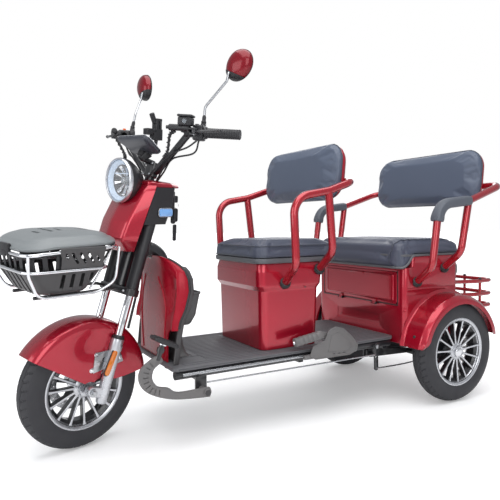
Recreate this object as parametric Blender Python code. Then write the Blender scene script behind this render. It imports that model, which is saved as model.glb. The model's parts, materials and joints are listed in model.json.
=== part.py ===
"""Electric tricycle with two seats, built as an assembly of separate pieces.

Metres, +Z up.  The vehicle points along -Y and its left side is +X.  Every piece is drawn in
one layout whose y = 0 is the front wheel axle with the steering straight and whose z = 0 is the
ground.  The pieces that steer hang on an empty on the steering axis, which is turned to the
photographed steering angle.  At the end the whole assembly is moved so that its bounding box
stands centred on the origin.
"""

from math import atan2, cos, pi, radians, sin, tan

import bmesh
import bpy
from mathutils import Matrix, Vector

# Clearances
GAP = 0.0003
RUNNING_GAP = 0.0004

# Wheels and axles
WHEELBASE = 1.440
TYRE_RADIUS = 0.2075
TYRE_WIDTH = 0.080
RIM_LIP_RADIUS = 0.1385
RIM_HALF_WIDTH = 0.036
RIM_WALL = 0.0045
BEAD_RADIUS = 0.1275
HUB_RADIUS = 0.030
SPOKE_COUNT = 15
SPOKE_WIDTH = 0.008
WHEEL_SIDES = 20
ROUND_SIDES = 10
SMALL_SIDES = 8
PIN_SIDES = 6
AXLE_RADIUS = 0.0085
DISC_RADIUS = 0.092
DISC_THICKNESS = 0.003

# Steering and fork
RAKE = radians(17.0)
REST_STEER = radians(17.5)
AXLE_LEAD = 0.047
LEG_HALF_SPACING = 0.070
LOWER_LEG_RADIUS = 0.019
STANCHION_RADIUS = 0.0135
COVER_RADIUS = 0.021
STEERER_RADIUS = 0.015
HEAD_TUBE_RADIUS = 0.025
BAR_RADIUS = 0.0115
GRIP_RADIUS = 0.016

# Floor and frame
DECK_TOP = 0.275
DECK_HALF_WIDTH = 0.2225
DECK_FRONT = 0.252
RAIL_RADIUS = 0.014
DOWN_TUBE_RADIUS = 0.027

# Seats and boxes
BOX_WALL = 0.004
FRONT_BOX_TOP = 0.593
SEAT_BASE_THICKNESS = 0.020
CUSHION_THICKNESS = 0.062
REAR_BODY_HALF_WIDTH = 0.280
BODY_TO_WHEEL_MIDDLE = 0.052
REAR_TRACK_HALF = REAR_BODY_HALF_WIDTH + BODY_TO_WHEEL_MIDDLE
REAR_BODY_FRONT = 1.220
REAR_BODY_REAR = 1.535
REAR_BODY_BOTTOM = 0.245
REAR_BODY_TOP = 0.556
REAR_STEP = 0.044
ARM_TUBE_RADIUS = 0.0145
FRONT_POST_X = 0.291
BODY_TO_REAR_POST = 0.100
REAR_POST_X = REAR_BODY_HALF_WIDTH + BODY_TO_REAR_POST

# Looks: base colour, roughness, metallic
LOOKS = {
    "red_paint": ((0.42, 0.012, 0.03), 0.25, 0.35),
    "black_paint": ((0.015, 0.015, 0.017), 0.4, 0.2),
    "chrome": ((0.85, 0.85, 0.87), 0.1, 1.0),
    "cast_aluminium": ((0.62, 0.62, 0.64), 0.35, 1.0),
    "tyre_rubber": ((0.025, 0.025, 0.028), 0.8, 0.0),
    "grip_rubber": ((0.02, 0.02, 0.022), 0.7, 0.0),
    "black_plastic": ((0.02, 0.02, 0.022), 0.5, 0.0),
    "grey_plastic": ((0.12, 0.12, 0.13), 0.55, 0.0),
    "lid_plastic": ((0.22, 0.24, 0.25), 0.5, 0.0),
    "seat_leather": ((0.05, 0.055, 0.075), 0.5, 0.0),
    "clear_glass": ((0.8, 0.85, 0.9), 0.05, 0.0),
    "red_lens": ((0.35, 0.01, 0.01), 0.15, 0.0),
    "battery_case": ((0.05, 0.09, 0.16), 0.5, 0.0),
    "orange_plastic": ((0.9, 0.25, 0.02), 0.4, 0.0),
}

STEER_AXIS = Vector((0.0, sin(RAKE), cos(RAKE)))
STEER_FORWARD = Vector((0.0, -cos(RAKE), sin(RAKE)))
FRONT_HUB = Vector((0.0, 0.0, TYRE_RADIUS))
STEER_FOOT = FRONT_HUB - STEER_FORWARD * AXLE_LEAD
REAR_AXLE_Y = WHEELBASE
X = Vector((1.0, 0.0, 0.0))
Y = Vector((0.0, 1.0, 0.0))
Z = Vector((0.0, 0.0, 1.0))


# Building helpers

def finished_mesh(bm):
    """Closes the bmesh into a mesh datablock with outward faces."""
    bmesh.ops.remove_doubles(bm, verts=bm.verts, dist=1e-6)
    bmesh.ops.recalc_face_normals(bm, faces=bm.faces)
    if bm.calc_volume(signed=True) < 0:
        bmesh.ops.reverse_faces(bm, faces=bm.faces)
    mesh = bpy.data.meshes.new("shape")
    bm.to_mesh(mesh)
    bm.free()
    return mesh


def box(x, y, z, bevel=0.0, steps=1):
    """A block between pairs of coordinates, with its edges rounded by a bevel."""
    bm = bmesh.new()
    bmesh.ops.create_cube(bm, size=1.0)
    size = (x[1] - x[0], y[1] - y[0], z[1] - z[0])
    bmesh.ops.scale(bm, vec=size, verts=bm.verts)
    middle = ((x[0] + x[1]) / 2, (y[0] + y[1]) / 2, (z[0] + z[1]) / 2)
    bmesh.ops.translate(bm, vec=middle, verts=bm.verts)
    if bevel:
        bmesh.ops.bevel(bm, geom=bm.edges, offset=bevel, segments=steps, affect="EDGES")
    return finished_mesh(bm)


def turned(profile, at, axis, sides, ring=False, start=0.0):
    """Spins a profile of (radius, height) points about an axis through a point."""
    bm = bmesh.new()
    axis = Vector(axis).normalized()
    side = axis.cross(Z if abs(axis.z) < 0.8 else X).normalized()
    side = Matrix.Rotation(start, 3, axis) @ side
    line = [bm.verts.new(Vector(at) + side * r + axis * h) for r, h in profile]
    follow = line[1:] + line[:1] if ring else line[1:]
    edges = [bm.edges.new(pair) for pair in zip(line, follow)]
    bmesh.ops.spin(bm, geom=line + edges, cent=at, axis=axis, angle=2 * pi, steps=sides)
    bmesh.ops.remove_doubles(bm, verts=bm.verts, dist=1e-5)
    rims = [edge for edge in bm.edges if edge.is_boundary]
    if rims:
        bmesh.ops.holes_fill(bm, edges=rims, sides=0)
    return finished_mesh(bm)


def rod(first, last, radius, sides=ROUND_SIDES, phase=0.0):
    """A straight round bar between two points."""
    first, last = Vector(first), Vector(last)
    length = (last - first).length
    profile = [(0, 0), (radius, 0), (radius, length), (0, length)]
    return turned(profile, first, last - first, sides, start=phase)


def bore(first, last, radius, clearance, sides):
    """Cutter for a round hole whose flats face the corners of the bar that it holds."""
    return rod(first, last, fitted(radius, clearance, sides), sides, pi / sides)


def rounded_path(points, radii, steps=2):
    """Replaces the inner corners of a path by arcs of the given radii; 0 keeps a corner."""
    points = [Vector(p) for p in points]
    path = [points[0]]
    for before, corner, after, radius in zip(points, points[1:], points[2:], radii):
        if not radius:
            path.append(corner)
            continue
        back, ahead = (before - corner).normalized(), (after - corner).normalized()
        half = back.angle(ahead) / 2
        reach = radius / tan(half)
        centre = corner + (back + ahead).normalized() * radius / sin(half)
        first, last = corner + back * reach, corner + ahead * reach
        for step in range(steps + 1):
            arm = (first - centre).normalized().slerp((last - centre).normalized(), step / steps)
            path.append(centre + arm * radius)
    path.append(points[-1])
    return path


def tube(path, radius, detail=2, closed=False):
    """A tube along a path, made as a bevelled curve with filled caps."""
    curve = bpy.data.curves.new("path", "CURVE")
    curve.dimensions = "3D"
    curve.bevel_depth = radius
    curve.bevel_resolution = detail
    curve.use_fill_caps = not closed
    spline = curve.splines.new("POLY")
    spline.points.add(len(path) - 1)
    spline.use_cyclic_u = closed
    for point, place in zip(spline.points, path):
        point.co = (*place, 1.0)
    guide = bpy.data.objects.new("path", curve)
    bpy.context.scene.collection.objects.link(guide)
    bpy.context.view_layer.update()
    evaluated = guide.evaluated_get(bpy.context.evaluated_depsgraph_get())
    bm = bmesh.new()
    bm.from_mesh(evaluated.to_mesh())
    evaluated.to_mesh_clear()
    bpy.data.objects.remove(guide)
    bpy.data.curves.remove(curve)
    return finished_mesh(bm)


def loft(loops, closed=False):
    """Skins equal loops in turn and closes both ends."""
    bm = bmesh.new()
    rows = [[bm.verts.new(p) for p in loop] for loop in loops]
    following = rows[1:] + rows[:1] if closed else rows[1:]
    for low, high in zip(rows, following):
        count = len(low)
        for i in range(count):
            j = (i + 1) % count
            bm.faces.new((low[i], low[j], high[j], high[i]))
    if not closed:
        bm.faces.new(rows[0])
        bm.faces.new(rows[-1])
    return finished_mesh(bm)


def plate(outline, plane, low, high):
    """Extrudes a flat outline; the plane's letters name the outline's two axes."""
    places = {"yz": lambda a, b, d: (d, a, b), "xz": lambda a, b, d: (a, d, b),
              "xy": lambda a, b, d: (a, b, d)}
    place = places[plane]
    return loft([[place(a, b, low) for a, b in outline], [place(a, b, high) for a, b in outline]])


def rounded_rectangle(half_a, half_b, radius, steps=3, centre=(0.0, 0.0)):
    """Corner points of a rounded rectangle, counted anticlockwise."""
    corners = ((1, 1, 0), (-1, 1, 1), (-1, -1, 2), (1, -1, 3))
    points = []
    for sa, sb, quarter in corners:
        for step in range(steps + 1):
            angle = (quarter + step / steps) * pi / 2
            a = centre[0] + sa * (half_a - radius) + radius * cos(angle)
            b = centre[1] + sb * (half_b - radius) + radius * sin(angle)
            points.append((a, b))
    return points


def mirrored(mesh):
    """A left-to-right reflected copy."""
    bm = bmesh.new()
    bm.from_mesh(mesh)
    bmesh.ops.scale(bm, vec=(-1.0, 1.0, 1.0), verts=bm.verts)
    bmesh.ops.reverse_faces(bm, faces=bm.faces)
    return finished_mesh(bm)


def grouped(*meshes):
    """Several separate solids in one mesh."""
    bm = bmesh.new()
    for mesh in meshes:
        bm.from_mesh(mesh)
    return finished_mesh(bm)


def combined(mesh, others, operation):
    """Runs Boolean modifiers on a mesh and returns the result."""
    base = bpy.data.objects.new("base", mesh)
    bpy.context.scene.collection.objects.link(base)
    tools = []
    for other in others:
        tool = bpy.data.objects.new("tool", other)
        bpy.context.scene.collection.objects.link(tool)
        tools.append(tool)
        modifier = base.modifiers.new("shape", "BOOLEAN")
        modifier.operation = operation
        modifier.object = tool
    bpy.context.view_layer.update()
    evaluated = base.evaluated_get(bpy.context.evaluated_depsgraph_get())
    bm = bmesh.new()
    bm.from_mesh(evaluated.to_mesh())
    evaluated.to_mesh_clear()
    for item in [base] + tools:
        bpy.data.objects.remove(item)
    bmesh.ops.remove_doubles(bm, verts=bm.verts, dist=2e-6)
    bmesh.ops.dissolve_degenerate(bm, edges=bm.edges, dist=1e-6)
    return finished_mesh(bm)


def union(mesh, *others):
    return combined(mesh, others, "UNION")


def cut(mesh, *others):
    return combined(mesh, others, "DIFFERENCE")


def common(mesh, *others):
    return combined(mesh, others, "INTERSECT")


def look(name):
    """The material of that name, made on first use."""
    material = bpy.data.materials.get(name)
    if material:
        return material
    material = bpy.data.materials.new(name)
    material.use_nodes = True
    shader = material.node_tree.nodes["Principled BSDF"]
    base, roughness, metallic = LOOKS[name]
    shader.inputs["Base Color"].default_value = (*base, 1.0)
    shader.inputs["Roughness"].default_value = roughness
    shader.inputs["Metallic"].default_value = metallic
    return material


def empty(name, at, carrier=None, turn=None):
    """An empty at a layout point, which carries pieces or other empties."""
    holder = bpy.data.objects.new(name, None)
    bpy.context.scene.collection.objects.link(holder)
    holder["layout_point"] = tuple(at)
    holder.parent = carrier
    foot = Vector(carrier["layout_point"]) if carrier else Vector()
    place = Matrix.Translation(Vector(at) - foot)
    holder.matrix_local = place @ turn if turn else place
    return holder


def add(name, mesh, finish, carrier, pivot=None, smooth=40.0):
    """Places a mesh drawn in layout coordinates, with its origin at its pivot."""
    foot = Vector(carrier["layout_point"])
    pivot = Vector(pivot) if pivot is not None else foot
    mesh.transform(Matrix.Translation(-pivot))
    mesh.name = name
    mesh.shade_smooth()
    mesh.set_sharp_from_angle(angle=radians(smooth))
    mesh.materials.append(look(finish))
    piece = bpy.data.objects.new(name, mesh)
    bpy.context.scene.collection.objects.link(piece)
    piece.parent = carrier
    piece.location = pivot - foot
    return piece


def on_steer_axis(along, across=0.0, ahead=0.0):
    """A point given by its height along the steering axis and its offsets from it."""
    return STEER_FOOT + STEER_AXIS * along + X * across + STEER_FORWARD * ahead


def fitted(radius, clearance, sides):
    """Radius of a faceted hole whose flats clear a round of the given radius."""
    return (radius + clearance) / cos(pi / sides)


def capsule(first, last, radius, steps=4):
    """Outline of a bar with round ends between two points of a plane."""
    run = atan2(last[1] - first[1], last[0] - first[0])
    points = []
    for centre, start in ((last, run - pi / 2), (first, run + pi / 2)):
        for step in range(steps + 1):
            angle = start + pi * step / steps
            points.append((centre[0] + radius * cos(angle), centre[1] + radius * sin(angle)))
    return points


def ring_of(centre, radius, sides):
    """A circle of points in the plane that faces along Y."""
    angles = [2 * pi * k / sides for k in range(sides)]
    return [(centre[0] + radius * cos(a), centre[1], centre[2] + radius * sin(a)) for a in angles]


# Hinges: a pin between two cheeks on the fixed piece, a knuckle with a web on the moving one
PIN_RADIUS = 0.0028
KNUCKLE_RADIUS = 0.0065
KNUCKLE_HALF = 0.012
CHEEK = 0.004


def hinge_cheeks(x, pivot, web_y, web_z):
    """Pin and its two cheeks; the webs are boxes spanning the given y and z."""
    out = KNUCKLE_HALF + RUNNING_GAP + CHEEK
    pin = rod((x - out + CHEEK / 2, *pivot), (x + out - CHEEK / 2, *pivot), PIN_RADIUS, PIN_SIDES)
    near = box((x - out, x - out + CHEEK), web_y, web_z)
    far = box((x + out - CHEEK, x + out), web_y, web_z)
    return [pin, near, far]


def hinge_knuckle(x, pivot, root):
    """An eye round the pin, on a leaf that runs to a root point on the moving piece."""
    leaf = plate(capsule(root, pivot, KNUCKLE_RADIUS, 3), "yz", x - KNUCKLE_HALF, x + KNUCKLE_HALF)
    reach = 2 * KNUCKLE_HALF
    return cut(leaf, bore((x - reach, *pivot), (x + reach, *pivot), PIN_RADIUS, RUNNING_GAP,
                          PIN_SIDES))


# Wheels

RIM_FLANGE = 0.0035
SPOKE_INNER_X = (0.002, 0.024)
SPOKE_OUTER_X = (0.008, 0.031)
HUB_HALF_LENGTH = 0.030
FRONT_HUB_HALF_LENGTH = 0.042


def tyre_mesh(hub):
    """A ring with bead, sidewalls and a tread whose flats stand at the tyre's radius."""
    half = TYRE_WIDTH / 2
    bead = RIM_HALF_WIDTH - RIM_FLANGE - GAP
    height = TYRE_RADIUS - BEAD_RADIUS
    tread = TYRE_RADIUS / cos(pi / WHEEL_SIDES)
    side = [(BEAD_RADIUS + GAP, bead), (BEAD_RADIUS + 0.56 * height, half), (tread - 0.010, 0.78 * half),
            (tread, 0.30 * half)]
    profile = [(r, -x) for r, x in side] + list(reversed(side))
    return turned(profile, hub, X, WHEEL_SIDES, ring=True, start=pi / WHEEL_SIDES)


def spoke_set(hub):
    """The thin cast spokes, each tapering from the hub to the rim."""
    bm = bmesh.new()
    inner, outer = HUB_RADIUS - 0.010, BEAD_RADIUS - RIM_WALL / 2
    for k in range(SPOKE_COUNT):
        turn = Matrix.Rotation(2 * pi * k / SPOKE_COUNT, 4, X)
        rows = []
        for radius, width, span in ((inner, SPOKE_WIDTH, SPOKE_INNER_X),
                                    (outer, 0.75 * SPOKE_WIDTH, SPOKE_OUTER_X)):
            corners = [(span[0], -width / 2), (span[1], -width / 2),
                       (span[1], width / 2), (span[0], width / 2)]
            rows.append([bm.verts.new(Vector(hub) + turn @ Vector((x, w, radius)))
                         for x, w in corners])
        for i in range(4):
            j = (i + 1) % 4
            bm.faces.new((rows[0][i], rows[0][j], rows[1][j], rows[1][i]))
        bm.faces.new(rows[0])
        bm.faces.new(rows[1])
    return finished_mesh(bm)


def rim_mesh(hub, front):
    """Barrel with its two lips, hub and spokes; the rear hub is closed by its cap."""
    seat, flange, lip = BEAD_RADIUS, RIM_HALF_WIDTH - RIM_FLANGE, RIM_LIP_RADIUS
    under = BEAD_RADIUS - RIM_WALL
    barrel = turned([(seat, -flange), (lip, -RIM_HALF_WIDTH), (under, -RIM_HALF_WIDTH),
                     (under, RIM_HALF_WIDTH), (lip, RIM_HALF_WIDTH), (seat, flange)],
                    hub, X, WHEEL_SIDES, ring=True, start=pi / WHEEL_SIDES)
    hole = fitted(AXLE_RADIUS, RUNNING_GAP, SMALL_SIDES)
    if front:
        end = FRONT_HUB_HALF_LENGTH
        core = turned([(hole, -end), (HUB_RADIUS, -end), (HUB_RADIUS, end), (hole, end)],
                      hub, X, SMALL_SIDES, ring=True)
    else:
        end = HUB_HALF_LENGTH
        core = turned([(0, 0.026), (hole, 0.026), (hole, -end), (HUB_RADIUS, -end),
                       (HUB_RADIUS, end), (0.024, 0.036), (0, 0.036)], hub, X, SMALL_SIDES)
    return union(barrel, core, spoke_set(hub))


def brake_disc_mesh():
    """Perforated disc bolted to the right end of the front hub."""
    face = -FRONT_HUB_HALF_LENGTH - GAP
    inner = fitted(AXLE_RADIUS, 0.004, 16)
    disc = turned([(inner, 0), (DISC_RADIUS, 0), (DISC_RADIUS, DISC_THICKNESS),
                   (inner, DISC_THICKNESS)], FRONT_HUB + X * face, -X, 18, ring=True)
    holes = []
    for count, distance, radius, sides in ((5, 0.079, 0.0080, 4), (5, 0.048, 0.014, 4)):
        for k in range(count):
            angle = 2 * pi * k / count
            middle = FRONT_HUB + Vector((face, distance * cos(angle), distance * sin(angle)))
            holes.append(rod(middle + X * 0.01, middle - X * 0.015, radius, sides))
    return cut(disc, grouped(*holes))


# Fork and fender

LEG_FOOT = -0.038
LEG_TOP = 0.182
LEG_BORE_FOOT = 0.020
STANCHION_FOOT = 0.085
CROWN_LOW = (0.328, 0.352)
CROWN_HIGH = (0.600, 0.622)
COVER_TOP = 0.601
CLAMP_DEPTH = 0.030
FENDER_HALF_WIDTH = 0.058
FENDER_CROWN_RADIUS = 0.235
FENDER_WALL = 0.003


def fork_leg(side):
    """Lower leg with its dust collar."""
    foot = LEG_FOOT
    collar = 0.040
    profile = [(0, 0), (0.8 * LOWER_LEG_RADIUS, 0), (LOWER_LEG_RADIUS, 0.006),
               (LOWER_LEG_RADIUS, LEG_TOP - collar - foot),
               (LOWER_LEG_RADIUS + 0.0025, LEG_TOP - collar + 0.003 - foot),
               (LOWER_LEG_RADIUS + 0.0025, LEG_TOP - foot), (0, LEG_TOP - foot)]
    return turned(profile, on_steer_axis(foot, side * LEG_HALF_SPACING), STEER_AXIS, ROUND_SIDES)


def fork_legs_mesh():
    """Both bored lower legs, the axle clamps that lead forward, the axle and the caliper."""
    hub_yz = (FRONT_HUB.y, FRONT_HUB.z)
    foot_yz = (STEER_FOOT.y, STEER_FOOT.z)
    parts = []
    for side in (1, -1):
        inner, outer = LEG_HALF_SPACING - 0.012, LEG_HALF_SPACING + 0.010
        clamp = plate(capsule(hub_yz, foot_yz, 0.016, 3), "yz", inner, outer)
        skirt_gap = FENDER_HALF_WIDTH + GAP
        lug_outline = [(0.010, 0.262), (0.125, 0.282), (0.110, 0.330), (0.020, 0.330)]
        lug = plate(lug_outline, "yz", skirt_gap, skirt_gap + 0.004)
        if side < 0:
            clamp, lug = mirrored(clamp), mirrored(lug)
        parts += [fork_leg(side), clamp, lug]
    reach = LEG_HALF_SPACING + 0.014
    parts.append(rod(FRONT_HUB - X * reach, FRONT_HUB + X * reach, AXLE_RADIUS, SMALL_SIDES,
                     pi / SMALL_SIDES))
    disc_face = -FRONT_HUB_HALF_LENGTH - GAP - DISC_THICKNESS - 0.001
    caliper_z = (0.178, 0.221)
    inner_face = -RIM_HALF_WIDTH - 0.0012
    caliper = [(-0.066, 0.052), (disc_face, 0.052), (disc_face, 0.0965), (-0.0412, 0.0965),
               (-0.0412, 0.070), (inner_face, 0.070), (inner_face, 0.115), (-0.066, 0.115)]
    parts.append(plate(caliper, "xy", *caliper_z))
    bores = [bore(on_steer_axis(LEG_BORE_FOOT, x), on_steer_axis(LEG_TOP + 0.02, x),
                  STANCHION_RADIUS, RUNNING_GAP, ROUND_SIDES)
             for x in (LEG_HALF_SPACING, -LEG_HALF_SPACING)]
    return cut(union(*parts), *bores)


def fender_section(angle, outline, centre):
    """Places a closed (x, radius) outline in the radial plane at an angle about an axle."""
    return [(centre.x + x, centre.y + r * cos(angle), centre.z + r * sin(angle))
            for x, r in outline]


def front_fender_mesh():
    """A crowned, skirted sheet spun about the axle and trimmed by its side outline."""
    half, crown, wall = FENDER_HALF_WIDTH, FENDER_CROWN_RADIUS, FENDER_WALL
    low = 0.028
    outer = [(half, low), (half, crown - 0.028), (half - 0.008, crown - 0.011),
             (half - 0.030, crown - 0.003)]
    inner = [(half - wall, low), (half - wall, crown - 0.0295), (half - 0.0102, crown - 0.0138),
             (half - 0.0308, crown - wall - 0.003)]
    outline = outer + [(0, crown)] + [(-x, r) for x, r in reversed(outer)]
    outline += [(-x, r) for x, r in inner] + [(0, crown - wall)]
    outline += [(x, r) for x, r in reversed(inner)]
    steps = 8
    angles = [radians(8 + (147 - 8) * k / steps) for k in range(steps + 1)]
    sheet = loft([fender_section(a, outline, FRONT_HUB) for a in angles])
    side_view = [(-0.240, 0.372), (-0.190, 0.3425), (-0.132, 0.306), (0.004, 0.220),
                 (0.030, 0.241), (0.098, 0.2245), (0.221, 0.232), (0.270, 0.234),
                 (0.270, 0.520), (-0.240, 0.520)]
    trimmed = common(sheet, plate(side_view, "yz", -half - 0.01, half + 0.01))
    slots = []
    for side in (1, -1):
        x = side * LEG_HALF_SPACING
        leg_room = fitted(LOWER_LEG_RADIUS, 0.0035, SMALL_SIDES)
        tube_room = fitted(STANCHION_RADIUS, 0.003, SMALL_SIDES)
        for start, end, radius in ((-0.06, LEG_TOP + 0.008, leg_room), (0.10, 0.32, tube_room)):
            slots.append(rod(on_steer_axis(start, x), on_steer_axis(end, x), radius, SMALL_SIDES))
    return cut(trimmed, *slots)


def crown_plate(span, half_width, depth):
    """A fork clamp: a rounded plate square to the steering axis."""
    outline = rounded_rectangle(half_width, depth, 0.014, 1)
    return loft([[on_steer_axis(s, x, a) for x, a in outline] for s in span])


BAR_FOOT = Vector((0.034, 0.270, 0.927))
BAR_CORNER = Vector((0.192, 0.279, 1.058))
BAR_END = Vector((0.333, 0.3665, 1.054))


def bar_path():
    """The handlebar's middle line from the right end to the left end."""
    left = [BAR_FOOT, BAR_CORNER, BAR_END]
    right = [Vector((-p.x, p.y, p.z)) for p in reversed(left)]
    return rounded_path(right + left, (0.030, 0.025, 0.025, 0.030), 2)


def fork_crown_mesh():
    """Stanchions, clamps, covers, steerer, stem and handlebar clamp, welded and bolted as one."""
    parts = [crown_plate(CROWN_LOW, LEG_HALF_SPACING + 0.024, CLAMP_DEPTH)]
    for side in (1, -1):
        x = side * LEG_HALF_SPACING
        parts.append(rod(on_steer_axis(STANCHION_FOOT, x), on_steer_axis(0.34, x),
                         STANCHION_RADIUS))
        parts.append(rod(on_steer_axis(0.34, x), on_steer_axis(COVER_TOP, x), COVER_RADIUS))
    parts.append(rod(on_steer_axis(0.34), on_steer_axis(0.61), STEERER_RADIUS))
    parts.append(crown_plate(CROWN_HIGH, LEG_HALF_SPACING + 0.022, 0.024))
    parts.append(rod(on_steer_axis(0.61), on_steer_axis(0.75), STEERER_RADIUS + 0.002))
    parts.append(crown_plate((0.745, 0.797), 0.026, 0.018))
    return cut(union(*parts), tube(bar_path(), BAR_RADIUS + GAP, 2))


# Cockpit, drawn beside the left bar end and mirrored: x along the grip, y back, z up

GRIP_START = 0.054
GRIP_LENGTH = 0.115
LEVER_PIVOT = Vector((0.026, -0.038, 0.0))
LEVER_TIP = Vector((0.1166, -0.0605, 0.004))
MIRROR_FOOT = Vector((0.035, 0.032, 0.025))
BUTTON_PLACE = Vector((0.038, 0.002, 0.024))
BUTTON_RADIUS = 0.0058
BUTTON_DEPTH = 0.0035
BUTTON_TRAVEL = 0.0025


def bar_frame():
    """Matrix from the left grip's own axes to the layout."""
    along = (BAR_END - BAR_CORNER).normalized()
    back = Z.cross(along).normalized()
    up = along.cross(back)
    turn = Matrix((along, back, up)).transposed().to_4x4()
    return Matrix.Translation(BAR_CORNER) @ turn


def at_bar(mesh, side):
    """Moves a mesh drawn at the left grip to its place on either side."""
    mesh.transform(bar_frame())
    return mesh if side > 0 else mirrored(mesh)


def bar_place(local, side):
    """A layout point given in the left grip's own axes."""
    place = bar_frame() @ Vector(local)
    return place if side > 0 else Vector((-place.x, place.y, place.z))


def grip_mesh(side):
    """A ribbed rubber sleeve with a closed, flanged end."""
    hole = fitted(BAR_RADIUS, RUNNING_GAP, ROUND_SIDES)
    end = GRIP_LENGTH
    inside = (BAR_END - BAR_CORNER).length - GRIP_START + GAP
    profile = [(hole, 0), (GRIP_RADIUS + 0.003, 0), (GRIP_RADIUS + 0.003, 0.005),
               (GRIP_RADIUS - 0.001, 0.007)]
    profile += [(GRIP_RADIUS, 0.055)]
    profile += [(GRIP_RADIUS + 0.002, end - 0.004), (GRIP_RADIUS + 0.001, end), (0, end)]
    profile = [(0, inside), (hole, inside)] + profile
    return at_bar(turned(profile, (GRIP_START, 0, 0), X, ROUND_SIDES), side)


def controls_mesh(side):
    """Switch pod, lever bracket, master cylinder with reservoir, and mirror boss."""
    pod = box((0.014, 0.049), (-0.021, 0.023), (-0.026, 0.024), 0.006)
    arm = box((0.024, 0.046), (0.010, MIRROR_FOOT.y + 0.010), (0.006, MIRROR_FOOT.z - 0.0005))
    fork = [(0, -0.0105), (0.035, -0.0105), (0.035, -0.007), (0.017, -0.007), (0.017, 0.007),
            (0.035, 0.007), (0.035, 0.0105), (0, 0.0105)]
    bracket = plate(fork, "xz", -0.047, -0.016)
    cylinder = rod((-0.060, -0.036, 0.010), (0.010, -0.036, 0.010), 0.0105, PIN_SIDES)
    reservoir = box((-0.074, -0.022), (-0.056, -0.014), (0.017, 0.066))
    pin = rod(LEVER_PIVOT - Z * 0.009, LEVER_PIVOT + Z * 0.009, PIN_RADIUS, PIN_SIDES)
    collar = rod((0.048, 0, 0), (GRIP_START - GAP, 0, 0), 0.0165, SMALL_SIDES)
    body = union(pod, arm, bracket, cylinder, reservoir, pin, collar)
    hole = rod((0.0, 0, 0), (0.08, 0, 0), fitted(BAR_RADIUS, GAP, ROUND_SIDES))
    body = cut(body, hole)
    if side < 0:
        foot = BUTTON_PLACE
        well = BUTTON_DEPTH + BUTTON_TRAVEL + 3 * GAP
        body = cut(body, bore(foot - Z * well, foot + Z * 0.01, BUTTON_RADIUS, GAP, SMALL_SIDES))
    return at_bar(body, side)


def lever_mesh(side):
    """A curved brake lever with a ball end, bored for its pivot pin."""
    boss = rod(LEVER_PIVOT - Z * 0.0062, LEVER_PIVOT + Z * 0.0062, 0.0085, SMALL_SIDES)
    route = [LEVER_PIVOT, Vector((0.048, -0.050, 0.0)), Vector((0.080, -0.054, 0.002)), LEVER_TIP]
    blade = tube(route, 0.005, 1)
    ball = turned([(0, -0.009), (0.008, -0.003), (0.008, 0.003), (0, 0.009)], LEVER_TIP, X, PIN_SIDES)
    hole = bore(LEVER_PIVOT - Z * 0.02, LEVER_PIVOT + Z * 0.02, PIN_RADIUS, RUNNING_GAP, PIN_SIDES)
    return at_bar(cut(union(boss, blade, ball), hole), side)


MIRROR_STEM_RADIUS = 0.0045
MIRROR_CENTRE = Vector((0.285, 0.420, 1.275))
MIRROR_HALF = (0.055, 0.046)


def mirror_mesh(side):
    """Bent stem and oval shell whose hollow back holds the glass."""
    foot = bar_place(MIRROR_FOOT, 1)
    foot = foot + Z * GAP
    knee = Vector((0.200, 0.334, 1.146))
    neck = Vector((0.252, 0.412, 1.252))
    stem = tube(rounded_path([foot, knee, neck, MIRROR_CENTRE + Vector((0, -0.004, -0.01))],
                             (0.02, 0.03), 1), MIRROR_STEM_RADIUS, 1)
    boss = rod(foot, foot + Z * 0.014, 0.0075, PIN_SIDES)
    look_back = Vector((-0.18, 0.98, -0.05)).normalized()
    across = look_back.cross(Z).normalized()
    upward = across.cross(look_back)
    sides = 12
    outline = [(cos(2 * pi * k / sides), sin(2 * pi * k / sides)) for k in range(sides)]

    def oval(scale, depth):
        return [MIRROR_CENTRE + across * (MIRROR_HALF[0] * scale * a)
                + upward * (MIRROR_HALF[1] * scale * b) - look_back * depth for a, b in outline]

    rings = ((0.90, 0.004), (0.90, 0.0), (1.0, 0.0), (0.96, 0.012), (0.60, 0.025))
    shell = loft([oval(scale, depth) for scale, depth in rings])
    whole = union(shell, stem, boss)
    return whole if side > 0 else mirrored(whole)


# Front panel, light and display

LIGHT_CENTRE = Vector((0.0, 0.138, 0.891))
LIGHT_RADIUS = 0.075
LENS_RADIUS = 0.0675
LIGHT_SIDES = 12
PANEL_WALL = 0.003
PANEL_CAP = (0.874, 0.881)
PANEL_LEVELS = (
    # height, crease x, crease y, rear x, rear y, middle y
    (0.655, 0.052, 0.138, 0.062, 0.160, 0.128),
    (0.699, 0.074, 0.101, 0.090, 0.155, 0.088),
    (0.757, 0.078, 0.122, 0.095, 0.175, 0.108),
    (0.810, 0.079, 0.152, 0.098, 0.194, 0.138),
    (0.863, 0.080, 0.183, 0.100, 0.214, 0.172),
    (0.879, 0.078, 0.200, 0.098, 0.220, 0.192),
)


def light_bowl_mesh(grow=0.0):
    """The headlight bowl, narrowing and dropping towards its back."""
    sides = LIGHT_SIDES
    y, z = LIGHT_CENTRE.y, LIGHT_CENTRE.z
    rings = ((0.000, LIGHT_RADIUS, 0.0), (0.014, LIGHT_RADIUS, 0.0), (0.027, 0.071, 0.002),
             (0.047, 0.058, 0.009), (0.067, 0.040, 0.017), (0.084, 0.020, 0.024))
    loops = [ring_of((0, y + back, z - drop), radius + grow, sides) for back, radius, drop in rings]
    if grow:
        return loft(loops)
    seat = LENS_RADIUS + GAP
    recess = [ring_of((0, y + 0.0098, z), seat, sides), ring_of((0, y, z), seat, sides)]
    return loft(recess + loops)


def light_lens_mesh():
    """Domed clear lens with its rim inside the bowl's mouth."""
    back = LIGHT_CENTRE + Y * 0.0095
    profile = [(0, 0), (LENS_RADIUS, 0), (LENS_RADIUS, 0.008), (0.050, 0.0135), (0.025, 0.016),
               (0, 0.0168)]
    return turned(profile, back, -Y, LIGHT_SIDES)


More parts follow.
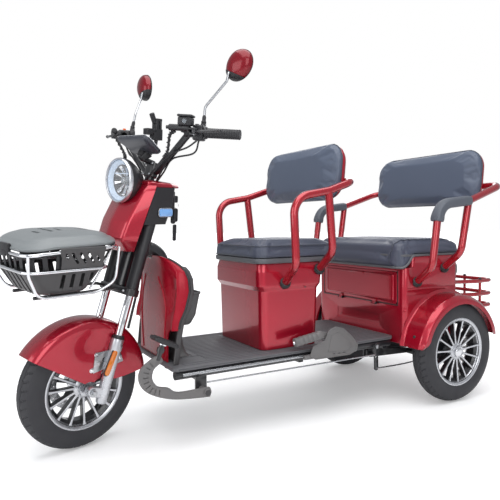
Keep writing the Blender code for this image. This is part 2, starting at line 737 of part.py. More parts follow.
def panel_loop(level, wall):
    """One height of the panel: a thin channel that opens to the rear."""
    z, crease_x, crease_y, rear_x, rear_y, middle_y = level
    outer = [(rear_x, rear_y), (crease_x, crease_y),
             (crease_x * 0.55, middle_y + 0.25 * (crease_y - middle_y)), (0, middle_y)]
    inner = [(rear_x - wall, rear_y), (crease_x - wall, crease_y + wall),
             (crease_x * 0.55, middle_y + 0.25 * (crease_y - middle_y) + wall), (0, middle_y + wall)]
    loop = [(x, y, z) for x, y in outer] + [(-x, y, z) for x, y in reversed(outer[:-1])]
    loop += [(-x, y, z) for x, y in inner] + [(x, y, z) for x, y in reversed(inner[:-1])]
    return loop


def front_panel_mesh():
    """Red front panel with its top cap, inner seats on the stanchion covers and light hole."""
    skin = loft([panel_loop(level, PANEL_WALL) for level in PANEL_LEVELS])
    cap_outline = [(0.076, 0.199), (0.0975, 0.221), (0.092, 0.290), (0.070, 0.338),
                   (-0.070, 0.338), (-0.092, 0.290), (-0.0975, 0.221), (-0.076, 0.199)]
    cap = plate(cap_outline, "xy", *PANEL_CAP)
    ribs = [box((s * 0.066 - 0.011, s * 0.066 + 0.011), (0.106, 0.206), (0.716, 0.732))
            for s in (1, -1)]
    panel = union(skin, cap, *ribs)
    tools = [bore(on_steer_axis(0.50, x), on_steer_axis(0.64, x), COVER_RADIUS, GAP, ROUND_SIDES)
             for x in (LEG_HALF_SPACING, -LEG_HALF_SPACING)]
    tools.append(rod(on_steer_axis(0.66), on_steer_axis(0.80), STEERER_RADIUS + 0.006))
    tools.append(light_bowl_mesh(GAP))
    return cut(panel, *tools)


TRIM_LEVELS = (
    # height, front x, front y, rear corner y, back y
    (0.748, 0.0958, 0.1738, 0.262, 0.286),
    (0.806, 0.0975, 0.1945, 0.285, 0.312),
    (0.8737, 0.0985, 0.2195, 0.296, 0.326),
)
LOCK_PIVOT = Vector((0.030, 0.3325, 0.832))
KEY_RADIUS = 0.0035


def panel_trim_mesh():
    """Dark rear cover of the panel with the lock housing on its back."""
    loops = []
    for z, front_x, front_y, corner_y, back_y in TRIM_LEVELS:
        wall = PANEL_WALL
        corner_x = front_x - 0.0005
        outer = [(front_x, front_y), (corner_x, corner_y), (0.062, back_y), (0, back_y + 0.003)]
        inner = [(front_x - wall, front_y), (corner_x - wall, corner_y - wall),
                 (0.062 - wall, back_y - wall), (0, back_y + 0.003 - wall)]
        loop = [(x, y + GAP * 3, z) for x, y in outer]
        loop += [(-x, y + GAP * 3, z) for x, y in reversed(outer[:-1])]
        loop += [(-x, y + GAP * 3, z) for x, y in inner]
        loop += [(x, y + GAP * 3, z) for x, y in reversed(inner[:-1])]
        loops.append(loop)
    skin = loft(loops)
    housing = box((-0.012, 0.060), (0.296, LOCK_PIVOT.y), (0.795, 0.862), 0.004)
    hole = bore(LOCK_PIVOT - Y * 0.018, LOCK_PIVOT + Y * 0.01, KEY_RADIUS, RUNNING_GAP, PIN_SIDES)
    return cut(union(skin, housing), hole)


def ignition_key_mesh():
    """Key in its lock, with the strap and two remote fobs that hang from it."""
    x, y, z = LOCK_PIVOT
    blade = rod(LOCK_PIVOT - Y * 0.015, LOCK_PIVOT + Y * 0.006, KEY_RADIUS, PIN_SIDES)
    head = plate(capsule((y + 0.012, z), (y + 0.018, z), 0.010, 3), "yz", x - 0.0025, x + 0.0025)
    strap = plate(capsule((y + 0.020, z - 0.004), (y + 0.024, z - 0.060), 0.004, 3), "yz",
                  x - 0.0015, x + 0.0015)
    fob = plate(capsule((y + 0.022, z - 0.070), (y + 0.020, z - 0.100), 0.014, 3), "yz",
                x - 0.006, x + 0.006)
    tag = plate(capsule((y + 0.018, z - 0.120), (y + 0.016, z - 0.145), 0.010, 3), "yz",
                x - 0.004, x + 0.004)
    return union(blade, head, strap, fob, tag)


DISPLAY_MIDDLE = Vector((0.0, 0.217, 1.0145))
DISPLAY_HALF = (0.088, 0.045)


def display_mesh():
    """Flat instrument, tipped towards the rider, on its bracket from the handlebar clamp."""
    slope = Vector((0.0, 0.074, -0.051)).normalized()
    normal = X.cross(slope)
    rows = []
    for height, inset in ((-0.012, 0.010), (-0.006, 0.0), (0.0, 0.0)):
        outline = rounded_rectangle(DISPLAY_HALF[0] - inset, DISPLAY_HALF[1] - inset, 0.012, 1)
        rows.append([DISPLAY_MIDDLE + X * a + slope * b + normal * height for a, b in outline])
    slab = loft(rows)
    top = on_steer_axis(0.797 + GAP)
    stalk_top = DISPLAY_MIDDLE + slope * 0.020 - normal * 0.006
    stalk = tube([top, top + STEER_AXIS * 0.014, stalk_top], 0.009, 1)
    return union(slab, stalk)


# Basket

WIRE_RADIUS = 0.0035
WIRE_X = 0.070
BASKET_TOP = 0.680
BASKET_MIDDLE = 0.625
BASKET_BOTTOM = 0.550
BASKET_RIMS = (
    # height, half width, front y, rear y
    (BASKET_TOP, 0.145, -0.245, 0.058),
    (BASKET_MIDDLE, 0.139, -0.240, 0.027),
    (BASKET_BOTTOM, 0.108, -0.197, -0.014),
)
LINER_WALL = 0.003
LID_THICKNESS = 0.012
LID_PIVOT = (0.0665, 0.6905)
LID_HINGES = (0.075, -0.075)


def basket_outline(level, inset, radius, steps=2):
    """Rounded rectangle at one height of the basket."""
    height, half, front, rear = level
    middle = (front + rear) / 2
    points = rounded_rectangle(half - inset, (rear - front) / 2 - inset, radius, steps, (0, middle))
    return [(x, y, height) for x, y in points]


def basket_frame_mesh():
    """Chrome wires: two rims, U-shaped wires under the liner and the two arms to the fork."""
    rims = [tube(basket_outline(level, 0, 0.040, 1), WIRE_RADIUS + extra, 0, closed=True)
            for level, extra in zip(BASKET_RIMS[:2], (0.001, 0.0))]
    top, middle, bottom = BASKET_RIMS
    wires = []
    for x in (-WIRE_X, 0.0, WIRE_X):
        route = [(x, top[2], top[0]), (x, middle[2], middle[0]), (x, bottom[2], bottom[0]),
                 (x, bottom[3], bottom[0]), (x, middle[3], middle[0]), (x, top[3], top[0])]
        wires.append(tube(route, WIRE_RADIUS, 0))
    for y in (-0.140, -0.060):
        route = [(-top[1], y, top[0]), (-middle[1], y, middle[0]), (-bottom[1], y, bottom[0]),
                 (bottom[1], y, bottom[0]), (middle[1], y, middle[0]), (top[1], y, top[0])]
        wires.append(tube(route, WIRE_RADIUS, 0))
    arms = []
    for side in (1, -1):
        seat = on_steer_axis(sum(CROWN_LOW) / 2, side * 0.050, CLAMP_DEPTH + GAP)
        elbow = seat + STEER_FORWARD * 0.030
        route = [seat, elbow, Vector((side * WIRE_X, bottom[3] - 0.010, bottom[0]))]
        arms.append(tube(route, 0.0055, 1))
    return union(*rims, *wires, *arms)


def basket_liner_mesh():
    """Slotted plastic tub inside the wires, with the lid's hinge cheeks on its rear edge."""
    clear = WIRE_RADIUS + 0.001 + GAP
    heights = (BASKET_TOP + 0.006, BASKET_MIDDLE, BASKET_BOTTOM + WIRE_RADIUS + GAP)
    outer, inner = [], []
    for (_, half, front, rear), height, lift in zip(BASKET_RIMS, heights, (0.002, 0.002, 0.006)):
        level = (height, half - lift, front + lift, rear - lift)
        outer.append(basket_outline(level, clear, 0.034, 1))
        raised = (height + (LINER_WALL if height == heights[2] else 0), *level[1:])
        inner.append(basket_outline(raised, clear + LINER_WALL, 0.031, 1))
    tub = loft(list(reversed(outer)) + inner)
    slots = []
    front = BASKET_RIMS[0][2]
    for x in (-0.064, -0.021, 0.021, 0.064):
        slots.append(box((x - 0.010, x + 0.010), (front - 0.02, front + 0.03), (0.634, 0.672)))
    half = BASKET_RIMS[0][1]
    for y in (-0.175, -0.100, -0.025):
        slots.append(box((-half - 0.02, half + 0.02), (y - 0.020, y + 0.020), (0.640, 0.668)))
    tub = cut(tub, grouped(*slots))
    cheeks = []
    for x in LID_HINGES:
        cheeks += hinge_cheeks(x, LID_PIVOT, (BASKET_RIMS[0][3] - 0.0095, LID_PIVOT[0] + 0.003),
                               (LID_PIVOT[1] - 0.003, LID_PIVOT[1] + 0.003))
    shelf = [box((x - 0.018, x + 0.018), (BASKET_RIMS[0][3] - 0.0095, BASKET_RIMS[0][3] - 0.003),
                 (0.6852, LID_PIVOT[1] - 0.002)) for x in LID_HINGES]
    return union(tub, *cheeks, *shelf)


def basket_lid_mesh():
    """Crowned lid with its knuckles, a hand recess, louvres and the front latch tongue."""
    _, half, front, rear = BASKET_RIMS[0]
    base = 0.6946
    levels = ((base, 0.000), (base + 0.006, -0.002), (base + 0.010, 0.008),
              (base + LID_THICKNESS, 0.030))
    loops = [basket_outline((z, half, front, rear), inset, 0.040 - min(inset, 0.02))
             for z, inset in levels]
    lid = loft(loops)
    middle = (front + rear) / 2
    recess = loft([[(x, y, z) for x, y in rounded_rectangle(0.050, 0.016, 0.0155, 2,
                                                            (0, middle + 0.045))]
                   for z in (base + 0.006, base + 0.03)])
    louvres = [box((-0.020, 0.020), (middle - 0.030 - k * 0.020, middle - 0.024 - k * 0.020),
                   (base + 0.007, base + 0.03)) for k in range(3)]
    lid = cut(lid, recess, *louvres)
    knuckles = [hinge_knuckle(x, LID_PIVOT, (rear - 0.006, base + 0.0065)) for x in LID_HINGES]
    hook = [(front + 0.004, base + 0.006), (front - 0.0115, base + 0.006),
            (front - 0.0115, base - 0.016), (front - 0.0056, base - 0.016),
            (front - 0.0056, base + 0.001), (front + 0.004, base + 0.001)]
    tongue = plate(hook, "yz", -0.016, 0.016)
    return union(lid, *knuckles, tongue)


# Floor, frame and leg shield

RAIL_Z = 0.246
RAIL_X = 0.205
BEAM_Z = 0.230
BEAM_X = 0.100
HEAD_TUBE_SPAN = (CROWN_LOW[1] + RUNNING_GAP, CROWN_HIGH[0] - RUNNING_GAP)
SWING_PIVOT = (1.170, 0.190)
SWING_LUG_X = 0.150
SHOCK_X = 0.190
SHOCK_SETBACK = 0.040
SHOCK_Y = REAR_AXLE_Y - SHOCK_SETBACK
SHOCK_CUP_RADIUS = 0.026
SHOCK_CUP_BORE = 0.0215
PEDAL_PIVOT = (0.355, 0.190)
PEDAL_X = (0.2445, 0.2565)
CRANK_PIVOT = (1.115, 0.243)
CRANK_X = (0.2245, 0.2305)
LEVER_PIVOT_YZ = (0.930, 0.272)
LEVER_X = (0.2355, 0.2415)
PARKING_BUTTON_RADIUS = 0.0062
PIVOT_PIN_RADIUS = 0.005


def swing_bearer(side):
    """Arm, lug and pin that carry one side of the swing arm, and the shock cup above it."""
    lug = box((SWING_LUG_X - 0.036, SWING_LUG_X - 0.030), (1.148, 1.192), (0.174, 0.236))
    arm = box((BEAM_X, SWING_LUG_X - 0.030), (1.160, 1.180), (0.222, 0.236))
    pin = rod((SWING_LUG_X - 0.034, *SWING_PIVOT), (SWING_LUG_X + 0.018, *SWING_PIVOT),
              PIVOT_PIN_RADIUS + 0.001, SMALL_SIDES)
    cup = turned([(0, 0), (SHOCK_CUP_RADIUS, 0), (SHOCK_CUP_RADIUS, 0.100), (SHOCK_CUP_BORE, 0.100),
                  (SHOCK_CUP_BORE, 0.006), (0, 0.006)], (SHOCK_X, SHOCK_Y, 0.362), -Z, SMALL_SIDES)
    pieces = [lug, arm, pin, cup]
    return pieces if side > 0 else [mirrored(piece) for piece in pieces]


def brake_pins():
    """The pivots of the foot brake, its bell crank and the parking brake on the left rail."""
    eye = PIVOT_PIN_RADIUS + 0.001
    pedal_lug = box((RAIL_X - 0.004, RAIL_X + 0.005), (0.335, 0.375), (0.176, 0.246))
    pedal_pin = rod((RAIL_X, *PEDAL_PIVOT), (PEDAL_X[1] + 0.003, *PEDAL_PIVOT), eye, SMALL_SIDES)
    pedal_head = rod((PEDAL_X[1] + 0.001, *PEDAL_PIVOT), (PEDAL_X[1] + 0.007, *PEDAL_PIVOT),
                     0.0105, PIN_SIDES)
    crank_pin = rod((RAIL_X, *CRANK_PIVOT), (CRANK_X[1] + 0.003, *CRANK_PIVOT), PIVOT_PIN_RADIUS,
                    SMALL_SIDES)
    crank_head = rod((CRANK_X[1] + 0.001, *CRANK_PIVOT), (CRANK_X[1] + 0.005, *CRANK_PIVOT),
                     0.009, PIN_SIDES)
    deck_side = DECK_HALF_WIDTH + 3 * GAP
    upright = LEVER_X[0] - 0.004
    bracket = plate([(RAIL_X + 0.006, 0.238), (upright, 0.238), (upright, 0.292), (deck_side, 0.292),
                     (deck_side, 0.2585), (RAIL_X + 0.006, 0.2585)], "xz", 0.905, 0.955)
    lever_pin = rod((LEVER_X[0] - 0.012, *LEVER_PIVOT_YZ), (LEVER_X[1] + 0.004, *LEVER_PIVOT_YZ),
                    PIVOT_PIN_RADIUS, SMALL_SIDES)
    return [pedal_lug, pedal_pin, pedal_head, crank_pin, crank_head, bracket, lever_pin]


def side_rail(side, grow=0.0):
    """The tube under one edge of the deck."""
    return tube([(side * RAIL_X, 0.262, RAIL_Z), (side * RAIL_X, 1.205, RAIL_Z)], RAIL_RADIUS + grow, 2)


def main_frame_mesh():
    """Head tube, down tube, floor beams, side rails, shock cups and every pivot pin."""
    head = rod(on_steer_axis(HEAD_TUBE_SPAN[0]), on_steer_axis(HEAD_TUBE_SPAN[1]), HEAD_TUBE_RADIUS)
    neck = on_steer_axis(0.485)
    route = [neck, neck + Vector((0, 0.098, -0.006)), Vector((0, 0.322, 0.520)),
             Vector((0, 0.334, BEAM_Z - 0.011))]
    parts = [head, tube(rounded_path(route, (0.06, 0.12)), DOWN_TUBE_RADIUS, 2)]
    half, low, high = 0.0125, BEAM_Z - 0.0125, BEAM_Z + 0.0125
    step = 0.080
    kick, tail = SHOCK_Y - 0.095, SHOCK_Y + 0.120
    side_view = [(0.325, low), (kick - 0.065, low), (kick, low + step), (tail, low + step),
                 (tail, high + step), (kick - 0.010, high + step), (kick - 0.075, high), (0.325, high)]
    for side in (1, -1):
        parts.append(side_rail(side))
        parts.append(plate(side_view, "yz", side * BEAM_X - half, side * BEAM_X + half))
        parts += swing_bearer(side)
    for y in (0.345, 0.765, 1.185):
        parts.append(box((-RAIL_X, RAIL_X), (y - 0.010, y + 0.010), (BEAM_Z - 0.008, BEAM_Z + 0.011)))
    cup_wall = SHOCK_X - SHOCK_CUP_BORE - 0.001
    parts.append(box((-cup_wall, cup_wall), (SHOCK_Y - 0.012, SHOCK_Y + 0.012), (0.318, 0.368)))
    parts.append(box((-BEAM_X, BEAM_X), (tail - 0.025, tail - 0.005), (low + step, high + step - 0.001)))
    low_end, high_end = on_steer_axis(HEAD_TUBE_SPAN[0] - 0.01), on_steer_axis(HEAD_TUBE_SPAN[1] + 0.01)
    steerer_hole = bore(low_end, high_end, STEERER_RADIUS, RUNNING_GAP, ROUND_SIDES)
    return cut(union(*parts, *brake_pins()), steerer_hole)


def floor_deck_mesh():
    """Ribbed tread deck with a raised border, notched in front for the turning wheel."""
    half, front, rear = DECK_HALF_WIDTH, DECK_FRONT, REAR_BODY_FRONT - GAP
    low = RAIL_Z + RAIL_RADIUS + GAP
    slot, slot_end = DOWN_TUBE_RADIUS + 0.004, 0.366
    side = [(slot, slot_end), (slot, 0.270), (0.115, 0.270), (0.150, front), (half - 0.012, front),
            (half, front + 0.012), (half, rear)]
    outline = side + [(-x, y) for x, y in reversed(side)]
    deck = plate(outline, "xy", low, DECK_TOP)
    wells = []
    for start, end in ((0.372, 0.590), (0.925, 1.195)):
        for k in range(5):
            x = (k - 2) * 0.076
            wells.append(box((x - 0.030, x + 0.030), (start, end), (DECK_TOP - 0.004, DECK_TOP + 0.01)))
    return cut(deck, grouped(*wells))


SHIELD_WALL = 0.004
SHIELD_LEVELS = (
    # height, half width, edge y, middle y
    (DECK_TOP + GAP, 0.190, 0.272, 0.2625),
    (0.370, 0.1945, 0.304, 0.2625),
    (0.516, 0.196, 0.345, 0.2625),
    (0.585, 0.186, 0.344, 0.2615),
    (0.612, 0.160, 0.312, 0.2600),
    (0.632, 0.112, 0.268, 0.2570),
)


def shield_curve(half, edge_y, middle_y, steps=5):
    """Half a shield section, from the edge to the middle, as (x, y) points."""
    points = []
    for k in range(steps):
        share = 1 - k / (steps - 1)
        across = half * sin(share * pi / 2) ** 0.9
        points.append((across, middle_y + (edge_y - middle_y) * share ** 2.4))
    return points


def shield_mesh():
    """Red leg shield: a bowed sheet whose edges sweep back, notched for the down tube."""
    loops = []
    for z, half, edge_y, middle_y in SHIELD_LEVELS:
        outer = shield_curve(half, edge_y, middle_y)
        inner = [(max(x - SHIELD_WALL * 0.8, 0), y + SHIELD_WALL) for x, y in outer]
        loop = [(x, y, z) for x, y in outer] + [(-x, y, z) for x, y in reversed(outer[:-1])]
        loop += [(-x, y, z) for x, y in inner] + [(x, y, z) for x, y in reversed(inner[:-1])]
        loops.append(loop)
    sheet = loft(loops)
    notch = box((-DOWN_TUBE_RADIUS - 0.006, DOWN_TUBE_RADIUS + 0.006), (0.20, 0.30), (0.545, 0.66))
    return cut(sheet, notch)


def liner_mesh():
    """Dark inner liner behind the shield, with an open glove pocket on each side of the tube."""
    loops = []
    for z, half, edge_y, _ in SHIELD_LEVELS[:-1]:
        edge = edge_y + SHIELD_WALL + 0.0006
        outer = [(half - 0.002, edge), (half - 0.006, edge + 0.012), (0.100, edge + 0.018),
                 (0.048, edge + 0.012)]
        inner = [(half - 0.006, edge), (half - 0.010, edge + 0.0085), (0.100, edge + 0.014),
                 (0.048, edge + 0.0085)]
        loops.append([(x, y, z + GAP) for x, y in outer + list(reversed(inner))])
    left = loft(loops)
    pocket = loft([[(x, y, z) for x, y in rounded_rectangle(hx, hy, 0.012, 1, (0.118, yc))]
                   for z, hx, hy, yc in ((0.400, 0.034, 0.016, 0.357), (0.430, 0.040, 0.022, 0.366),
                                         (0.507, 0.044, 0.026, 0.378))])
    hollow = loft([[(x, y, z) for x, y in rounded_rectangle(hx, hy, 0.010, 1, (0.118, yc))]
                   for z, hx, hy, yc in ((0.408, 0.030, 0.012, 0.358), (0.430, 0.036, 0.018, 0.366),
                                         (0.520, 0.040, 0.022, 0.379))])
    left = cut(union(left, pocket), hollow)
    right = mirrored(left)
    saddle = [(0.060, 0.342), (0.060, 0.358), (-0.060, 0.358), (-0.060, 0.342),
              (-0.040, 0.342), (-0.040, 0.3545), (0.040, 0.3545), (0.040, 0.342)]
    bridge = plate(saddle, "xy", 0.440, 0.480)
    return union(left, right, bridge)


# Foot brake and parking brake

PEDAL_SLOTS = 3


def brake_pedal_mesh():
    """Cast pedal: tilted rubber-faced pad, short shaft, bowed ladder arm and pivot eye."""
    low, high = PEDAL_X
    y, z = PEDAL_PIVOT
    arm = [(0.194, 0.336), (0.166, 0.322), (0.134, 0.297), (0.127, 0.264), (0.144, 0.229),
           (0.186, 0.203), (0.250, 0.184), (y, z - 0.016), (y + 0.012, z - 0.012),
           (y + 0.016, z), (y + 0.012, z + 0.012), (y, z + 0.016), (0.258, 0.206),
           (0.222, 0.226), (0.188, 0.236), (0.170, 0.262), (0.176, 0.292), (0.204, 0.314)]
    bow = plate(arm, "yz", low, high)
    slots = []
    for k in range(PEDAL_SLOTS):
        angle = radians(160 + 32 * k)
        middle = (0.192 + 0.042 * cos(angle), 0.268 + 0.046 * sin(angle))
        tip = (middle[0] + 0.007 * cos(angle), middle[1] + 0.007 * sin(angle))
        slots.append(plate(capsule(middle, tip, 0.0028, 2), "yz", low - 0.01, high + 0.01))
    centre_x = (low + high) / 2
    shaft = rod((centre_x, 0.188, 0.318), (centre_x, 0.209, 0.374), 0.0095, SMALL_SIDES)
    collar = rod((centre_x, 0.197, 0.342), (centre_x, 0.202, 0.3553), 0.0125, SMALL_SIDES)
    slope = Vector((0.0, 0.078, -0.037)).normalized()
    normal = X.cross(slope)
    pad = loft([[Vector((centre_x + 0.003, 0.212, 0.374)) + X * a + slope * b + normal * h
                 for a, b in rounded_rectangle(0.032 - i, 0.043 - i, 0.010, 1)]
                for h, i in ((-0.007, 0.004), (-0.003, 0.0), (0.005, 0.0), (0.008, 0.003))])
    horn = plate(capsule((y, z), (y, z + 0.027), 0.008, 3), "yz", low - 0.002, low + 0.003)
    boss = rod((RAIL_X + 0.005 + GAP, y, z), (low + 0.004, y, z), 0.011, SMALL_SIDES)
    eye = bore((low - 0.06, y, z), (high + 0.06, y, z), PIVOT_PIN_RADIUS + 0.001, RUNNING_GAP,
               SMALL_SIDES)
    body = cut(bow, grouped(*slots))
    return cut(union(body, shaft, collar, pad, horn, boss), eye)


def bell_crank_mesh():
    """Stamped lever that hangs from the side rail and passes the pull to the rear rod."""
    y, z = CRANK_PIVOT
    lever = plate(capsule((y, z), (y, z - 0.092), 0.011, 3), "yz", *CRANK_X)
    hole = bore((0.2, y, z), (0.26, y, z), PIVOT_PIN_RADIUS, RUNNING_GAP, SMALL_SIDES)
    return cut(lever, hole)


ROD_RADIUS = 0.0035
ROD_Z = 0.210


def brake_rod_mesh():
    """The pull rod between the pedal's horn and the bell crank."""
    x = CRANK_X[0] - GAP - ROD_RADIUS
    start, end = PEDAL_PIVOT[0] + 0.018, CRANK_PIVOT[0] + 0.006
    return rod((x, start, ROD_Z), (x, end, ROD_Z), ROD_RADIUS, PIN_SIDES)


def parking_lever_mesh():
    """Flat lever with its pivot eye and the rubber grip, bored for the button."""
    y, z = LEVER_PIVOT_YZ
    low, high = LEVER_X
    blade = [(y + 0.010, z + 0.012), (0.845, 0.334), (0.822, 0.330), (0.818, 0.314),
             (0.842, 0.312), (0.905, 0.272), (y - 0.006, z - 0.012), (y + 0.010, z - 0.010),
             (y + 0.014, z)]
    flat = plate(blade, "yz", low, high)
    middle_x = (low + high) / 2
    start, end = Vector((middle_x, 0.836, 0.3235)), Vector((middle_x, 0.712, 0.307))
    length = (end - start).length
    profile = [(0, 0), (0.012, 0), (0.0155, 0.006)]
    for k in range(3):
        profile += [(0.0165, 0.018 + k * 0.034), (0.0145, 0.034 + k * 0.034)]
    profile += [(0.0120, length), (0, length)]
    grip = turned(profile, start, end - start, SMALL_SIDES)
    outward = (end - start).normalized()
    well = bore(end - outward * 0.014, end + outward * 0.01, PARKING_BUTTON_RADIUS, GAP, SMALL_SIDES)
    hole = bore((low - 0.02, y, z), (high + 0.02, y, z), PIVOT_PIN_RADIUS, RUNNING_GAP, SMALL_SIDES)
    return cut(union(flat, grip), well, hole)


PARKING_GRIP_END = Vector(((LEVER_X[0] + LEVER_X[1]) / 2, 0.712, 0.307))
PARKING_GRIP_AXIS = Vector((0.0, -0.124, -0.0165)).normalized()


def parking_button_mesh():
    """Silver release button in the grip's front end."""
    foot = PARKING_GRIP_END - PARKING_GRIP_AXIS * 0.0095
    radius = PARKING_BUTTON_RADIUS
    return turned([(0, 0), (radius, 0), (radius, 0.0135), (0.7 * radius, 0.0155), (0, 0.0155)],
                  foot, PARKING_GRIP_AXIS, SMALL_SIDES)


def parking_cover_mesh():
    """Stamped side cover of the parking brake with raised ribs."""
    low, high = LEVER_X[1] + 0.0055, LEVER_X[1] + 0.0085
    outline = [(0.775, 0.252), (0.800, 0.238), (0.960, 0.236), (0.995, 0.248), (1.000, 0.268),
               (0.975, 0.300), (0.930, 0.338), (0.895, 0.348), (0.862, 0.338), (0.842, 0.300),
               (0.790, 0.286)]
    sheet = plate(outline, "yz", low, high)
    ribs = [plate(capsule((0.866 + k * 0.030, 0.268), (0.884 + k * 0.027, 0.316 - 0.008 * k), 0.004, 2),
                  "yz", high - 0.001, high + 0.0025) for k in range(3)]
    feet = [box((RAIL_X - 0.002, high), (y - 0.008, y + 0.008), (RAIL_Z - 0.004, RAIL_Z + 0.003))
            for y in (0.800, 0.985)]
    cover = union(sheet, *ribs, *feet)
    return cut(cover, side_rail(1, GAP))


# Front seat

FRONT_BOX_LEVELS = (
    # height, half width, front y, rear y
    (DECK_TOP + GAP, 0.173, 0.617, 0.868),
    (0.492, 0.177, 0.614, 0.874),
    (0.510, 0.184, 0.602, 0.884),
    (0.565, 0.183, 0.602, 0.891),
    (FRONT_BOX_TOP, 0.175, 0.608, 0.890),
)
FRONT_ARM_MOUTHS = ((0.712, 0.518), (0.867, 0.562))
REAR_ARM_MOUTHS = ((1.290, 0.494), (1.448, 0.545))


def box_shell(levels, wall, radius, floor_height=None):
    """A moulded box open at the top; with no floor height it is open below too."""
    outer, inner = [], []
    for z, half, front, rear in levels:
        middle = (front + rear) / 2
        for inset, loops in ((0.0, outer), (wall, inner)):
            points = rounded_rectangle(half - inset, (rear - front) / 2 - inset, radius - inset, 2,
                                       (0, middle))
            loops.append([(x, y, z) for x, y in points])
    if floor_height is not None:
        inner[0] = [(x, y, z + floor_height) for x, y, z in inner[0]]
        return loft(outer + list(reversed(inner)))
    return loft(outer + list(reversed(inner)), closed=True)


def arm_paths(side, post_x, mouths, wall_x, corner, joint, back):
    """Middle lines of the front post with its rail, and of the rear post."""
    inside = wall_x - 0.018
    (front_y, front_z), (rear_y, rear_z) = mouths
    bend_z = front_z + (post_x - wall_x) * 0.72
    rear_bend_z = rear_z + (post_x - wall_x) * 0.72
    front = [(inside, front_y, front_z - 0.012), (post_x, front_y - 0.026, bend_z),
             corner, joint, back, (0.0, back[1], back[2])]
    rear = [(inside, rear_y, rear_z - 0.012), (post_x, rear_y - 0.020, rear_bend_z), joint]
    flip = [Vector((side * x, y, z)) for x, y, z in front]
    flip_rear = [Vector((side * x, y, z)) for x, y, z in rear]
    return (rounded_path(flip, (0.050, 0.070, 0, 0.050)), rounded_path(flip_rear, (0.050,)))


def backrest_plate(half, low, high, front_y, lean, depth, radius):
    """Dished red plate behind a backrest pad, leaning back by lean per metre of height."""
    middle = (low + high) / 2
    loops = []
    for back, inset in ((0.0, 0.0), (0.4 * depth, -0.001), (depth, 0.012)):
        outline = rounded_rectangle(half - inset, (high - low) / 2 - inset, radius - max(inset, 0), 3,
                                    (0, middle))
        loops.append([(x, front_y + back + lean * (z - middle), z) for x, z in outline])
    return loft(loops)


FRONT_ARM_POINTS = dict(corner=(0.291, 0.676, 0.829), joint=(0.296, 0.8245, 0.8547),
                        back=(0.288, 0.952, 0.896))
REAR_ARM_POINTS = dict(corner=(REAR_POST_X, 1.298, 0.806), joint=(REAR_POST_X + 0.0055, 1.464, 0.823),
                       back=(REAR_POST_X - 0.004, 1.682, 0.893))
FRONT_PAD = dict(half=0.255, low=0.825, high=1.045, front=0.882, lean=0.10, radius=0.075)
REAR_PAD = dict(half=0.310, low=0.812, high=1.058, front=1.608, lean=0.10, radius=0.080)
PAD_DEPTH = 0.045
BACK_PLATE_DEPTH = 0.022


def arm_tubes(post_x, mouths, wall_x, points, grow=0.0):
    """The bent rail that joins both armrests behind the seat, and the two rear posts."""
    left_rail, left_rear = arm_paths(1, post_x, mouths, wall_x, **points)
    right_rail, right_rear = arm_paths(-1, post_x, mouths, wall_x, **points)
    routes = [left_rail + list(reversed(right_rail[:-1])), left_rear, right_rear]
    return [tube(route, ARM_TUBE_RADIUS + grow, 1) for route in routes]


def armrest_frame_mesh(post_x, mouths, wall_x, points, pad):
    """Both armrest loops, the tube that joins them behind the backrest, and its plate."""
    inset = 0.008
    shell = backrest_plate(pad["half"] - inset, pad["low"] + inset, pad["high"] - inset,
                           pad["front"] + PAD_DEPTH + GAP, pad["lean"], BACK_PLATE_DEPTH,
                           pad["radius"] - inset)
    return union(*arm_tubes(post_x, mouths, wall_x, points), shell)


def arm_pad_meshes():
    """Moulded pads round the top of the rear armrest rails."""
    pads = []
    for side in (1, -1):
        rail, _ = arm_paths(side, REAR_POST_X, REAR_ARM_MOUTHS, REAR_BODY_HALF_WIDTH,
                            **REAR_ARM_POINTS)
        covered = [p for p in rail if p.z > 0.74 and p.y < 1.60]
        first = covered[0] + Vector((0, -0.002, -0.022))
        onward = (rail[rail.index(covered[-1]) + 1] - covered[-1]).normalized()
        route = [first] + covered + [covered[-1] + onward * 0.060]
        pads.append(tube(route, ARM_TUBE_RADIUS + 0.0085, 1))
    return pads


def pad_mesh(half, low, high, front, lean, radius):
    """Backrest pad: flat back, crowned face and drawn-in sides."""
    middle = (low + high) / 2
    loops = []
    for back, inset in ((PAD_DEPTH, 0.010), (0.8 * PAD_DEPTH, 0.001), (0.5 * PAD_DEPTH, 0.0),
                        (0.22 * PAD_DEPTH, 0.010), (0.06 * PAD_DEPTH, 0.034), (0.0, 0.075)):
        spread = max(radius - inset * 0.7, 0.02)
        outline = rounded_rectangle(half - inset, (high - low) / 2 - inset, spread, 3, (0, middle))
        loops.append([(x, front + back + lean * (z - middle), z) for x, z in outline])
    return loft(loops)


def cushion_mesh(half, front, rear, low, thick, radius):
    """Seat cushion with a crown, a drawn-in middle and a flat foot."""
    middle, reach = (front + rear) / 2, (rear - front) / 2
    loops = []
    for height, inset in ((0.0, 0.006), (0.10, 0.001), (0.45, 0.004), (0.72, 0.002),
                          (0.88, 0.014), (0.97, 0.040), (1.0, 0.090)):
        spread = max(radius - inset * 0.5, 0.02)
        outline = rounded_rectangle(half - inset, reach - inset, spread, 3, (0, middle))
        loops.append([(x, y, low + thick * height) for x, y in outline])
    return loft(loops)


FRONT_SEAT_Y = (0.592, 0.960)
FRONT_SEAT_HALF = 0.190
FRONT_SEAT_PIVOT = (0.903, 0.5845)
SEAT_HINGE_X = (0.110, -0.110)


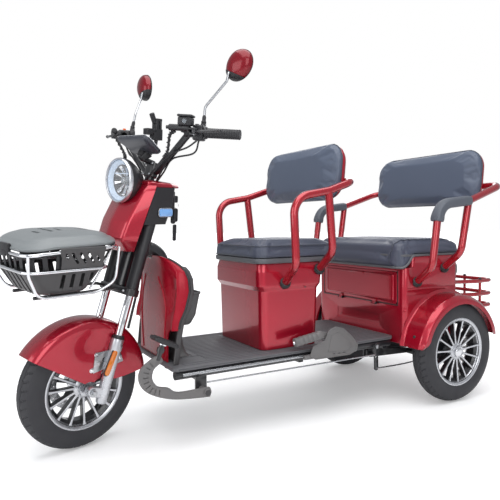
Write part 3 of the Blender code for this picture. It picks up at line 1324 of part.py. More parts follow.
def front_seat_box_mesh():
    """Moulded red box with a bulged upper band, tube holes and hinge cheeks."""
    shell = box_shell(FRONT_BOX_LEVELS, BOX_WALL, 0.030, BOX_WALL)
    shell = cut(shell, *arm_tubes(FRONT_POST_X, FRONT_ARM_MOUTHS, 0.185, FRONT_ARM_POINTS, GAP))
    cheeks = []
    for x in SEAT_HINGE_X:
        cheeks += hinge_cheeks(x, FRONT_SEAT_PIVOT, (0.888, FRONT_SEAT_PIVOT[0] + 0.004),
                               (FRONT_SEAT_PIVOT[1] - 0.004, FRONT_SEAT_PIVOT[1] + 0.004))
    return union(shell, *cheeks)


def front_seat_base_mesh():
    """Moulded seat base whose knuckles hang on the box's rear wall."""
    low = FRONT_BOX_TOP + GAP
    front, rear = FRONT_SEAT_Y
    outline = rounded_rectangle(FRONT_SEAT_HALF - 0.004, (rear - front) / 2 - 0.004, 0.040, 2,
                                (0, (front + rear) / 2))
    slab = plate(outline, "xy", low, low + SEAT_BASE_THICKNESS)
    root = (FRONT_SEAT_PIVOT[0] + 0.002, low + 0.010)
    knuckles = [hinge_knuckle(x, FRONT_SEAT_PIVOT, root) for x in SEAT_HINGE_X]
    return union(slab, *knuckles)


# Rear body, seat, fenders and rack

REAR_SHELF_Z = 0.3785
REAR_STEP_Y = 1.260
DOOR_HALF_WIDTH = REAR_BODY_HALF_WIDTH - 0.043
DOOR_TOP_MARGIN = 0.0185
DOOR_SPAN = (0.405, REAR_BODY_TOP - DOOR_TOP_MARGIN)
DOOR_THICKNESS = 0.005
DOOR_PIVOT = (REAR_BODY_FRONT - 0.0075, DOOR_SPAN[0] - 0.0075)
REAR_SEAT_PIVOT = (1.2125, 0.5455)
REAR_SEAT_HALF = REAR_BODY_HALF_WIDTH + 0.005
REAR_SEAT_REAR = 1.560
FENDER_OUTER_X = REAR_BODY_HALF_WIDTH + 0.1055


def rear_body_mesh():
    """Moulded red body: open below for the axle, stepped top, shelf, door opening and recesses."""
    front, rear, half = REAR_BODY_FRONT, REAR_BODY_REAR, REAR_BODY_HALF_WIDTH
    levels = ((REAR_BODY_BOTTOM, half, front, rear), (REAR_BODY_TOP, half, front, rear))
    lower = box_shell(levels, BOX_WALL, 0.022)
    upper_levels = ((REAR_BODY_TOP - 0.012, half, REAR_STEP_Y, rear),
                    (REAR_BODY_TOP + REAR_STEP, half, REAR_STEP_Y, rear))
    upper = box_shell(upper_levels, BOX_WALL, 0.022)
    wall = BOX_WALL
    shelf = box((-half + wall / 2, half - wall / 2), (front + wall / 2, rear - wall / 2),
                (REAR_SHELF_Z, REAR_SHELF_Z + wall))
    body = union(lower, upper, shelf)
    opening = box((-DOOR_HALF_WIDTH - 0.0012, DOOR_HALF_WIDTH + 0.0012), (front - 0.01, front + 0.006),
                  (DOOR_SPAN[0] - 0.0012, DOOR_SPAN[1] + 0.0012))
    slot = box((-0.120, 0.120), (front - 0.01, front + 0.002), (0.300, 0.352), 0.0)
    recesses = [box((s * half - 0.0018, s * half + 0.0018), (1.330, 1.505), (0.505, 0.545))
                for s in (1, -1)]
    body = cut(body, opening, slot, *recesses)
    body = cut(body, *arm_tubes(REAR_POST_X, REAR_ARM_MOUTHS, half, REAR_ARM_POINTS, GAP))
    cheeks = []
    for x in SEAT_HINGE_X:
        cheeks += hinge_cheeks(x, REAR_SEAT_PIVOT, (REAR_SEAT_PIVOT[0] - 0.004, front + 0.002),
                               (REAR_SEAT_PIVOT[1] - 0.003, REAR_SEAT_PIVOT[1] + 0.003))
        cheeks += hinge_cheeks(x, DOOR_PIVOT, (DOOR_PIVOT[0] - 0.003, front + 0.002),
                               (DOOR_PIVOT[1] - 0.003, DOOR_PIVOT[1] + 0.003))
    return union(body, *cheeks)


def rear_door_mesh():
    """Drop-down door with a finger lip, its knuckles on the body's front."""
    front = REAR_BODY_FRONT
    low, high = DOOR_SPAN
    outline = rounded_rectangle(DOOR_HALF_WIDTH, (high - low) / 2, 0.012, 2, (0, (low + high) / 2))
    slab = plate(outline, "xz", front - 0.001, front - 0.001 + DOOR_THICKNESS)
    lip = box((-0.045, 0.045), (front - 0.009, front + 0.001), (high - 0.020, high - 0.012), 0.002)
    knuckles = [hinge_knuckle(x, DOOR_PIVOT, (front - 0.0065, low + 0.008)) for x in SEAT_HINGE_X]
    return union(slab, lip, *knuckles)


def rear_seat_base_mesh():
    """Seat base that steps down over the front of the rear body."""
    top = REAR_BODY_TOP + REAR_STEP + GAP
    thick = 0.010
    outline = rounded_rectangle(REAR_SEAT_HALF - 0.006, (REAR_SEAT_REAR - 1.196) / 2 - 0.004, 0.035, 2,
                                (0, (REAR_SEAT_REAR + 1.196) / 2))
    slab = plate(outline, "xy", top, top + thick)
    apron = box((-REAR_SEAT_HALF + 0.035, REAR_SEAT_HALF - 0.035), (1.200, REAR_STEP_Y - 0.004),
                (REAR_BODY_TOP + GAP, top + 0.002))
    root = (REAR_SEAT_PIVOT[0] + 0.001, REAR_BODY_TOP + 0.012)
    knuckles = [hinge_knuckle(x, REAR_SEAT_PIVOT, root) for x in SEAT_HINGE_X]
    return union(slab, apron, *knuckles)


def rear_cushion_mesh():
    """Rear cushion on its base."""
    low = REAR_BODY_TOP + REAR_STEP + 0.010 + 2 * GAP
    return cushion_mesh(REAR_SEAT_HALF, 1.190, REAR_SEAT_REAR, low, 0.054, 0.045)


def rear_fender_mesh(side):
    """Crowned sheet over the wheel, from the body's side to a rolled outer lip."""
    wall, crown = FENDER_WALL, FENDER_CROWN_RADIUS
    inside, outside = REAR_BODY_HALF_WIDTH + GAP, FENDER_OUTER_X
    outer = [(inside, crown - 0.006), (inside + 0.022, crown), (outside - 0.020, crown - 0.0025),
             (outside, crown - 0.018), (outside, crown - 0.036)]
    inner = [(outside - wall, crown - 0.036), (outside - wall, crown - 0.0195),
             (outside - 0.0215, crown - 0.0055), (inside + 0.022, crown - wall),
             (inside, crown - wall - 0.006)]
    hub = Vector((0.0, REAR_AXLE_Y, TYRE_RADIUS))
    steps = 8
    angles = [radians(13 + (171 - 13) * k / steps) for k in range(steps + 1)]
    sheet = loft([fender_section(a, outer + inner, hub) for a in angles])
    return sheet if side > 0 else mirrored(sheet)


def rear_rack_mesh():
    """Three bent hoops behind the body, joined by upright tubes."""
    tube_radius, half, rear = 0.0085, REAR_BODY_HALF_WIDTH, 1.768
    start = REAR_BODY_REAR + GAP
    hoops = []
    inner_half = half - 0.030
    for z in (0.366, 0.418, 0.476):
        route = [(inner_half, start, z), (inner_half, start + 0.03, z), (half, start + 0.115, z),
                 (half, rear, z), (-half, rear, z),
                 (-half, start + 0.115, z), (-inner_half, start + 0.03, z), (-inner_half, start, z)]
        hoops.append(tube(rounded_path(route, (0, 0, 0.04, 0.04, 0, 0), 1), tube_radius, 1))
    web = 0.005
    posts = [box((x - web, x + web), (y - web, y + web), (0.358, 0.484))
             for x, y in ((half, 1.680), (-half, 1.680), (0.130, rear), (-0.130, rear))]
    return union(*hoops, *posts)


def tail_light_mesh(side):
    """An oval lamp on the body's rear face."""
    middle = (side * (REAR_BODY_HALF_WIDTH - 0.044), 0.536)
    loops = []
    for back, inset in ((0.0, 0.0), (0.014, 0.0), (0.022, 0.012)):
        outline = rounded_rectangle(0.030 - inset, 0.038 - inset, 0.0295 - inset, 2, middle)
        loops.append([(x, REAR_BODY_REAR + GAP + back, z) for x, z in outline])
    return loft(loops)


# Rear suspension

AXLE_TUBE_RADIUS = 0.024
BACKPLATE_RADIUS = 0.062


def swing_arm_mesh():
    """Two trailing arms joined behind the pivot, with the shock rods on top."""
    parts = []
    pivot_y, pivot_z = SWING_PIVOT
    for side in (1, -1):
        low, high = 0.1215, 0.1335
        arm = plate([(pivot_y - 0.016, pivot_z - 0.012), (pivot_y, pivot_z - 0.018),
                     (REAR_AXLE_Y - 0.010, TYRE_RADIUS - 0.046),
                     (REAR_AXLE_Y + 0.030, TYRE_RADIUS - 0.040),
                     (REAR_AXLE_Y + 0.030, TYRE_RADIUS - 0.026), (1.400, 0.1815), (1.30, 0.196),
                     (pivot_y, pivot_z + 0.018), (pivot_y - 0.016, pivot_z + 0.012)], "yz", low, high)
        perch = box((0.128, SHOCK_X + 0.016), (SHOCK_Y - 0.016, SHOCK_Y + 0.016), (0.163, 0.1745))
        stem = rod((SHOCK_X, SHOCK_Y, 0.170), (SHOCK_X, SHOCK_Y, 0.325), 0.006, PIN_SIDES)
        coil_seat = rod((SHOCK_X, SHOCK_Y, 0.172), (SHOCK_X, SHOCK_Y, 0.238), 0.016, SMALL_SIDES)
        if side < 0:
            arm, perch, stem, coil_seat = map(mirrored, (arm, perch, stem, coil_seat))
        parts += [arm, perch, stem, coil_seat]
    parts.append(rod((-0.125, 1.300, 0.176), (0.125, 1.300, 0.176), 0.011, PIN_SIDES))
    eye = bore((-0.2, *SWING_PIVOT), (0.2, *SWING_PIVOT), PIVOT_PIN_RADIUS + 0.001, RUNNING_GAP,
               SMALL_SIDES)
    return cut(union(*parts), eye)


def rear_axle_mesh():
    """Axle tube, motor with differential bulge, brake back plates and the stub axles."""
    y, z = REAR_AXLE_Y, TYRE_RADIUS
    wheel_inside = REAR_TRACK_HALF - HUB_HALF_LENGTH
    housing = turned([(0, -wheel_inside + 0.016), (AXLE_TUBE_RADIUS, -wheel_inside + 0.016),
                      (AXLE_TUBE_RADIUS, -0.075), (0.052, -0.055), (0.056, 0.0),
                      (0.052, 0.055), (AXLE_TUBE_RADIUS, 0.075),
                      (AXLE_TUBE_RADIUS, wheel_inside - 0.016), (0, wheel_inside - 0.016)],
                     (0.0, y, z), X, 12)
    motor = rod((-0.030, y - 0.075, z), (0.085, y - 0.075, z), 0.046, 12)
    reach = REAR_TRACK_HALF + 0.020
    axle = rod((-reach, y, z), (reach, y, z), AXLE_RADIUS, SMALL_SIDES, pi / SMALL_SIDES)
    plates = [rod((side * (wheel_inside - 0.017), y, z), (side * (wheel_inside - 0.001), y, z),
                  BACKPLATE_RADIUS, 12) for side in (1, -1)]
    return union(housing, motor, axle, *plates)


def battery_mesh():
    """Battery pack that stands on the seat box's floor, with a carrying ridge."""
    floor = DECK_TOP + GAP + BOX_WALL + GAP
    case = box((-0.130, 0.130), (0.650, 0.840), (floor, floor + 0.180), 0.006)
    ridge = box((-0.050, 0.050), (0.730, 0.760), (floor + 0.178, floor + 0.200))
    return union(case, ridge)


def controller_mesh():
    """Finned motor controller under the rear shelf."""
    top = REAR_SHELF_Z - GAP
    block = box((-0.060, 0.060), (1.425, 1.490), (top - 0.035, top))
    grooves = [box((x - 0.003, x + 0.003), (1.41, 1.51), (top - 0.05, top - 0.022))
               for x in (-0.045, -0.027, -0.009, 0.009, 0.027, 0.045)]
    return cut(block, grouped(*grooves))


def hose(points, radius):
    """A hose through hand-chosen points, smoothed by rounding each corner."""
    return tube(rounded_path(points, [0.030] * (len(points) - 2), 1), radius, 1)


def brake_hoses_mesh():
    """The wrapped cables that run from both lever brackets down into the panel's top cap."""
    drop = [Vector((0.0, 0.231, 0.945)), Vector((0.0, 0.2285, PANEL_CAP[1] + GAP))]
    halves = []
    for side in (1, -1):
        leave = [bar_place((-0.060 - GAP - run, -0.036, 0.010), side) for run in (0.0, 0.028)]
        halves.append(hose(leave + [Vector((side * 0.100, 0.222, 0.975))] + drop, 0.0042))
    return union(*halves)


# Assembly

def build():
    """Makes every piece, hangs it on its body's empty and centres the whole."""
    vehicle = empty("vehicle", (0, 0, 0))
    turn = Matrix.Rotation(REST_STEER, 4, STEER_AXIS)
    steering = empty("steering", STEER_FOOT, vehicle, turn)
    fork = empty("fork_slider", STEER_FOOT, steering)
    front_wheel = empty("front_wheel", FRONT_HUB, fork)
    rear_hub = Vector((REAR_TRACK_HALF, REAR_AXLE_Y, TYRE_RADIUS))
    swing = empty("rear_suspension", (0, *SWING_PIVOT), vehicle)

    add("main_frame", main_frame_mesh(), "black_paint", vehicle)
    add("floor_deck", floor_deck_mesh(), "grey_plastic", vehicle)
    add("leg_shield", shield_mesh(), "red_paint", vehicle)
    add("leg_shield_liner", liner_mesh(), "black_plastic", vehicle)
    add("front_seat_box", front_seat_box_mesh(), "red_paint", vehicle)
    add("front_armrest_frame", armrest_frame_mesh(FRONT_POST_X, FRONT_ARM_MOUTHS, 0.185,
                                                  FRONT_ARM_POINTS, FRONT_PAD), "red_paint", vehicle)
    add("front_backrest_pad", pad_mesh(**FRONT_PAD), "seat_leather", vehicle)
    add("rear_body", rear_body_mesh(), "red_paint", vehicle)
    rear_arms = armrest_frame_mesh(REAR_POST_X, REAR_ARM_MOUTHS, REAR_BODY_HALF_WIDTH,
                                   REAR_ARM_POINTS, REAR_PAD)
    add("rear_armrest_frame", union(rear_arms, *arm_pad_meshes()), "red_paint", vehicle)
    add("rear_backrest_pad", pad_mesh(**REAR_PAD), "seat_leather", vehicle)
    add("rear_fender_left", rear_fender_mesh(1), "red_paint", vehicle)
    add("rear_fender_right", rear_fender_mesh(-1), "red_paint", vehicle)
    add("rear_rack", rear_rack_mesh(), "red_paint", vehicle)
    add("tail_light_left", tail_light_mesh(1), "red_lens", vehicle)
    add("tail_light_right", tail_light_mesh(-1), "red_lens", vehicle)
    add("battery_pack", battery_mesh(), "battery_case", vehicle)
    add("motor_controller", controller_mesh(), "cast_aluminium", vehicle)
    add("parking_brake_cover", parking_cover_mesh(), "grey_plastic", vehicle)

    front_seat_pivot = (0, *FRONT_SEAT_PIVOT)
    add("front_seat_base", front_seat_base_mesh(), "black_plastic", vehicle, front_seat_pivot)
    cushion_low = FRONT_BOX_TOP + SEAT_BASE_THICKNESS + 2 * GAP
    cushion = cushion_mesh(FRONT_SEAT_HALF, *FRONT_SEAT_Y, cushion_low, CUSHION_THICKNESS, 0.045)
    add("front_seat_cushion", cushion, "seat_leather", vehicle, front_seat_pivot)
    rear_seat_pivot = (0, *REAR_SEAT_PIVOT)
    add("rear_seat_base", rear_seat_base_mesh(), "black_plastic", vehicle, rear_seat_pivot)
    add("rear_seat_cushion", rear_cushion_mesh(), "seat_leather", vehicle, rear_seat_pivot)
    add("rear_box_door", rear_door_mesh(), "red_paint", vehicle, (0, *DOOR_PIVOT))

    lever_pivot = (LEVER_X[0], *LEVER_PIVOT_YZ)
    add("parking_brake_lever", parking_lever_mesh(), "grip_rubber", vehicle, lever_pivot)
    add("parking_brake_button", parking_button_mesh(), "chrome", vehicle, PARKING_GRIP_END)
    add("brake_pedal", brake_pedal_mesh(), "black_paint", vehicle, (PEDAL_X[0], *PEDAL_PIVOT))
    add("bell_crank", bell_crank_mesh(), "black_paint", vehicle, (CRANK_X[0], *CRANK_PIVOT))
    add("brake_rod", brake_rod_mesh(), "cast_aluminium", vehicle)

    add("swing_arm", swing_arm_mesh(), "black_paint", swing)
    add("rear_axle", rear_axle_mesh(), "black_paint", swing)
    for side, name in ((1, "left"), (-1, "right")):
        wheel = empty("rear_wheel_" + name, (side * rear_hub.x, rear_hub.y, rear_hub.z), swing)
        tyre, rim = tyre_mesh(rear_hub), rim_mesh(rear_hub, False)
        if side < 0:
            tyre, rim = mirrored(tyre), mirrored(rim)
        add("rear_tyre_" + name, tyre, "tyre_rubber", wheel)
        add("rear_rim_" + name, rim, "cast_aluminium", wheel)

    add("fork_crown", fork_crown_mesh(), "black_paint", steering)
    add("handlebar", tube(bar_path(), BAR_RADIUS, 2), "black_paint", steering)
    add("front_panel", front_panel_mesh(), "red_paint", steering)
    add("panel_trim", panel_trim_mesh(), "black_plastic", steering)
    add("headlight_bowl", light_bowl_mesh(), "black_plastic", steering)
    add("headlight_lens", light_lens_mesh(), "clear_glass", steering)
    add("display", display_mesh(), "black_plastic", steering)
    add("left_controls", controls_mesh(1), "black_plastic", steering)
    add("right_controls", controls_mesh(-1), "black_plastic", steering)
    add("left_grip", grip_mesh(1), "grip_rubber", steering)
    add("throttle_grip", grip_mesh(-1), "grip_rubber", steering,
        bar_place((GRIP_START, 0, 0), -1))
    add("left_brake_lever", lever_mesh(1), "black_paint", steering, bar_place(LEVER_PIVOT, 1))
    add("right_brake_lever", lever_mesh(-1), "black_paint", steering, bar_place(LEVER_PIVOT, -1))
    add("mirror_left", mirror_mesh(1), "red_paint", steering, bar_place(MIRROR_FOOT, 1))
    add("mirror_right", mirror_mesh(-1), "red_paint", steering, bar_place(MIRROR_FOOT, -1))
    add("ignition_key", ignition_key_mesh(), "chrome", steering, LOCK_PIVOT)
    button_foot = BUTTON_PLACE - Z * BUTTON_DEPTH
    button = turned([(0, 0), (BUTTON_RADIUS, 0), (BUTTON_RADIUS, 0.0055), (0.004, 0.0070),
                     (0, 0.0070)], button_foot, Z, SMALL_SIDES)
    add("start_button", at_bar(button, -1), "orange_plastic", steering, bar_place(BUTTON_PLACE, -1))
    add("basket_frame", basket_frame_mesh(), "chrome", steering)
    add("basket_liner", basket_liner_mesh(), "grey_plastic", steering)
    add("basket_lid", basket_lid_mesh(), "lid_plastic", steering, (0, *LID_PIVOT))
    add("brake_hoses", brake_hoses_mesh(), "black_plastic", steering)
    add("fork_legs", fork_legs_mesh(), "black_paint", fork)
    add("front_fender", front_fender_mesh(), "red_paint", fork)
    add("front_tyre", tyre_mesh(FRONT_HUB), "tyre_rubber", front_wheel)
    add("front_rim", rim_mesh(FRONT_HUB, True), "cast_aluminium", front_wheel)
    add("brake_disc", brake_disc_mesh(), "cast_aluminium", front_wheel)
    return vehicle


def centre(vehicle):
    """Moves the vehicle so that it stands on z = 0 with its box centred fore and aft."""
    bpy.context.view_layer.update()
    corners = [piece.matrix_world @ vertex.co for piece in bpy.data.objects
               if piece.type == "MESH" for vertex in piece.data.vertices]
    low_y, high_y = min(c.y for c in corners), max(c.y for c in corners)
    vehicle.location = (0.0, -(low_y + high_y) / 2, -min(c.z for c in corners))


for old in list(bpy.data.objects):
    bpy.data.objects.remove(old)
centre(build())
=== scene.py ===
import json
from math import atan2, cos, exp, pi, radians, sin, tan

import bmesh
import bpy
from mathutils import Matrix, Vector
from mathutils.bvhtree import BVHTree


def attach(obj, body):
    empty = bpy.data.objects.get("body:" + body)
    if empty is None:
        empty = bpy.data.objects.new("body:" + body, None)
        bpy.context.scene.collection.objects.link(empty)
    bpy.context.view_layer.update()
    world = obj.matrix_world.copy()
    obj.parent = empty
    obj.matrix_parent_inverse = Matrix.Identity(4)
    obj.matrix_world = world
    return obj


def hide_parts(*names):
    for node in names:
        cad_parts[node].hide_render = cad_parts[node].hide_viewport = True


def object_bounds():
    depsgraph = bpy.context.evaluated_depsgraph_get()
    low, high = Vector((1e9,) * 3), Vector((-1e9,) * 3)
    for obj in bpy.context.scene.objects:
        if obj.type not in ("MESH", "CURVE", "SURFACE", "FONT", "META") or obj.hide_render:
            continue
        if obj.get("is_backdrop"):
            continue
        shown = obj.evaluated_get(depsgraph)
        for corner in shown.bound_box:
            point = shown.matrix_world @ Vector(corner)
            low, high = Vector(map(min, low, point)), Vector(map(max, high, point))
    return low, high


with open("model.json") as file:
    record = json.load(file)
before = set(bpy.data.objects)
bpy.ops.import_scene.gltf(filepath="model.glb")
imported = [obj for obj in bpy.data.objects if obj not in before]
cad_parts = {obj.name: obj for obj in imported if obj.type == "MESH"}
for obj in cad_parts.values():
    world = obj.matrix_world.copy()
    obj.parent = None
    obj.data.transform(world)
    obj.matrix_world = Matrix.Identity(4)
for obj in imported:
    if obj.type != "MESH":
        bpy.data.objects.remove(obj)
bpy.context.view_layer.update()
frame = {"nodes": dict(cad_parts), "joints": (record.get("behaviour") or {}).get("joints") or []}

# Pieces are drawn in the maker's layout (front axle at y 0, steering straight) and then moved
layout = {"wheelbase": 1.44, "tyreRadius": 0.2075, "rake": radians(17.0),
    "restSteer": radians(17.5), "axleLead": 0.047, "rearTrack": 0.332}
steeredBodies = ("steering", "fork", "front_wheel", "throttle", "button",
    "key", "lid", "left_lever", "right_lever", "left_mirror", "right_mirror")
sides = ((1, "Left"), (-1, "Right"))
origin, xAxis, yAxis, zAxis = Vector(), Vector((1, 0, 0)), Vector((0, 1, 0)), Vector((0, 0, 1))
steerAxis = Vector((0, sin(layout["rake"]), cos(layout["rake"])))
steerForward = Vector((0, -cos(layout["rake"]), sin(layout["rake"])))
frontHub = Vector((0, 0, layout["tyreRadius"]))
rearHub = Vector((layout["rearTrack"], layout["wheelbase"], layout["tyreRadius"]))
steerFoot = frontHub - steerForward * layout["axleLead"]
turnJoint = next(j for j in frame["joints"] if j["name"] == "steering_turn")
straight = Matrix.Translation(Vector(turnJoint["pos_m"]) - steerFoot)
steered = (Matrix.Translation(turnJoint["pos_m"])
    @ Matrix.Rotation(layout["restSteer"], 4, steerAxis) @ Matrix.Translation(-steerFoot))
detail = 1.0
scene = bpy.context.scene


# Small modelling helpers; everything is in metres, and mm turns a table of millimetres into metres

def mm(*rows):
    return [tuple(round(value / 1000, 7) for value in row) for row in rows]


def linked(name, data):
    obj = bpy.data.objects.new(name, data)
    scene.collection.objects.link(obj)
    return obj


def closedMesh(bm):
    bmesh.ops.remove_doubles(bm, verts=bm.verts, dist=1e-6)
    bmesh.ops.recalc_face_normals(bm, faces=bm.faces)
    if bm.calc_volume(signed=True) < 0:
        bmesh.ops.reverse_faces(bm, faces=bm.faces)
    return meshOf(bm)


def meshOf(bm):
    mesh = bpy.data.meshes.new("shape")
    bm.to_mesh(mesh)
    bm.free()
    return mesh


def opened(*meshes):
    bm = bmesh.new()
    for mesh in meshes:
        bm.from_mesh(mesh)
    return bm


def block(x, y, z, bevel=0.0, steps=2):
    bm = bmesh.new()
    bmesh.ops.create_cube(bm, size=1.0)
    bmesh.ops.scale(bm, vec=(x[1] - x[0], y[1] - y[0], z[1] - z[0]), verts=bm.verts)
    middle = ((x[0] + x[1]) / 2, (y[0] + y[1]) / 2, (z[0] + z[1]) / 2)
    bmesh.ops.translate(bm, vec=middle, verts=bm.verts)
    if bevel:
        bmesh.ops.bevel(bm, geom=bm.edges, offset=bevel, segments=steps, profile=0.5, affect="EDGES")
    return closedMesh(bm)


def turned(profile, at, axis, count=48, ring=False):
    bm = bmesh.new()
    axis = Vector(axis).normalized()
    side = axis.cross(zAxis if abs(axis.z) < 0.8 else xAxis).normalized()
    line = [bm.verts.new(Vector(at) + side * r + axis * h) for r, h in profile]
    follow = line[1:] + line[:1] if ring else line[1:]
    edges = [bm.edges.new(pair) for pair in zip(line, follow)]
    bmesh.ops.spin(bm, geom=line + edges, cent=at, axis=axis, angle=2 * pi, steps=count)
    bmesh.ops.remove_doubles(bm, verts=bm.verts, dist=1e-5)
    rims = [edge for edge in bm.edges if edge.is_boundary]
    if rims:
        bmesh.ops.holes_fill(bm, edges=rims, sides=0)
    return closedMesh(bm)


def rod(first, last, radius, count=24, edge=0.0):
    first, last = Vector(first), Vector(last)
    length = (last - first).length
    profile = [(0, 0), (radius, 0), (radius, length), (0, length)]
    if edge:
        profile[1:3] = [(radius - edge, 0), (radius, edge), (radius, length - edge), (radius - edge, length)]
    return turned(profile, first, last - first, count)


def roundedPath(points, radii, steps=8):
    points = [Vector(p) for p in points]
    path = [points[0]]
    for before, corner, after, radius in zip(points, points[1:], points[2:], radii):
        if not radius:
            path.append(corner)
            continue
        back, ahead = (before - corner).normalized(), (after - corner).normalized()
        half = back.angle(ahead) / 2
        reach = radius / tan(half)
        centre = corner + (back + ahead).normalized() * radius / sin(half)
        first, last = corner + back * reach, corner + ahead * reach
        for step in range(steps + 1):
            arm = (first - centre).normalized().slerp((last - centre).normalized(), step / steps)
            path.append(centre + arm * radius)
    path.append(points[-1])
    return path


def softPath(points, steps=10):
    points = [Vector(p) for p in points]
    padded = [points[0] * 2 - points[1]] + points + [points[-1] * 2 - points[-2]]
    out = []
    for a, b, c, d in zip(padded, padded[1:], padded[2:], padded[3:]):
        for k in range(steps):
            t = k / steps
            out.append(0.5 * (b * 2 + (c - a) * t + (a * 2 - b * 5 + c * 4 - d)
                * t * t + (b * 3 - a - c * 3 + d) * t ** 3))
    return out + [points[-1]]


def loft(loops, closed=False):
    bm = bmesh.new()
    rows = [[bm.verts.new(p) for p in loop] for loop in loops]
    following = rows[1:] + rows[:1] if closed else rows[1:]
    for low, high in zip(rows, following):
        for i in range(len(low)):
            j = (i + 1) % len(low)
            bm.faces.new((low[i], low[j], high[j], high[i]))
    if not closed:
        bm.faces.new(rows[0])
        bm.faces.new(rows[-1])
    return closedMesh(bm)


def plate(outline, plane, low, high, edge=0.0):
    place = {"yz": lambda a, b, d: (d, a, b), "xz": lambda a, b,
        d: (a, d, b), "xy": lambda a, b, d: (a, b, d)}[plane]
    mesh = loft([[place(a, b, depth) for a, b in outline] for depth in (low, high)])
    if edge:
        bm = opened(mesh)
        rim = [e for e in bm.edges if len(e.link_faces) == 2 and e.calc_face_angle(0) > radians(60)]
        bmesh.ops.bevel(bm, geom=rim, offset=edge, segments=2, profile=0.5, affect="EDGES")
        mesh = closedMesh(bm)
    return mesh


def roundedRectangle(halfA, halfB, radius, steps=8, centre=(0.0, 0.0)):
    points = []
    for sa, sb, quarter in ((1, 1, 0), (-1, 1, 1), (-1, -1, 2), (1, -1, 3)):
        for step in range(steps + 1):
            angle = (quarter + step / steps) * pi / 2
            points.append((centre[0] + sa * (halfA - radius) + radius * cos(angle),
                centre[1] + sb * (halfB - radius) + radius * sin(angle)))
    return points


def level(outline, z):
    return [Vector((x, y, z)) for x, y in outline]


def loopAt(half, front, rear, corner, z, inset=0.0, steps=10):
    return level(roundedRectangle(half - inset, (rear - front) / 2 - inset,
        corner, steps, (0, (front + rear) / 2)), z)


def capsule(first, last, radius, steps=8):
    run = atan2(last[1] - first[1], last[0] - first[0])
    points = []
    for centre, start in ((last, run - pi / 2), (first, run + pi / 2)):
        for step in range(steps + 1):
            angle = start + pi * step / steps
            points.append((centre[0] + radius * cos(angle), centre[1] + radius * sin(angle)))
    return points


def mirrored(mesh):
    bm = opened(mesh)
    bmesh.ops.scale(bm, vec=(-1, 1, 1), verts=bm.verts)
    bmesh.ops.reverse_faces(bm, faces=bm.faces)
    return closedMesh(bm)


def onSide(mesh, side):
    return mesh if side > 0 else mirrored(mesh)


def other(point):
    return Vector((-point[0], point[1], point[2]))


def toSide(point, side):
    return point if side > 0 else other(point)


def span(low, high, side):
    return (low, high) if side > 0 else (-high, -low)


def joined(*meshes):
    return meshOf(opened(*meshes))


def settled(obj):
    bpy.context.view_layer.update()
    return bpy.data.meshes.new_from_object(obj.evaluated_get(bpy.context.evaluated_depsgraph_get()))


def combined(mesh, others, operation):
    base = linked("base", mesh)
    tools = [linked("tool", shape) for shape in others]
    for tool in tools:
        modifier = base.modifiers.new("shape", "BOOLEAN")
        modifier.operation = operation
        modifier.object = tool
    bm = opened(settled(base))
    for item in [base] + tools:
        bpy.data.objects.remove(item)
    bmesh.ops.dissolve_degenerate(bm, edges=bm.edges, dist=1e-6)
    return closedMesh(bm)


def union(mesh, *others):
    return combined(mesh, others, "UNION")


def cut(mesh, *others):
    return combined(mesh, others, "DIFFERENCE")


def onAxis(along, across=0.0, ahead=0.0):
    return steerFoot + steerAxis * along + xAxis * across + steerForward * ahead


def facing(direction):
    return Vector(direction).to_track_quat("Z", "Y").to_matrix()


def easing(value, low, high):
    t = min(1.0, max(0.0, (value - low) / (high - low)))
    return t * t * (3 - 2 * t)


# Every finished piece comes through here: placed in the row frame, then tied to its body
def piece(name, mesh, material, body, replaces=(), sharp=38.0, bevel=0.0, subdivide=0):
    mesh.transform(steered if body in steeredBodies else straight)
    mesh.materials.clear()
    mesh.materials.append(material)
    obj = linked(name, mesh)
    if bevel:
        rounding = obj.modifiers.new("rounded edges", "BEVEL")
        rounding.width = bevel
        rounding.segments = 2
        rounding.limit_method = "ANGLE"
        rounding.angle_limit = radians(40)
        rounding.harden_normals = False
    if subdivide:
        finer = obj.modifiers.new("finer", "SUBSURF")
        finer.levels = finer.render_levels = subdivide
    mesh.shade_smooth()
    if not subdivide:
        mesh.set_sharp_from_angle(angle=radians(sharp))
    if bevel:
        final = settled(obj)
        obj.modifiers.remove(rounding)
        obj.data = final
        final.shade_smooth()
        final.set_sharp_from_angle(angle=radians(sharp))
    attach(obj, body)
    if replaces:
        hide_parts(*replaces)
    return obj


# Node helpers, then the Geometry Nodes trees

def added(tree, kind, **settings):
    node = tree.nodes.new(kind)
    for name, value in settings.items():
        setattr(node, name, value)
    return node


def wired(tree, *runs):
    for source, output, target, socket in runs:
        tree.links.new(source.outputs[output], target.inputs[socket])


def preset(node, **values):
    for label, value in values.items():
        node.inputs[label.replace("_", " ")].default_value = value


def newTree(name, sockets):
    tree = bpy.data.node_groups.new(name, "GeometryNodeTree")
    tree.interface.new_socket(name="Geometry", in_out="INPUT", socket_type="NodeSocketGeometry")
    for label, kind, value in sockets + (("Material", "NodeSocketMaterial", None),):
        item = tree.interface.new_socket(name=label, in_out="INPUT", socket_type=kind)
        if value is not None:
            item.default_value = value
    tree.interface.new_socket(name="Geometry", in_out="OUTPUT", socket_type="NodeSocketGeometry")
    return tree, tree.nodes.new("NodeGroupInput")


def finishedTree(tree, given, last, output):
    realize = tree.nodes.new("GeometryNodeRealizeInstances")
    paint = tree.nodes.new("GeometryNodeSetMaterial")
    wired(tree, (last, output, realize, "Geometry"), (realize, "Geometry", paint, "Geometry"), (given,
        "Material", paint, "Material"), (paint, "Geometry", tree.nodes.new("NodeGroupOutput"), "Geometry"))
    return tree


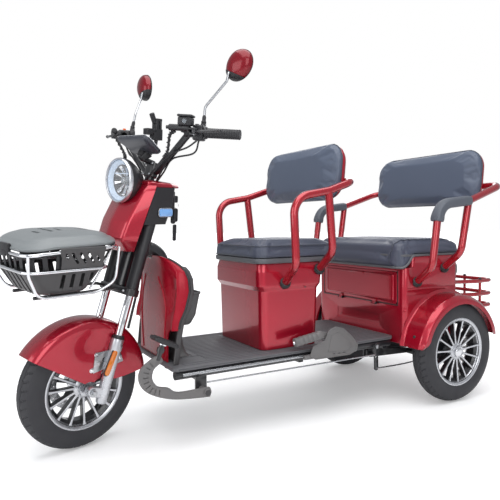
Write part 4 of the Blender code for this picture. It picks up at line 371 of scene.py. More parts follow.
def runTree(mesh, tree, values):
    obj = linked("source", mesh)
    modifier = obj.modifiers.new("tree", "NODES")
    modifier.node_group = tree
    identifiers = {i.name: i.identifier for i in tree.interface.items_tree if i.in_out == "INPUT"}
    for label, value in values.items():
        modifier[identifiers[label]] = value
    result = settled(obj)
    obj.modifiers.remove(modifier)
    bpy.data.objects.remove(obj)
    return result


def tubeTree():
    tree, given = newTree("tubeAlongPath",
        (("Radius", "NodeSocketFloat", 0.01), ("Sides", "NodeSocketInt", 24)))
    toCurve = added(tree, "GeometryNodeMeshToCurve")
    circle = added(tree, "GeometryNodeCurvePrimitiveCircle")
    sweep = added(tree, "GeometryNodeCurveToMesh")
    preset(sweep, Fill_Caps=True)
    wired(tree, (given, "Geometry", toCurve, "Mesh"), (given, "Radius", circle, "Radius"), (given, "Sides",
        circle, "Resolution"), (toCurve, "Curve", sweep, "Curve"), (circle, "Curve", sweep, "Profile Curve"))
    return finishedTree(tree, given, sweep, "Mesh")


def repeatTree():
    tree, given = newTree("repeatOnPoints", (("Copy", "NodeSocketObject", None),
        ("Scale", "NodeSocketFloat", 1.0)))
    info = added(tree, "GeometryNodeObjectInfo")
    toPoints = added(tree, "GeometryNodeMeshToPoints")
    turn = added(tree, "GeometryNodeInputNamedAttribute", data_type="FLOAT_VECTOR")
    preset(turn, Name="turn")
    spread = added(tree, "GeometryNodeInstanceOnPoints")
    wired(tree, (given, "Geometry", toPoints, "Mesh"), (given, "Copy", info, "Object"),
        (toPoints, "Points", spread, "Points"), (info, "Geometry", spread, "Instance"),
        (turn, "Attribute", spread, "Rotation"), (given, "Scale", spread, "Scale"))
    return finishedTree(tree, given, spread, "Instances")


sweepTree, spreadTree = tubeTree(), repeatTree()


def tubes(paths, radius, material, count=24, closed=False):
    bm = bmesh.new()
    for path in paths:
        line = [bm.verts.new(p) for p in path]
        follow = line[1:] + line[:1] if closed else line[1:]
        for pair in zip(line, follow):
            bm.edges.new(pair)
    values = {"Radius": radius, "Sides": max(8, int(count * detail)), "Material": material}
    return closedMesh(opened(runTree(meshOf(bm), sweepTree, values)))


# Copies of a small mesh at places given as (point, rotation matrix)
def repeated(small, places, material):
    bm = bmesh.new()
    layer = bm.verts.layers.float_vector.new("turn")
    for point, turn in places:
        bm.verts.new(point)[layer] = Vector(turn.to_euler())
    model = linked("copy", small)
    out = runTree(meshOf(bm), spreadTree, {"Copy": model, "Material": material})
    bpy.data.objects.remove(model)
    return out


print("helpers ready")


# Shared material effects

def effectGroup(name, inputs, outputs):
    group = bpy.data.node_groups.new(name, "ShaderNodeTree")
    for label, kind, value in inputs:
        group.interface.new_socket(name=label, in_out="INPUT", socket_type=kind).default_value = value
    for label, kind in outputs:
        group.interface.new_socket(name=label, in_out="OUTPUT", socket_type=kind)
    return group, group.nodes.new("NodeGroupInput"), group.nodes.new("NodeGroupOutput")


def noiseIn(group, given, scaleName, fineness):
    place, noise = added(group, "ShaderNodeTexCoord"), added(group, "ShaderNodeTexNoise")
    preset(noise, Detail=fineness)
    wired(group, (place, "Object", noise, "Vector"), (given, scaleName, noise, "Scale"))
    return noise


def colourMix(tree):
    mix = added(tree, "ShaderNodeMix", data_type="RGBA")
    return mix, next(socket for socket in mix.outputs if socket.type == "RGBA")


def makeSurfaceGroup():
    group, given, out = effectGroup("surfaceVariation", (("Colour", "NodeSocketColor", (0.5, 0.5, 0.5, 1)),
        ("Second colour", "NodeSocketColor", (0.4, 0.4, 0.4, 1)), ("Scale", "NodeSocketFloat", 9.0),
        ("Fine scale", "NodeSocketFloat", 300.0), ("Lowest roughness", "NodeSocketFloat", 0.3),
        ("Highest roughness", "NodeSocketFloat", 0.4)), (("Colour", "NodeSocketColor"),
        ("Roughness", "NodeSocketFloat"), ("Height", "NodeSocketFloat")))
    broad = noiseIn(group, given, "Scale", 3.0)
    fine = noiseIn(group, given, "Fine scale", 2.0)
    mix, mixed = colourMix(group)
    spread = added(group, "ShaderNodeMapRange")
    preset(spread, From_Min=0.35, From_Max=0.65)
    group.links.new(mixed, out.inputs["Colour"])
    wired(group, (broad, "Fac", mix, "Factor"), (given, "Colour", mix, "A"),
        (given, "Second colour", mix, "B"), (broad, "Fac", spread, "Value"), (given,
        "Lowest roughness", spread, "To Min"), (given, "Highest roughness", spread, "To Max"),
        (spread, "Result", out, "Roughness"), (fine, "Fac", out, "Height"))
    return group


def makeGrainGroup():
    group, given, out = effectGroup("leatherGrain", (("Cell scale", "NodeSocketFloat", 420.0),
        ("Fold scale", "NodeSocketFloat", 14.0)), (("Height", "NodeSocketFloat"),))
    place, cells = added(group, "ShaderNodeTexCoord"), added(group, "ShaderNodeTexVoronoi")
    folds = noiseIn(group, given, "Fold scale", 4.0)
    total = added(group, "ShaderNodeMath", operation="MULTIPLY_ADD")
    total.inputs[1].default_value = 0.35  # share of the fine cells beside the broad folds
    wired(group, (place, "Object", cells, "Vector"), (given, "Cell scale", cells, "Scale"),
        (cells, "Distance", total, 0), (folds, "Fac", total, 2), (total, 0, out, "Height"))
    return group


surfaceGroup, grainGroup = makeSurfaceGroup(), makeGrainGroup()


def finish(name, colour, second, rough, metallic=0.0, coat=0.0, bump=0.0,
        scale=9.0, fine=300.0, grain=None, glow=0.0, rim=None, **constants):
    material = bpy.data.materials.new(name)
    material.use_nodes = True
    tree = material.node_tree
    shader = next(node for node in tree.nodes if node.type == "BSDF_PRINCIPLED")
    surface = added(tree, "ShaderNodeGroup", node_tree=surfaceGroup)
    preset(surface, Colour=(*colour, 1), Second_colour=(*second, 1), Scale=scale,
        Fine_scale=fine, Lowest_roughness=rough[0], Highest_roughness=rough[1])
    colourSource = surface.outputs["Colour"]
    # Painted shade: the colour darkens towards rim where the surface turns away from the camera
    if rim:
        grazingShadeWeight = added(tree, "ShaderNodeLayerWeight")
        preset(grazingShadeWeight, Blend=0.35)
        mix, mixed = colourMix(tree)
        preset(mix, B=(*rim, 1))
        tree.links.new(colourSource, mix.inputs["A"])
        wired(tree, (grazingShadeWeight, "Facing", mix, "Factor"))
        colourSource = mixed
    tree.links.new(colourSource, shader.inputs["Base Color"])
    wired(tree, (surface, "Roughness", shader, "Roughness"))
    preset(shader, Metallic=metallic, Coat_Weight=coat)
    if bump:
        relief = added(tree, "ShaderNodeBump")
        preset(relief, Strength=bump, Distance=0.001)
        heightSource = surface
        if grain:
            heightSource = added(tree, "ShaderNodeGroup", node_tree=grainGroup)
            preset(heightSource, Cell_scale=grain)
        wired(tree, (heightSource, "Height", relief, "Height"), (relief, "Normal", shader, "Normal"))
    if glow:
        tree.links.new(colourSource, shader.inputs["Emission Color"])
        preset(shader, Emission_Strength=glow)
    preset(shader, **constants)
    return material


# In each: colour, second colour, lowest and highest roughness, metal, coat, relief, broad and fine scale,
# grain; rim, where given, is painted shade: a darker colour mixed in where the surface turns away from the
# camera
redPaint = finish("candyRed", (0.47, 0.006, 0.028), (0.39, 0.005, 0.022), (0.2, 0.27),
    0.45, 0.7, 0.05, 5, 900, rim=(0.2, 0.002, 0.008), Coat_Roughness=0.05)
# The leg shield's red is a darker copy of the paint, a painted shade; its weak coat and low specular are
# surface settings
shieldRed = finish("shieldRed", (0.36, 0.005, 0.02), (0.3, 0.004, 0.016), (0.22, 0.3), 0.1,
    0.12, 0.05, 5, 900, rim=(0.16, 0.002, 0.006), Coat_Roughness=0.05, Specular_IOR_Level=0.22)
# The mirror shells' red is a darker copy of the body paint, a painted shade
mirrorRed = finish("mirrorRed", (0.24, 0.003, 0.012), (0.19, 0.002, 0.009), (0.16, 0.24), 0.2,
    0.25, 0.05, 5, 900, rim=(0.1, 0.001, 0.004), Coat_Roughness=0.05, Specular_IOR_Level=0.35)
redTube = finish("candyRedTube", (0.46, 0.007, 0.02), (0.38, 0.005, 0.016), (0.22, 0.3),
    0.45, 1.0, 0.04, 5, 900, rim=(0.18, 0.002, 0.008), Coat_Roughness=0.06)
blackPaint = finish("blackPaint", (0.012, 0.012, 0.014),
    (0.02, 0.02, 0.023), (0.28, 0.38), 0.0, 0.5, 0.05, 12, 500)
chrome = finish("chromePlate", (0.8, 0.81, 0.83), (0.74, 0.75, 0.78), (0.05, 0.1), 1.0, 0.0, 0.0, 6, 300)
castSilver = finish("castSilver", (0.62, 0.63, 0.66),
    (0.54, 0.55, 0.58), (0.24, 0.34), 0.85, 0.3, 0.06, 20, 700)
steel = finish("machinedSteel", (0.55, 0.56, 0.58), (0.42, 0.43, 0.45), (0.2, 0.34), 1.0, 0.0, 0.05, 40, 900)
tyreRubber = finish("tyreRubber", (0.022, 0.022, 0.026),
    (0.032, 0.032, 0.037), (0.55, 0.7), 0.0, 0.0, 0.12, 20, 500)
gripRubber = finish("gripRubber", (0.014, 0.014, 0.016),
    (0.022, 0.022, 0.025), (0.45, 0.6), 0.0, 0.0, 0.15, 30, 800)
blackPlastic = finish("blackPlastic", (0.013, 0.013, 0.015),
    (0.02, 0.02, 0.023), (0.34, 0.46), 0.0, 0.0, 0.12, 14, 1200)
greyPlastic = finish("deckPlastic", (0.096, 0.096, 0.104),
    (0.118, 0.118, 0.127), (0.42, 0.55), 0.0, 0.0, 0.2, 12, 1100)
linerPlastic = finish("linerPlastic", (0.05, 0.048, 0.05),
    (0.068, 0.066, 0.068), (0.4, 0.5), 0.0, 0.0, 0.15, 12, 1100)
lidPlastic = finish("lidPlastic", (0.165, 0.18, 0.186),
    (0.2, 0.216, 0.222), (0.3, 0.4), 0.0, 0.0, 0.15, 10, 1100)
coverPlastic = finish("coverPlastic", (0.125, 0.12, 0.12),
    (0.15, 0.144, 0.144), (0.4, 0.5), 0.0, 0.0, 0.15, 10, 1100)
armGrey = finish("armPadGrey", (0.075, 0.085, 0.105),
    (0.095, 0.105, 0.128), (0.42, 0.55), 0.0, 0.0, 0.25, 10, 1100)
seatSlate = finish("seatCover", (0.048, 0.056, 0.086),
    (0.06, 0.068, 0.1), (0.42, 0.54), 0.0, 0.05, 0.35, 8, 300, 420)
backSlate = finish("backrestCover", (0.066, 0.086, 0.13),
    (0.082, 0.102, 0.15), (0.42, 0.54), 0.0, 0.05, 0.35, 8, 300, 420)
pipingSlate = finish("pipingCord", (0.03, 0.036, 0.055),
    (0.04, 0.046, 0.066), (0.4, 0.5), 0.0, 0.1, 0.2, 30, 700)
lampGlass = finish("lampGlass", (0.8, 0.86, 0.9), (0.74, 0.8, 0.86),
    (0.04, 0.07), 0.0, 1.0, 0.0, 8, 300, Transmission_Weight=0.85, IOR=1.45)
screenGlass = finish("screenGlass", (0.008, 0.008, 0.011), (0.012, 0.012, 0.016), (0.05, 0.09), 0.0, 1.0)
mirrorGlass = finish("mirrorGlass", (0.82, 0.84, 0.86), (0.8, 0.82, 0.84), (0.02, 0.04), 1.0)
redLens = finish("redLens", (0.42, 0.006, 0.012), (0.34, 0.004, 0.01), (0.08, 0.14), 0.0, 1.0)
amberLens = finish("amberLens", (0.75, 0.22, 0.02), (0.65, 0.16, 0.01), (0.1, 0.18), 0.0, 1.0)
batteryCase = finish("batteryCase", (0.03, 0.06, 0.11), (0.04, 0.07, 0.13), (0.4, 0.5), 0.0, 0.0, 0.1)
clearBlue = finish("clearBlue", (0.16, 0.36, 0.72), (0.22, 0.44, 0.8), (0.1, 0.18), 0.0, 1.0)
print("materials ready")

# Camera, light and floor
look = {"place": (1.8223, -1.1316, 0.7426), "yaw": radians(150.25),
    "down": radians(2.87), "roll": radians(-0.54), "lens": 38.466}
camera = linked("camera", bpy.data.cameras.new("camera"))
camera.data.lens = look["lens"]
camera.data.sensor_width = 36.0
ahead = Vector((cos(look["yaw"]) * cos(look["down"]),
    sin(look["yaw"]) * cos(look["down"]), -sin(look["down"])))
rightward = Vector((sin(look["yaw"]), -cos(look["yaw"]), 0))
upward = rightward.cross(ahead)
rolledRight = rightward * cos(look["roll"]) + upward * sin(look["roll"])
rolledUp = upward * cos(look["roll"]) - rightward * sin(look["roll"])
axes = Matrix((rolledRight, rolledUp, -ahead)).transposed().to_4x4()
camera.matrix_world = Matrix.Translation(look["place"]) @ axes
scene.camera = camera
scene.view_settings.view_transform = "Standard"


def softLight(name, place, aim, size, power):
    light = bpy.data.lights.new(name, "AREA")
    light.shape = "RECTANGLE"
    light.size, light.size_y = size
    light.energy = power
    obj = linked(name, light)
    obj.location = place
    obj.rotation_euler = (Vector(aim) - Vector(place)).to_track_quat("-Z", "Y").to_euler()
    obj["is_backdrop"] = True


softLight("overhead", (0.6, -0.3, 3.4), (0, 0, 0.5), (3.2, 3.6), 95)
softLight("cameraSide", (3.6, -1.2, 1.9), (0, 0, 0.6), (2.2, 2.4), 42)
softLight("frontSide", (0.6, -4.0, 1.6), (0, -0.2, 0.6), (2.6, 2.2), 40)
softLight("behind", (-2.6, 2.4, 2.2), (0, 0, 0.7), (2.4, 2.0), 34)

world = bpy.data.worlds.new("studio")
world.use_nodes = True
scene.world = world
tree = world.node_tree
sky, white = tree.nodes["Background"], added(tree, "ShaderNodeBackground")
preset(sky, Color=(0.86, 0.88, 0.92, 1), Strength=0.55)
preset(white, Color=(1, 1, 1, 1), Strength=1.0)
path, chooser = added(tree, "ShaderNodeLightPath"), added(tree, "ShaderNodeMixShader")
wired(tree, (path, "Is Camera Ray", chooser, "Fac"), (sky, "Background", chooser, 1),
    (white, "Background", chooser, 2), (chooser, "Shader", tree.nodes["World Output"], "Surface"))

# The floor glows white far away for the camera alone, so only the near part shows shadows
floorMesh = turned([(0, 0), (40, 0), (40, -0.02), (0, -0.02)], origin, zAxis, 96)
floorMaterial = finish("paleFloor", (0.93, 0.93, 0.93), (0.95, 0.95, 0.95), (0.75, 0.85))
tree = floorMaterial.node_tree
shader = next(node for node in tree.nodes if node.type == "BSDF_PRINCIPLED")
path, spot = added(tree, "ShaderNodeLightPath"), added(tree, "ShaderNodeTexCoord")
reach = added(tree, "ShaderNodeVectorMath", operation="LENGTH")
fade = added(tree, "ShaderNodeMapRange", interpolation_type="SMOOTHSTEP")
preset(fade, From_Min=1.6, From_Max=4.5, To_Min=0.22, To_Max=1.0)
glow = added(tree, "ShaderNodeMath", operation="MULTIPLY")
preset(shader, Emission_Color=(1, 1, 1, 1))
wired(tree, (spot, "Object", reach, 0), (reach, "Value", fade, "Value"), (path, "Is Camera Ray", glow, 0),
    (fade, "Result", glow, 1), (glow, "Value", shader, "Emission Strength"))
floorMesh.materials.append(floorMaterial)
floor = linked("floor", floorMesh)
floor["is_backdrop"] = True
print("camera, light and floor ready")

# Wheels
wheel = {"spokes": 15, "grooveDepth": 0.003, "grooveAt": 0.0105, "grooveHalf": 0.0017, "wave": 0.0022,
    "sipes": 44, "sipeShare": 0.17, "treadHalf": 0.032, "treadSteps": 40, "turns": 440, "nuts": 5}


def tyreMesh(centre):
    outline = mm((127.5, 30), (133, 33.5), (139.5, 36), (148, 38.5), (158, 39.8),
        (168, 40), (177, 39.2), (185, 37.5), (190.5, 35.5), (195, 33.2))
    half, count = wheel["treadHalf"], wheel["treadSteps"]
    tread = []
    for x in [half - 0.0016 * k for k in range(count + 1)]:
        tread.append((layout["tyreRadius"] - 0.012 * abs(x / half) ** 2.6, x))
    inner = mm((129, -26), (150, -33), (180, -34), (198.5, -20),
        (201.5, 0), (198.5, 20), (180, 34), (150, 33), (129, 26))
    profile = outline + tread + [(r, -x) for r, x in reversed(outline)] + inner
    steps = int(wheel["turns"] * detail)
    loops = []
    for step in range(steps):
        angle = 2 * pi * step / steps
        loop = []
        for k, (radius, x) in enumerate(profile):
            if len(outline) < k < len(outline) + len(tread) - 1:
                wave = wheel["wave"] * sin(angle * wheel["sipes"])
                sweep = (angle * wheel["sipes"] / (2 * pi) + (0.5 if x < 0 else 0) + abs(x) * 14) % 1
                inWave = abs(abs(x) - wheel["grooveAt"] - wave) < wheel["grooveHalf"]
                inGroove = inWave or (sweep < wheel["sipeShare"] and abs(x) > 0.0125)
                radius -= wheel["grooveDepth"] if inGroove else 0
            loop.append(centre + Vector((x, radius * cos(angle), radius * sin(angle))))
        loops.append(loop)
    return loft(loops, closed=True)


def spokeForm(rows):
    form = loft(rows)
    form.shade_smooth()
    form.set_sharp_from_angle(angle=radians(35))
    return form


def rimParts(centre, hubHalf):
    ring = mm((138.5, 36), (138.5, 32.5), (130, 30), (129.5, 23), (118, 15), (118, -15),
        (129.5, -23), (130, -30), (138.5, -32.5), (138.5, -36), (134.5, -36), (126, -32),
        (124, -24), (113.5, -16), (113.5, 16), (124, 24), (126, 32), (134.5, 36))
    channel = turned(ring, centre, xAxis, int(120 * detail), ring=True)
    lips = []
    for way in (1, -1):
        lip = mm((139.2, 32.5), (139.2, 36.2), (135, 36.8), (127.5, 33),
            (123.2, 26.2), (122.8, 24), (124.5, 24), (126.2, 28), (130.6, 30.6))
        lips.append(turned([(r, h * way) for r, h in lip], centre, xAxis, int(120 * detail), ring=True))
    hub = turned([(0.0095, -hubHalf), (0.022, -hubHalf), (0.027, -hubHalf + 0.006),
        (0.03, -0.016), (0.033, -0.002), (0.036, 0.004), (0.036, 0.0215), (0.032, 0.0255),
        (0.024, 0.0275), (0.024, hubHalf), (0.0095, hubHalf)], centre, xAxis, 64, ring=True)
    rows = []
    for radius, half, low, high in mm((28, 6.2, 2, 23.5), (45, 5.2, 3, 24.5), (75, 4.3, 5, 26.5),
            (105, 4.2, 7.5, 29.2), (119, 5.2, 8, 30.6), (126.5, 7.8, 8, 31.5)):
        edge = min(0.0016, half * 0.35)
        rows.append([Vector((x, y, radius)) for x, y in ((low, -half * 0.7),
            (low, half * 0.7), (high - edge * 1.5, half), (high, half - edge),
            (high, edge - half), (high - edge * 1.5, -half))])
    spoke = spokeForm(rows)
    places = [(centre, Matrix.Rotation(2 * pi * (k + 0.5) / wheel["spokes"],
        3, "X")) for k in range(wheel["spokes"])]
    faceRows = []
    for radius, half, high in mm((30, 4.6, 23.6), (45, 3.8, 24.6),
            (75, 3.2, 26.6), (105, 3.2, 29.3), (119, 4, 30.7), (125, 6, 31.6)):
        faceRows.append([Vector((x, y, radius)) for x, y in ((high - 0.002, half * 0.8),
            (high - 0.0002, half), (high + 0.0004, half * 0.8), (high + 0.0004, -half * 0.8),
            (high - 0.0002, -half), (high - 0.002, -half * 0.8))])
    face = spokeForm(faceRows)
    nuts = []
    for k in range(wheel["nuts"]):
        angle = 2 * pi * (k + 0.25) / wheel["nuts"]
        place = centre + Vector((0.0212, 0.0288 * cos(angle), 0.0288 * sin(angle)))
        nuts.append(turned(mm((0, 8.5), (3, 8.5), (4.6, 7), (5, 1),
            (6.2, 0.8), (6.2, 0), (0, 0)), place, xAxis, 6))
    return channel, lips, hub, spoke, face, nuts, places


def capMesh(centre):
    profile = mm((0, 30), (23.5, 30), (24, 32.5), (23.2, 35),
        (20.5, 36.2), (18.5, 35.2), (16.5, 37.2), (10, 38.8), (0, 39.2))
    return turned(profile, centre, xAxis, 64)


def buildWheel(label, centre, side, hubHalf, body, nodes):
    channel, lips, hub, spoke, face, nuts, places = rimParts(centre, hubHalf)
    spokes = repeated(spoke, places, blackPaint)
    faces = repeated(face, places, castSilver)
    parts = [("tyre", tyreMesh(centre), tyreRubber, "tyre", (nodes[0],)), ("rimLips", joined(*lips),
        castSilver, "cast_aluminium", (nodes[1],)), ("rimRing", channel, blackPaint, None, ()),
        ("rimHub", hub, castSilver, None, ()), ("rimSpokes", spokes, blackPaint, None, ()),
        ("spokeFaces", faces, castSilver, None, ()), ("hubNuts", joined(*nuts), steel, None, ())]
    liner = turned(mm((112.8, -15), (113.4, -15), (113.4, 15), (112.8, 15)), centre, xAxis, 96, ring=True)
    parts.append(("rimWell", liner, blackPaint, None, ()))
    valve = rod(centre + Vector((0.019, 0.05, -0.098)),
        centre + Vector((0.024, 0.058, -0.074)), 0.0027, 12, 0.0006)
    parts.append(("valve", valve, blackPlastic, None, ()))
    for name, mesh, material, slot, replaces in parts:
        piece(label + name.capitalize(), onSide(mesh, side), material, body, replaces, sharp=32)


buildWheel("rearLeft", rearHub, 1, 0.03, "rear_wheel_left", ("rear_tyre_left", "rear_rim_left"))
buildWheel("rearRight", rearHub, -1, 0.03, "rear_wheel_right", ("rear_tyre_right", "rear_rim_right"))
buildWheel("front", frontHub, 1, 0.042, "front_wheel", ("front_tyre", "front_rim"))
for side, label in sides:
    piece("hubCap" + label, onSide(capMesh(rearHub), side), chrome,
        "rear_wheel_" + label.lower())


# Brake disc with holes, on the right of the front wheel
disc = {"radius": 0.092, "thick": 0.003, "face": -0.0423, "holes": 24, "arms": 5}
discRing = turned([(0.062, disc["face"]), (disc["radius"], disc["face"]), (disc["radius"],
    disc["face"] - disc["thick"]), (0.062, disc["face"] - disc["thick"])], frontHub,
    xAxis, int(96 * detail), ring=True)
holePlaces = []
for k in range(disc["holes"]):
    radius = 0.071 + 0.0065 * (k % 3)
    angle = 2 * pi * k / disc["holes"]
    holePlaces.append((frontHub + Vector((disc["face"] - 0.004, radius * cos(angle), radius * sin(angle))),
        Matrix.Rotation(pi / 2, 3, "Y")))
drill = turned(mm((0, 0), (2.2, 0), (2.2, 6), (0, 6)), origin, zAxis, 10)
discRing = cut(discRing, repeated(drill, holePlaces, steel))
discArms = []
for k in range(disc["arms"]):
    angle = 2 * pi * k / disc["arms"]
    arm = block((-0.0428, -0.0448), (-0.007, 0.007), (0.018, 0.066))
    arm.transform(Matrix.Translation(frontHub) @ Matrix.Rotation(angle, 4, "X"))
    discArms.append(arm)
piece("discRing", discRing, steel, "front_wheel", ("brake_disc",), sharp=30)
piece("discCarrier", joined(*discArms, turned(mm((9.5, -42.5), (24, -42.5), (24, -45.2), (9.5, -45.2)),
    frontHub, xAxis, 48, ring=True)), blackPaint, "front_wheel", sharp=30)
print("wheels ready")

# Fork: lower legs, stanchions, clamps and covers
fork = {"legX": 0.07, "foot": -0.038, "stanchion": 0.0135}
for side, label in sides:
    x = side * fork["legX"]
    profile = mm((0, 0), (12, 0), (16.5, 4), (18.5, 12), (19, 20), (19, 176), (21.5, 182),
        (21.5, 214), (20.5, 218.5), (17.2, 220), (14.2, 220), (14.2, 100), (0, 100))
    leg = turned(profile, onAxis(fork["foot"], x), steerAxis, 64)
    lug = plate([(y, z) for y, z in capsule((frontHub.y, frontHub.z),
        (steerFoot.y, steerFoot.z), 0.0165, 12)], "yz", *span(0.056, 0.082, side), 0.002)
    piece("forkLeg" + label, union(leg, lug), castSilver,
        "fork", ("fork_legs",) if side > 0 else (), sharp=32)
    seal = turned(mm((14, 182.2), (20, 182.2), (20, 187), (16.5, 193), (14, 193)),
        onAxis(0, x), steerAxis, 48, ring=True)
    piece("forkSeal" + label, seal, blackPlastic, "fork")
    piece("stanchion" + label, rod(onAxis(0.085, x), onAxis(0.34, x), fork["stanchion"], 48),
        chrome, "steering")
    cover = turned(mm((14, 352.5), (21, 352.5), (21, 598), (14, 598)),
        onAxis(0, x), steerAxis, 48, ring=True)
    piece("forkCover" + label, cover, blackPlastic, "steering")
axleNuts = [turned(mm((0, 0), (12.5, 0), (12.5, 7), (8.5, 7), (8.5, 13), (6, 15), (0, 15)),
    frontHub + xAxis * side * 0.082, xAxis * side, 6) for side in (1, -1)]
piece("frontAxle", joined(*axleNuts, rod(frontHub + xAxis * -0.082, frontHub + xAxis * 0.082, 0.0072, 24)),
    steel, "fork", sharp=30)


def clampMesh(low, high, half, depth):
    outline = roundedRectangle(half, depth, min(depth, half) * 0.92, 8)
    rows = []
    for along, inset in ((low, 0.002), (low + 0.002, 0), (high - 0.002, 0), (high, 0.002)):
        rows.append([onAxis(along, a * (1 - inset / half), b * (1 - inset / depth)) for a, b in outline])
    return loft(rows)


crown = joined(clampMesh(0.328, 0.352, 0.094, 0.03), clampMesh(0.6, 0.622, 0.092, 0.024))
piece("forkClamps", crown, blackPaint, "steering", ("fork_crown",), sharp=32)
steerer = rod(onAxis(0.352), onAxis(0.6), 0.015, 32)
stem = turned(mm((0, 610), (23, 610), (23, 628), (17, 634), (17, 750), (0, 750)), onAxis(0), steerAxis, 48)
barClamp = clampMesh(0.745, 0.797, 0.026, 0.018)
piece("steeringStem", joined(steerer, stem, barClamp), blackPaint, "steering", sharp=32)
clampBolts = []
for side in (1, -1):
    for along in (0.752, 0.79):
        clampBolts.append((onAxis(along, side * 0.019, 0.0178), facing(steerForward)))
boltHead = turned(mm((0, 0), (5.2, 0), (5.2, 3), (4.4, 4),
    (2.6, 4), (2.6, 2.2), (0, 2.2)), (0, 0, 0), zAxis, 20)
for side in (1, -1):
    for along, out in ((0.34, 0.03), (0.611, 0.0235)):
        clampBolts.append((onAxis(along, side * fork["legX"], out), facing(steerForward)))
piece("clampBolts", repeated(boltHead, clampBolts, steel), steel, "steering", sharp=30)

caliperPlan = mm((-66, 52), (-46.3, 52), (-46.3, 96.5), (-41.2, 96.5),
    (-41.2, 70), (-37.2, 70), (-37.2, 115), (-66, 115))
caliper = plate(caliperPlan, "xy", 0.178, 0.221, 0.0015)
caliperFins = [block((-0.0685, -0.0655), (0.06, 0.108),
    (z, z + 0.003), 0.0006) for z in (0.186, 0.194, 0.202, 0.21)]
piece("brakeCaliper", joined(caliper, *caliperFins), blackPaint, "fork", sharp=32)
reflector = plate(capsule((0.048, 0.263), (0.076, 0.325), 0.0085, 8), "yz", 0.085, 0.0905, 0.0012)
reflectorBack = plate(capsule((0.047, 0.261), (0.077, 0.327), 0.01, 8), "yz", 0.08, 0.085, 0.001)
piece("sideReflector", reflector, amberLens, "steering")
piece("sideReflectorBack", reflectorBack, blackPlastic, "steering")
lugOutline = mm((10, 262), (125, 282), (110, 330), (20, 330))
for side, label in sides:
    lug = plate(lugOutline, "yz", side * 0.0583, side * 0.0623, 0.001)
    piece("fenderLug" + label, lug, steel, "fork")
print("fork ready")

# Front fender: swept shell, trimmed to its side outline, slotted round the fork
fender = {"half": 0.058, "crown": 0.235, "low": 0.028,
    "depth": 0.034, "wall": 0.003, "first": 8, "last": 147}


def fenderSection(inset, steps=14):
    half, crown, depth = fender["half"] - inset, fender["crown"] - inset, fender["depth"]
    line = [(half, fender["low"])]
    for k in range(steps + 1):
        turn = k / steps * pi / 2
        line.append((half * cos(turn) ** 0.62, crown - depth + depth * sin(turn) ** 0.95))
    return line + [(-x, r) for x, r in reversed(line[:-1])]


loops, steps = [], int(72 * detail)
for k in range(steps + 1):
    angle = radians(fender["first"] + (fender["last"] - fender["first"]) * k / steps)
    section = fenderSection(0) + fenderSection(fender["wall"])[::-1]
    loops.append([frontHub + Vector((x, r * cos(angle), r * sin(angle))) for x, r in section])
shell = loft(loops)
sideLine = roundedPath(mm((0, -240, 372), (0, -190, 342.5), (0, -132, 306), (0, 4, 220), (0, 30, 241),
    (0, 98, 224.5), (0, 221, 232), (0, 270, 234)), (0.08, 0.1, 0.016, 0.02, 0.06, 0.06), 6)
trim = plate([(p.y, p.z) for p in sideLine] + [(0.27, 0.52), (-0.24, 0.52)], "yz", -0.08, 0.08)
shell = combined(shell, [trim], "INTERSECT")
legHoles = []
for x in (fork["legX"], -fork["legX"]):
    legHoles.append(rod(onAxis(-0.06, x), onAxis(0.19, x), 0.0225, 32))
    legHoles.append(rod(onAxis(0.1, x), onAxis(0.32, x), 0.0165, 32))
shell = cut(shell, *legHoles)
piece("frontFender", shell, redPaint, "fork", ("front_fender",), sharp=34)
smallBolt = turned(mm((0, 0), (7.8, 0), (7.8, 0.8), (6.2, 1.2), (5.8, 3.6),
    (4.4, 4.6), (2.4, 4.6), (2.4, 2.2), (0, 2.2)), origin, zAxis, 24)
boltPlaces = []
for side in (1, -1):
    for y, z in mm((25, 321), (8, 272), (113, 296)):
        boltPlaces.append((Vector((side * 0.0582, y, z)), facing(xAxis * side)))
piece("fenderBolts", repeated(smallBolt, boltPlaces, chrome), chrome, "fork", sharp=30)

# Basket: wires, liner and lid
basket = {"rims": mm((680, 145, -245, 58), (625, 139, -240, 27), (550, 108, -197, -14)), "corner": 0.04,
    "rimWire": 0.0051, "midWire": 0.0046, "floorWire": 0.0032, "bars": 26, "barHalf": 0.007}


def basketLoop(z, inset=0.0, steps=8, corner=None):
    rims = basket["rims"]
    top, bottom = (rims[0], rims[1]) if z >= rims[1][0] else (rims[1], rims[2])
    share = (z - bottom[0]) / (top[0] - bottom[0])
    half, front, rear = [low + (high - low) * share for low, high in zip(bottom[1:], top[1:])]
    radius = (corner or basket["corner"]) - inset * 0.5
    return loopAt(half, front, rear, radius, z, inset, steps)


def noseDrop(p, depth):
    return depth * easing(-p.y, 0.13, 0.235)


rimLine = [Vector((p.x, p.y, 0.6865 - noseDrop(p, 0.0135))) for p in basketLoop(0.68, 0.0, 12, 0.048)]
wires = tubes([rimLine], basket["rimWire"], chrome, 24, closed=True)
midLine = basketLoop(0.6235, 0.0, 12, 0.044)
midWire = tubes([midLine], basket["midWire"], chrome, 20, closed=True)
hoops = []
for s in (1, -1):
    hoops.append(roundedPath([(s * 0.134, -0.234, 0.673), (s * 0.126, -0.229, 0.615),
        (s * 0.109, -0.193, 0.5435), (s * 0.108, -0.006, 0.5435), (s * 0.123, 0.05, 0.575),
        (s * 0.136, 0.055, 0.687)], (0.05, 0.045, 0.045, 0.045), 10))
cross = [[(x, y, 0.5435) for x in (-0.108, 0, 0.108)] for y in (-0.15, -0.05)]
for x in (-0.09, -0.03, 0.03, 0.09):
    cross.append([(x, 0.058, 0.683), (x, 0.042, 0.65), (x, 0.0275, 0.6235),
        (x * 0.9, 0.006, 0.58), (x * 0.85, -0.014, 0.548)])
hoopWires = joined(tubes(hoops, basket["midWire"], chrome, 20),
    tubes(cross, basket["floorWire"], chrome, 14))
carry = []
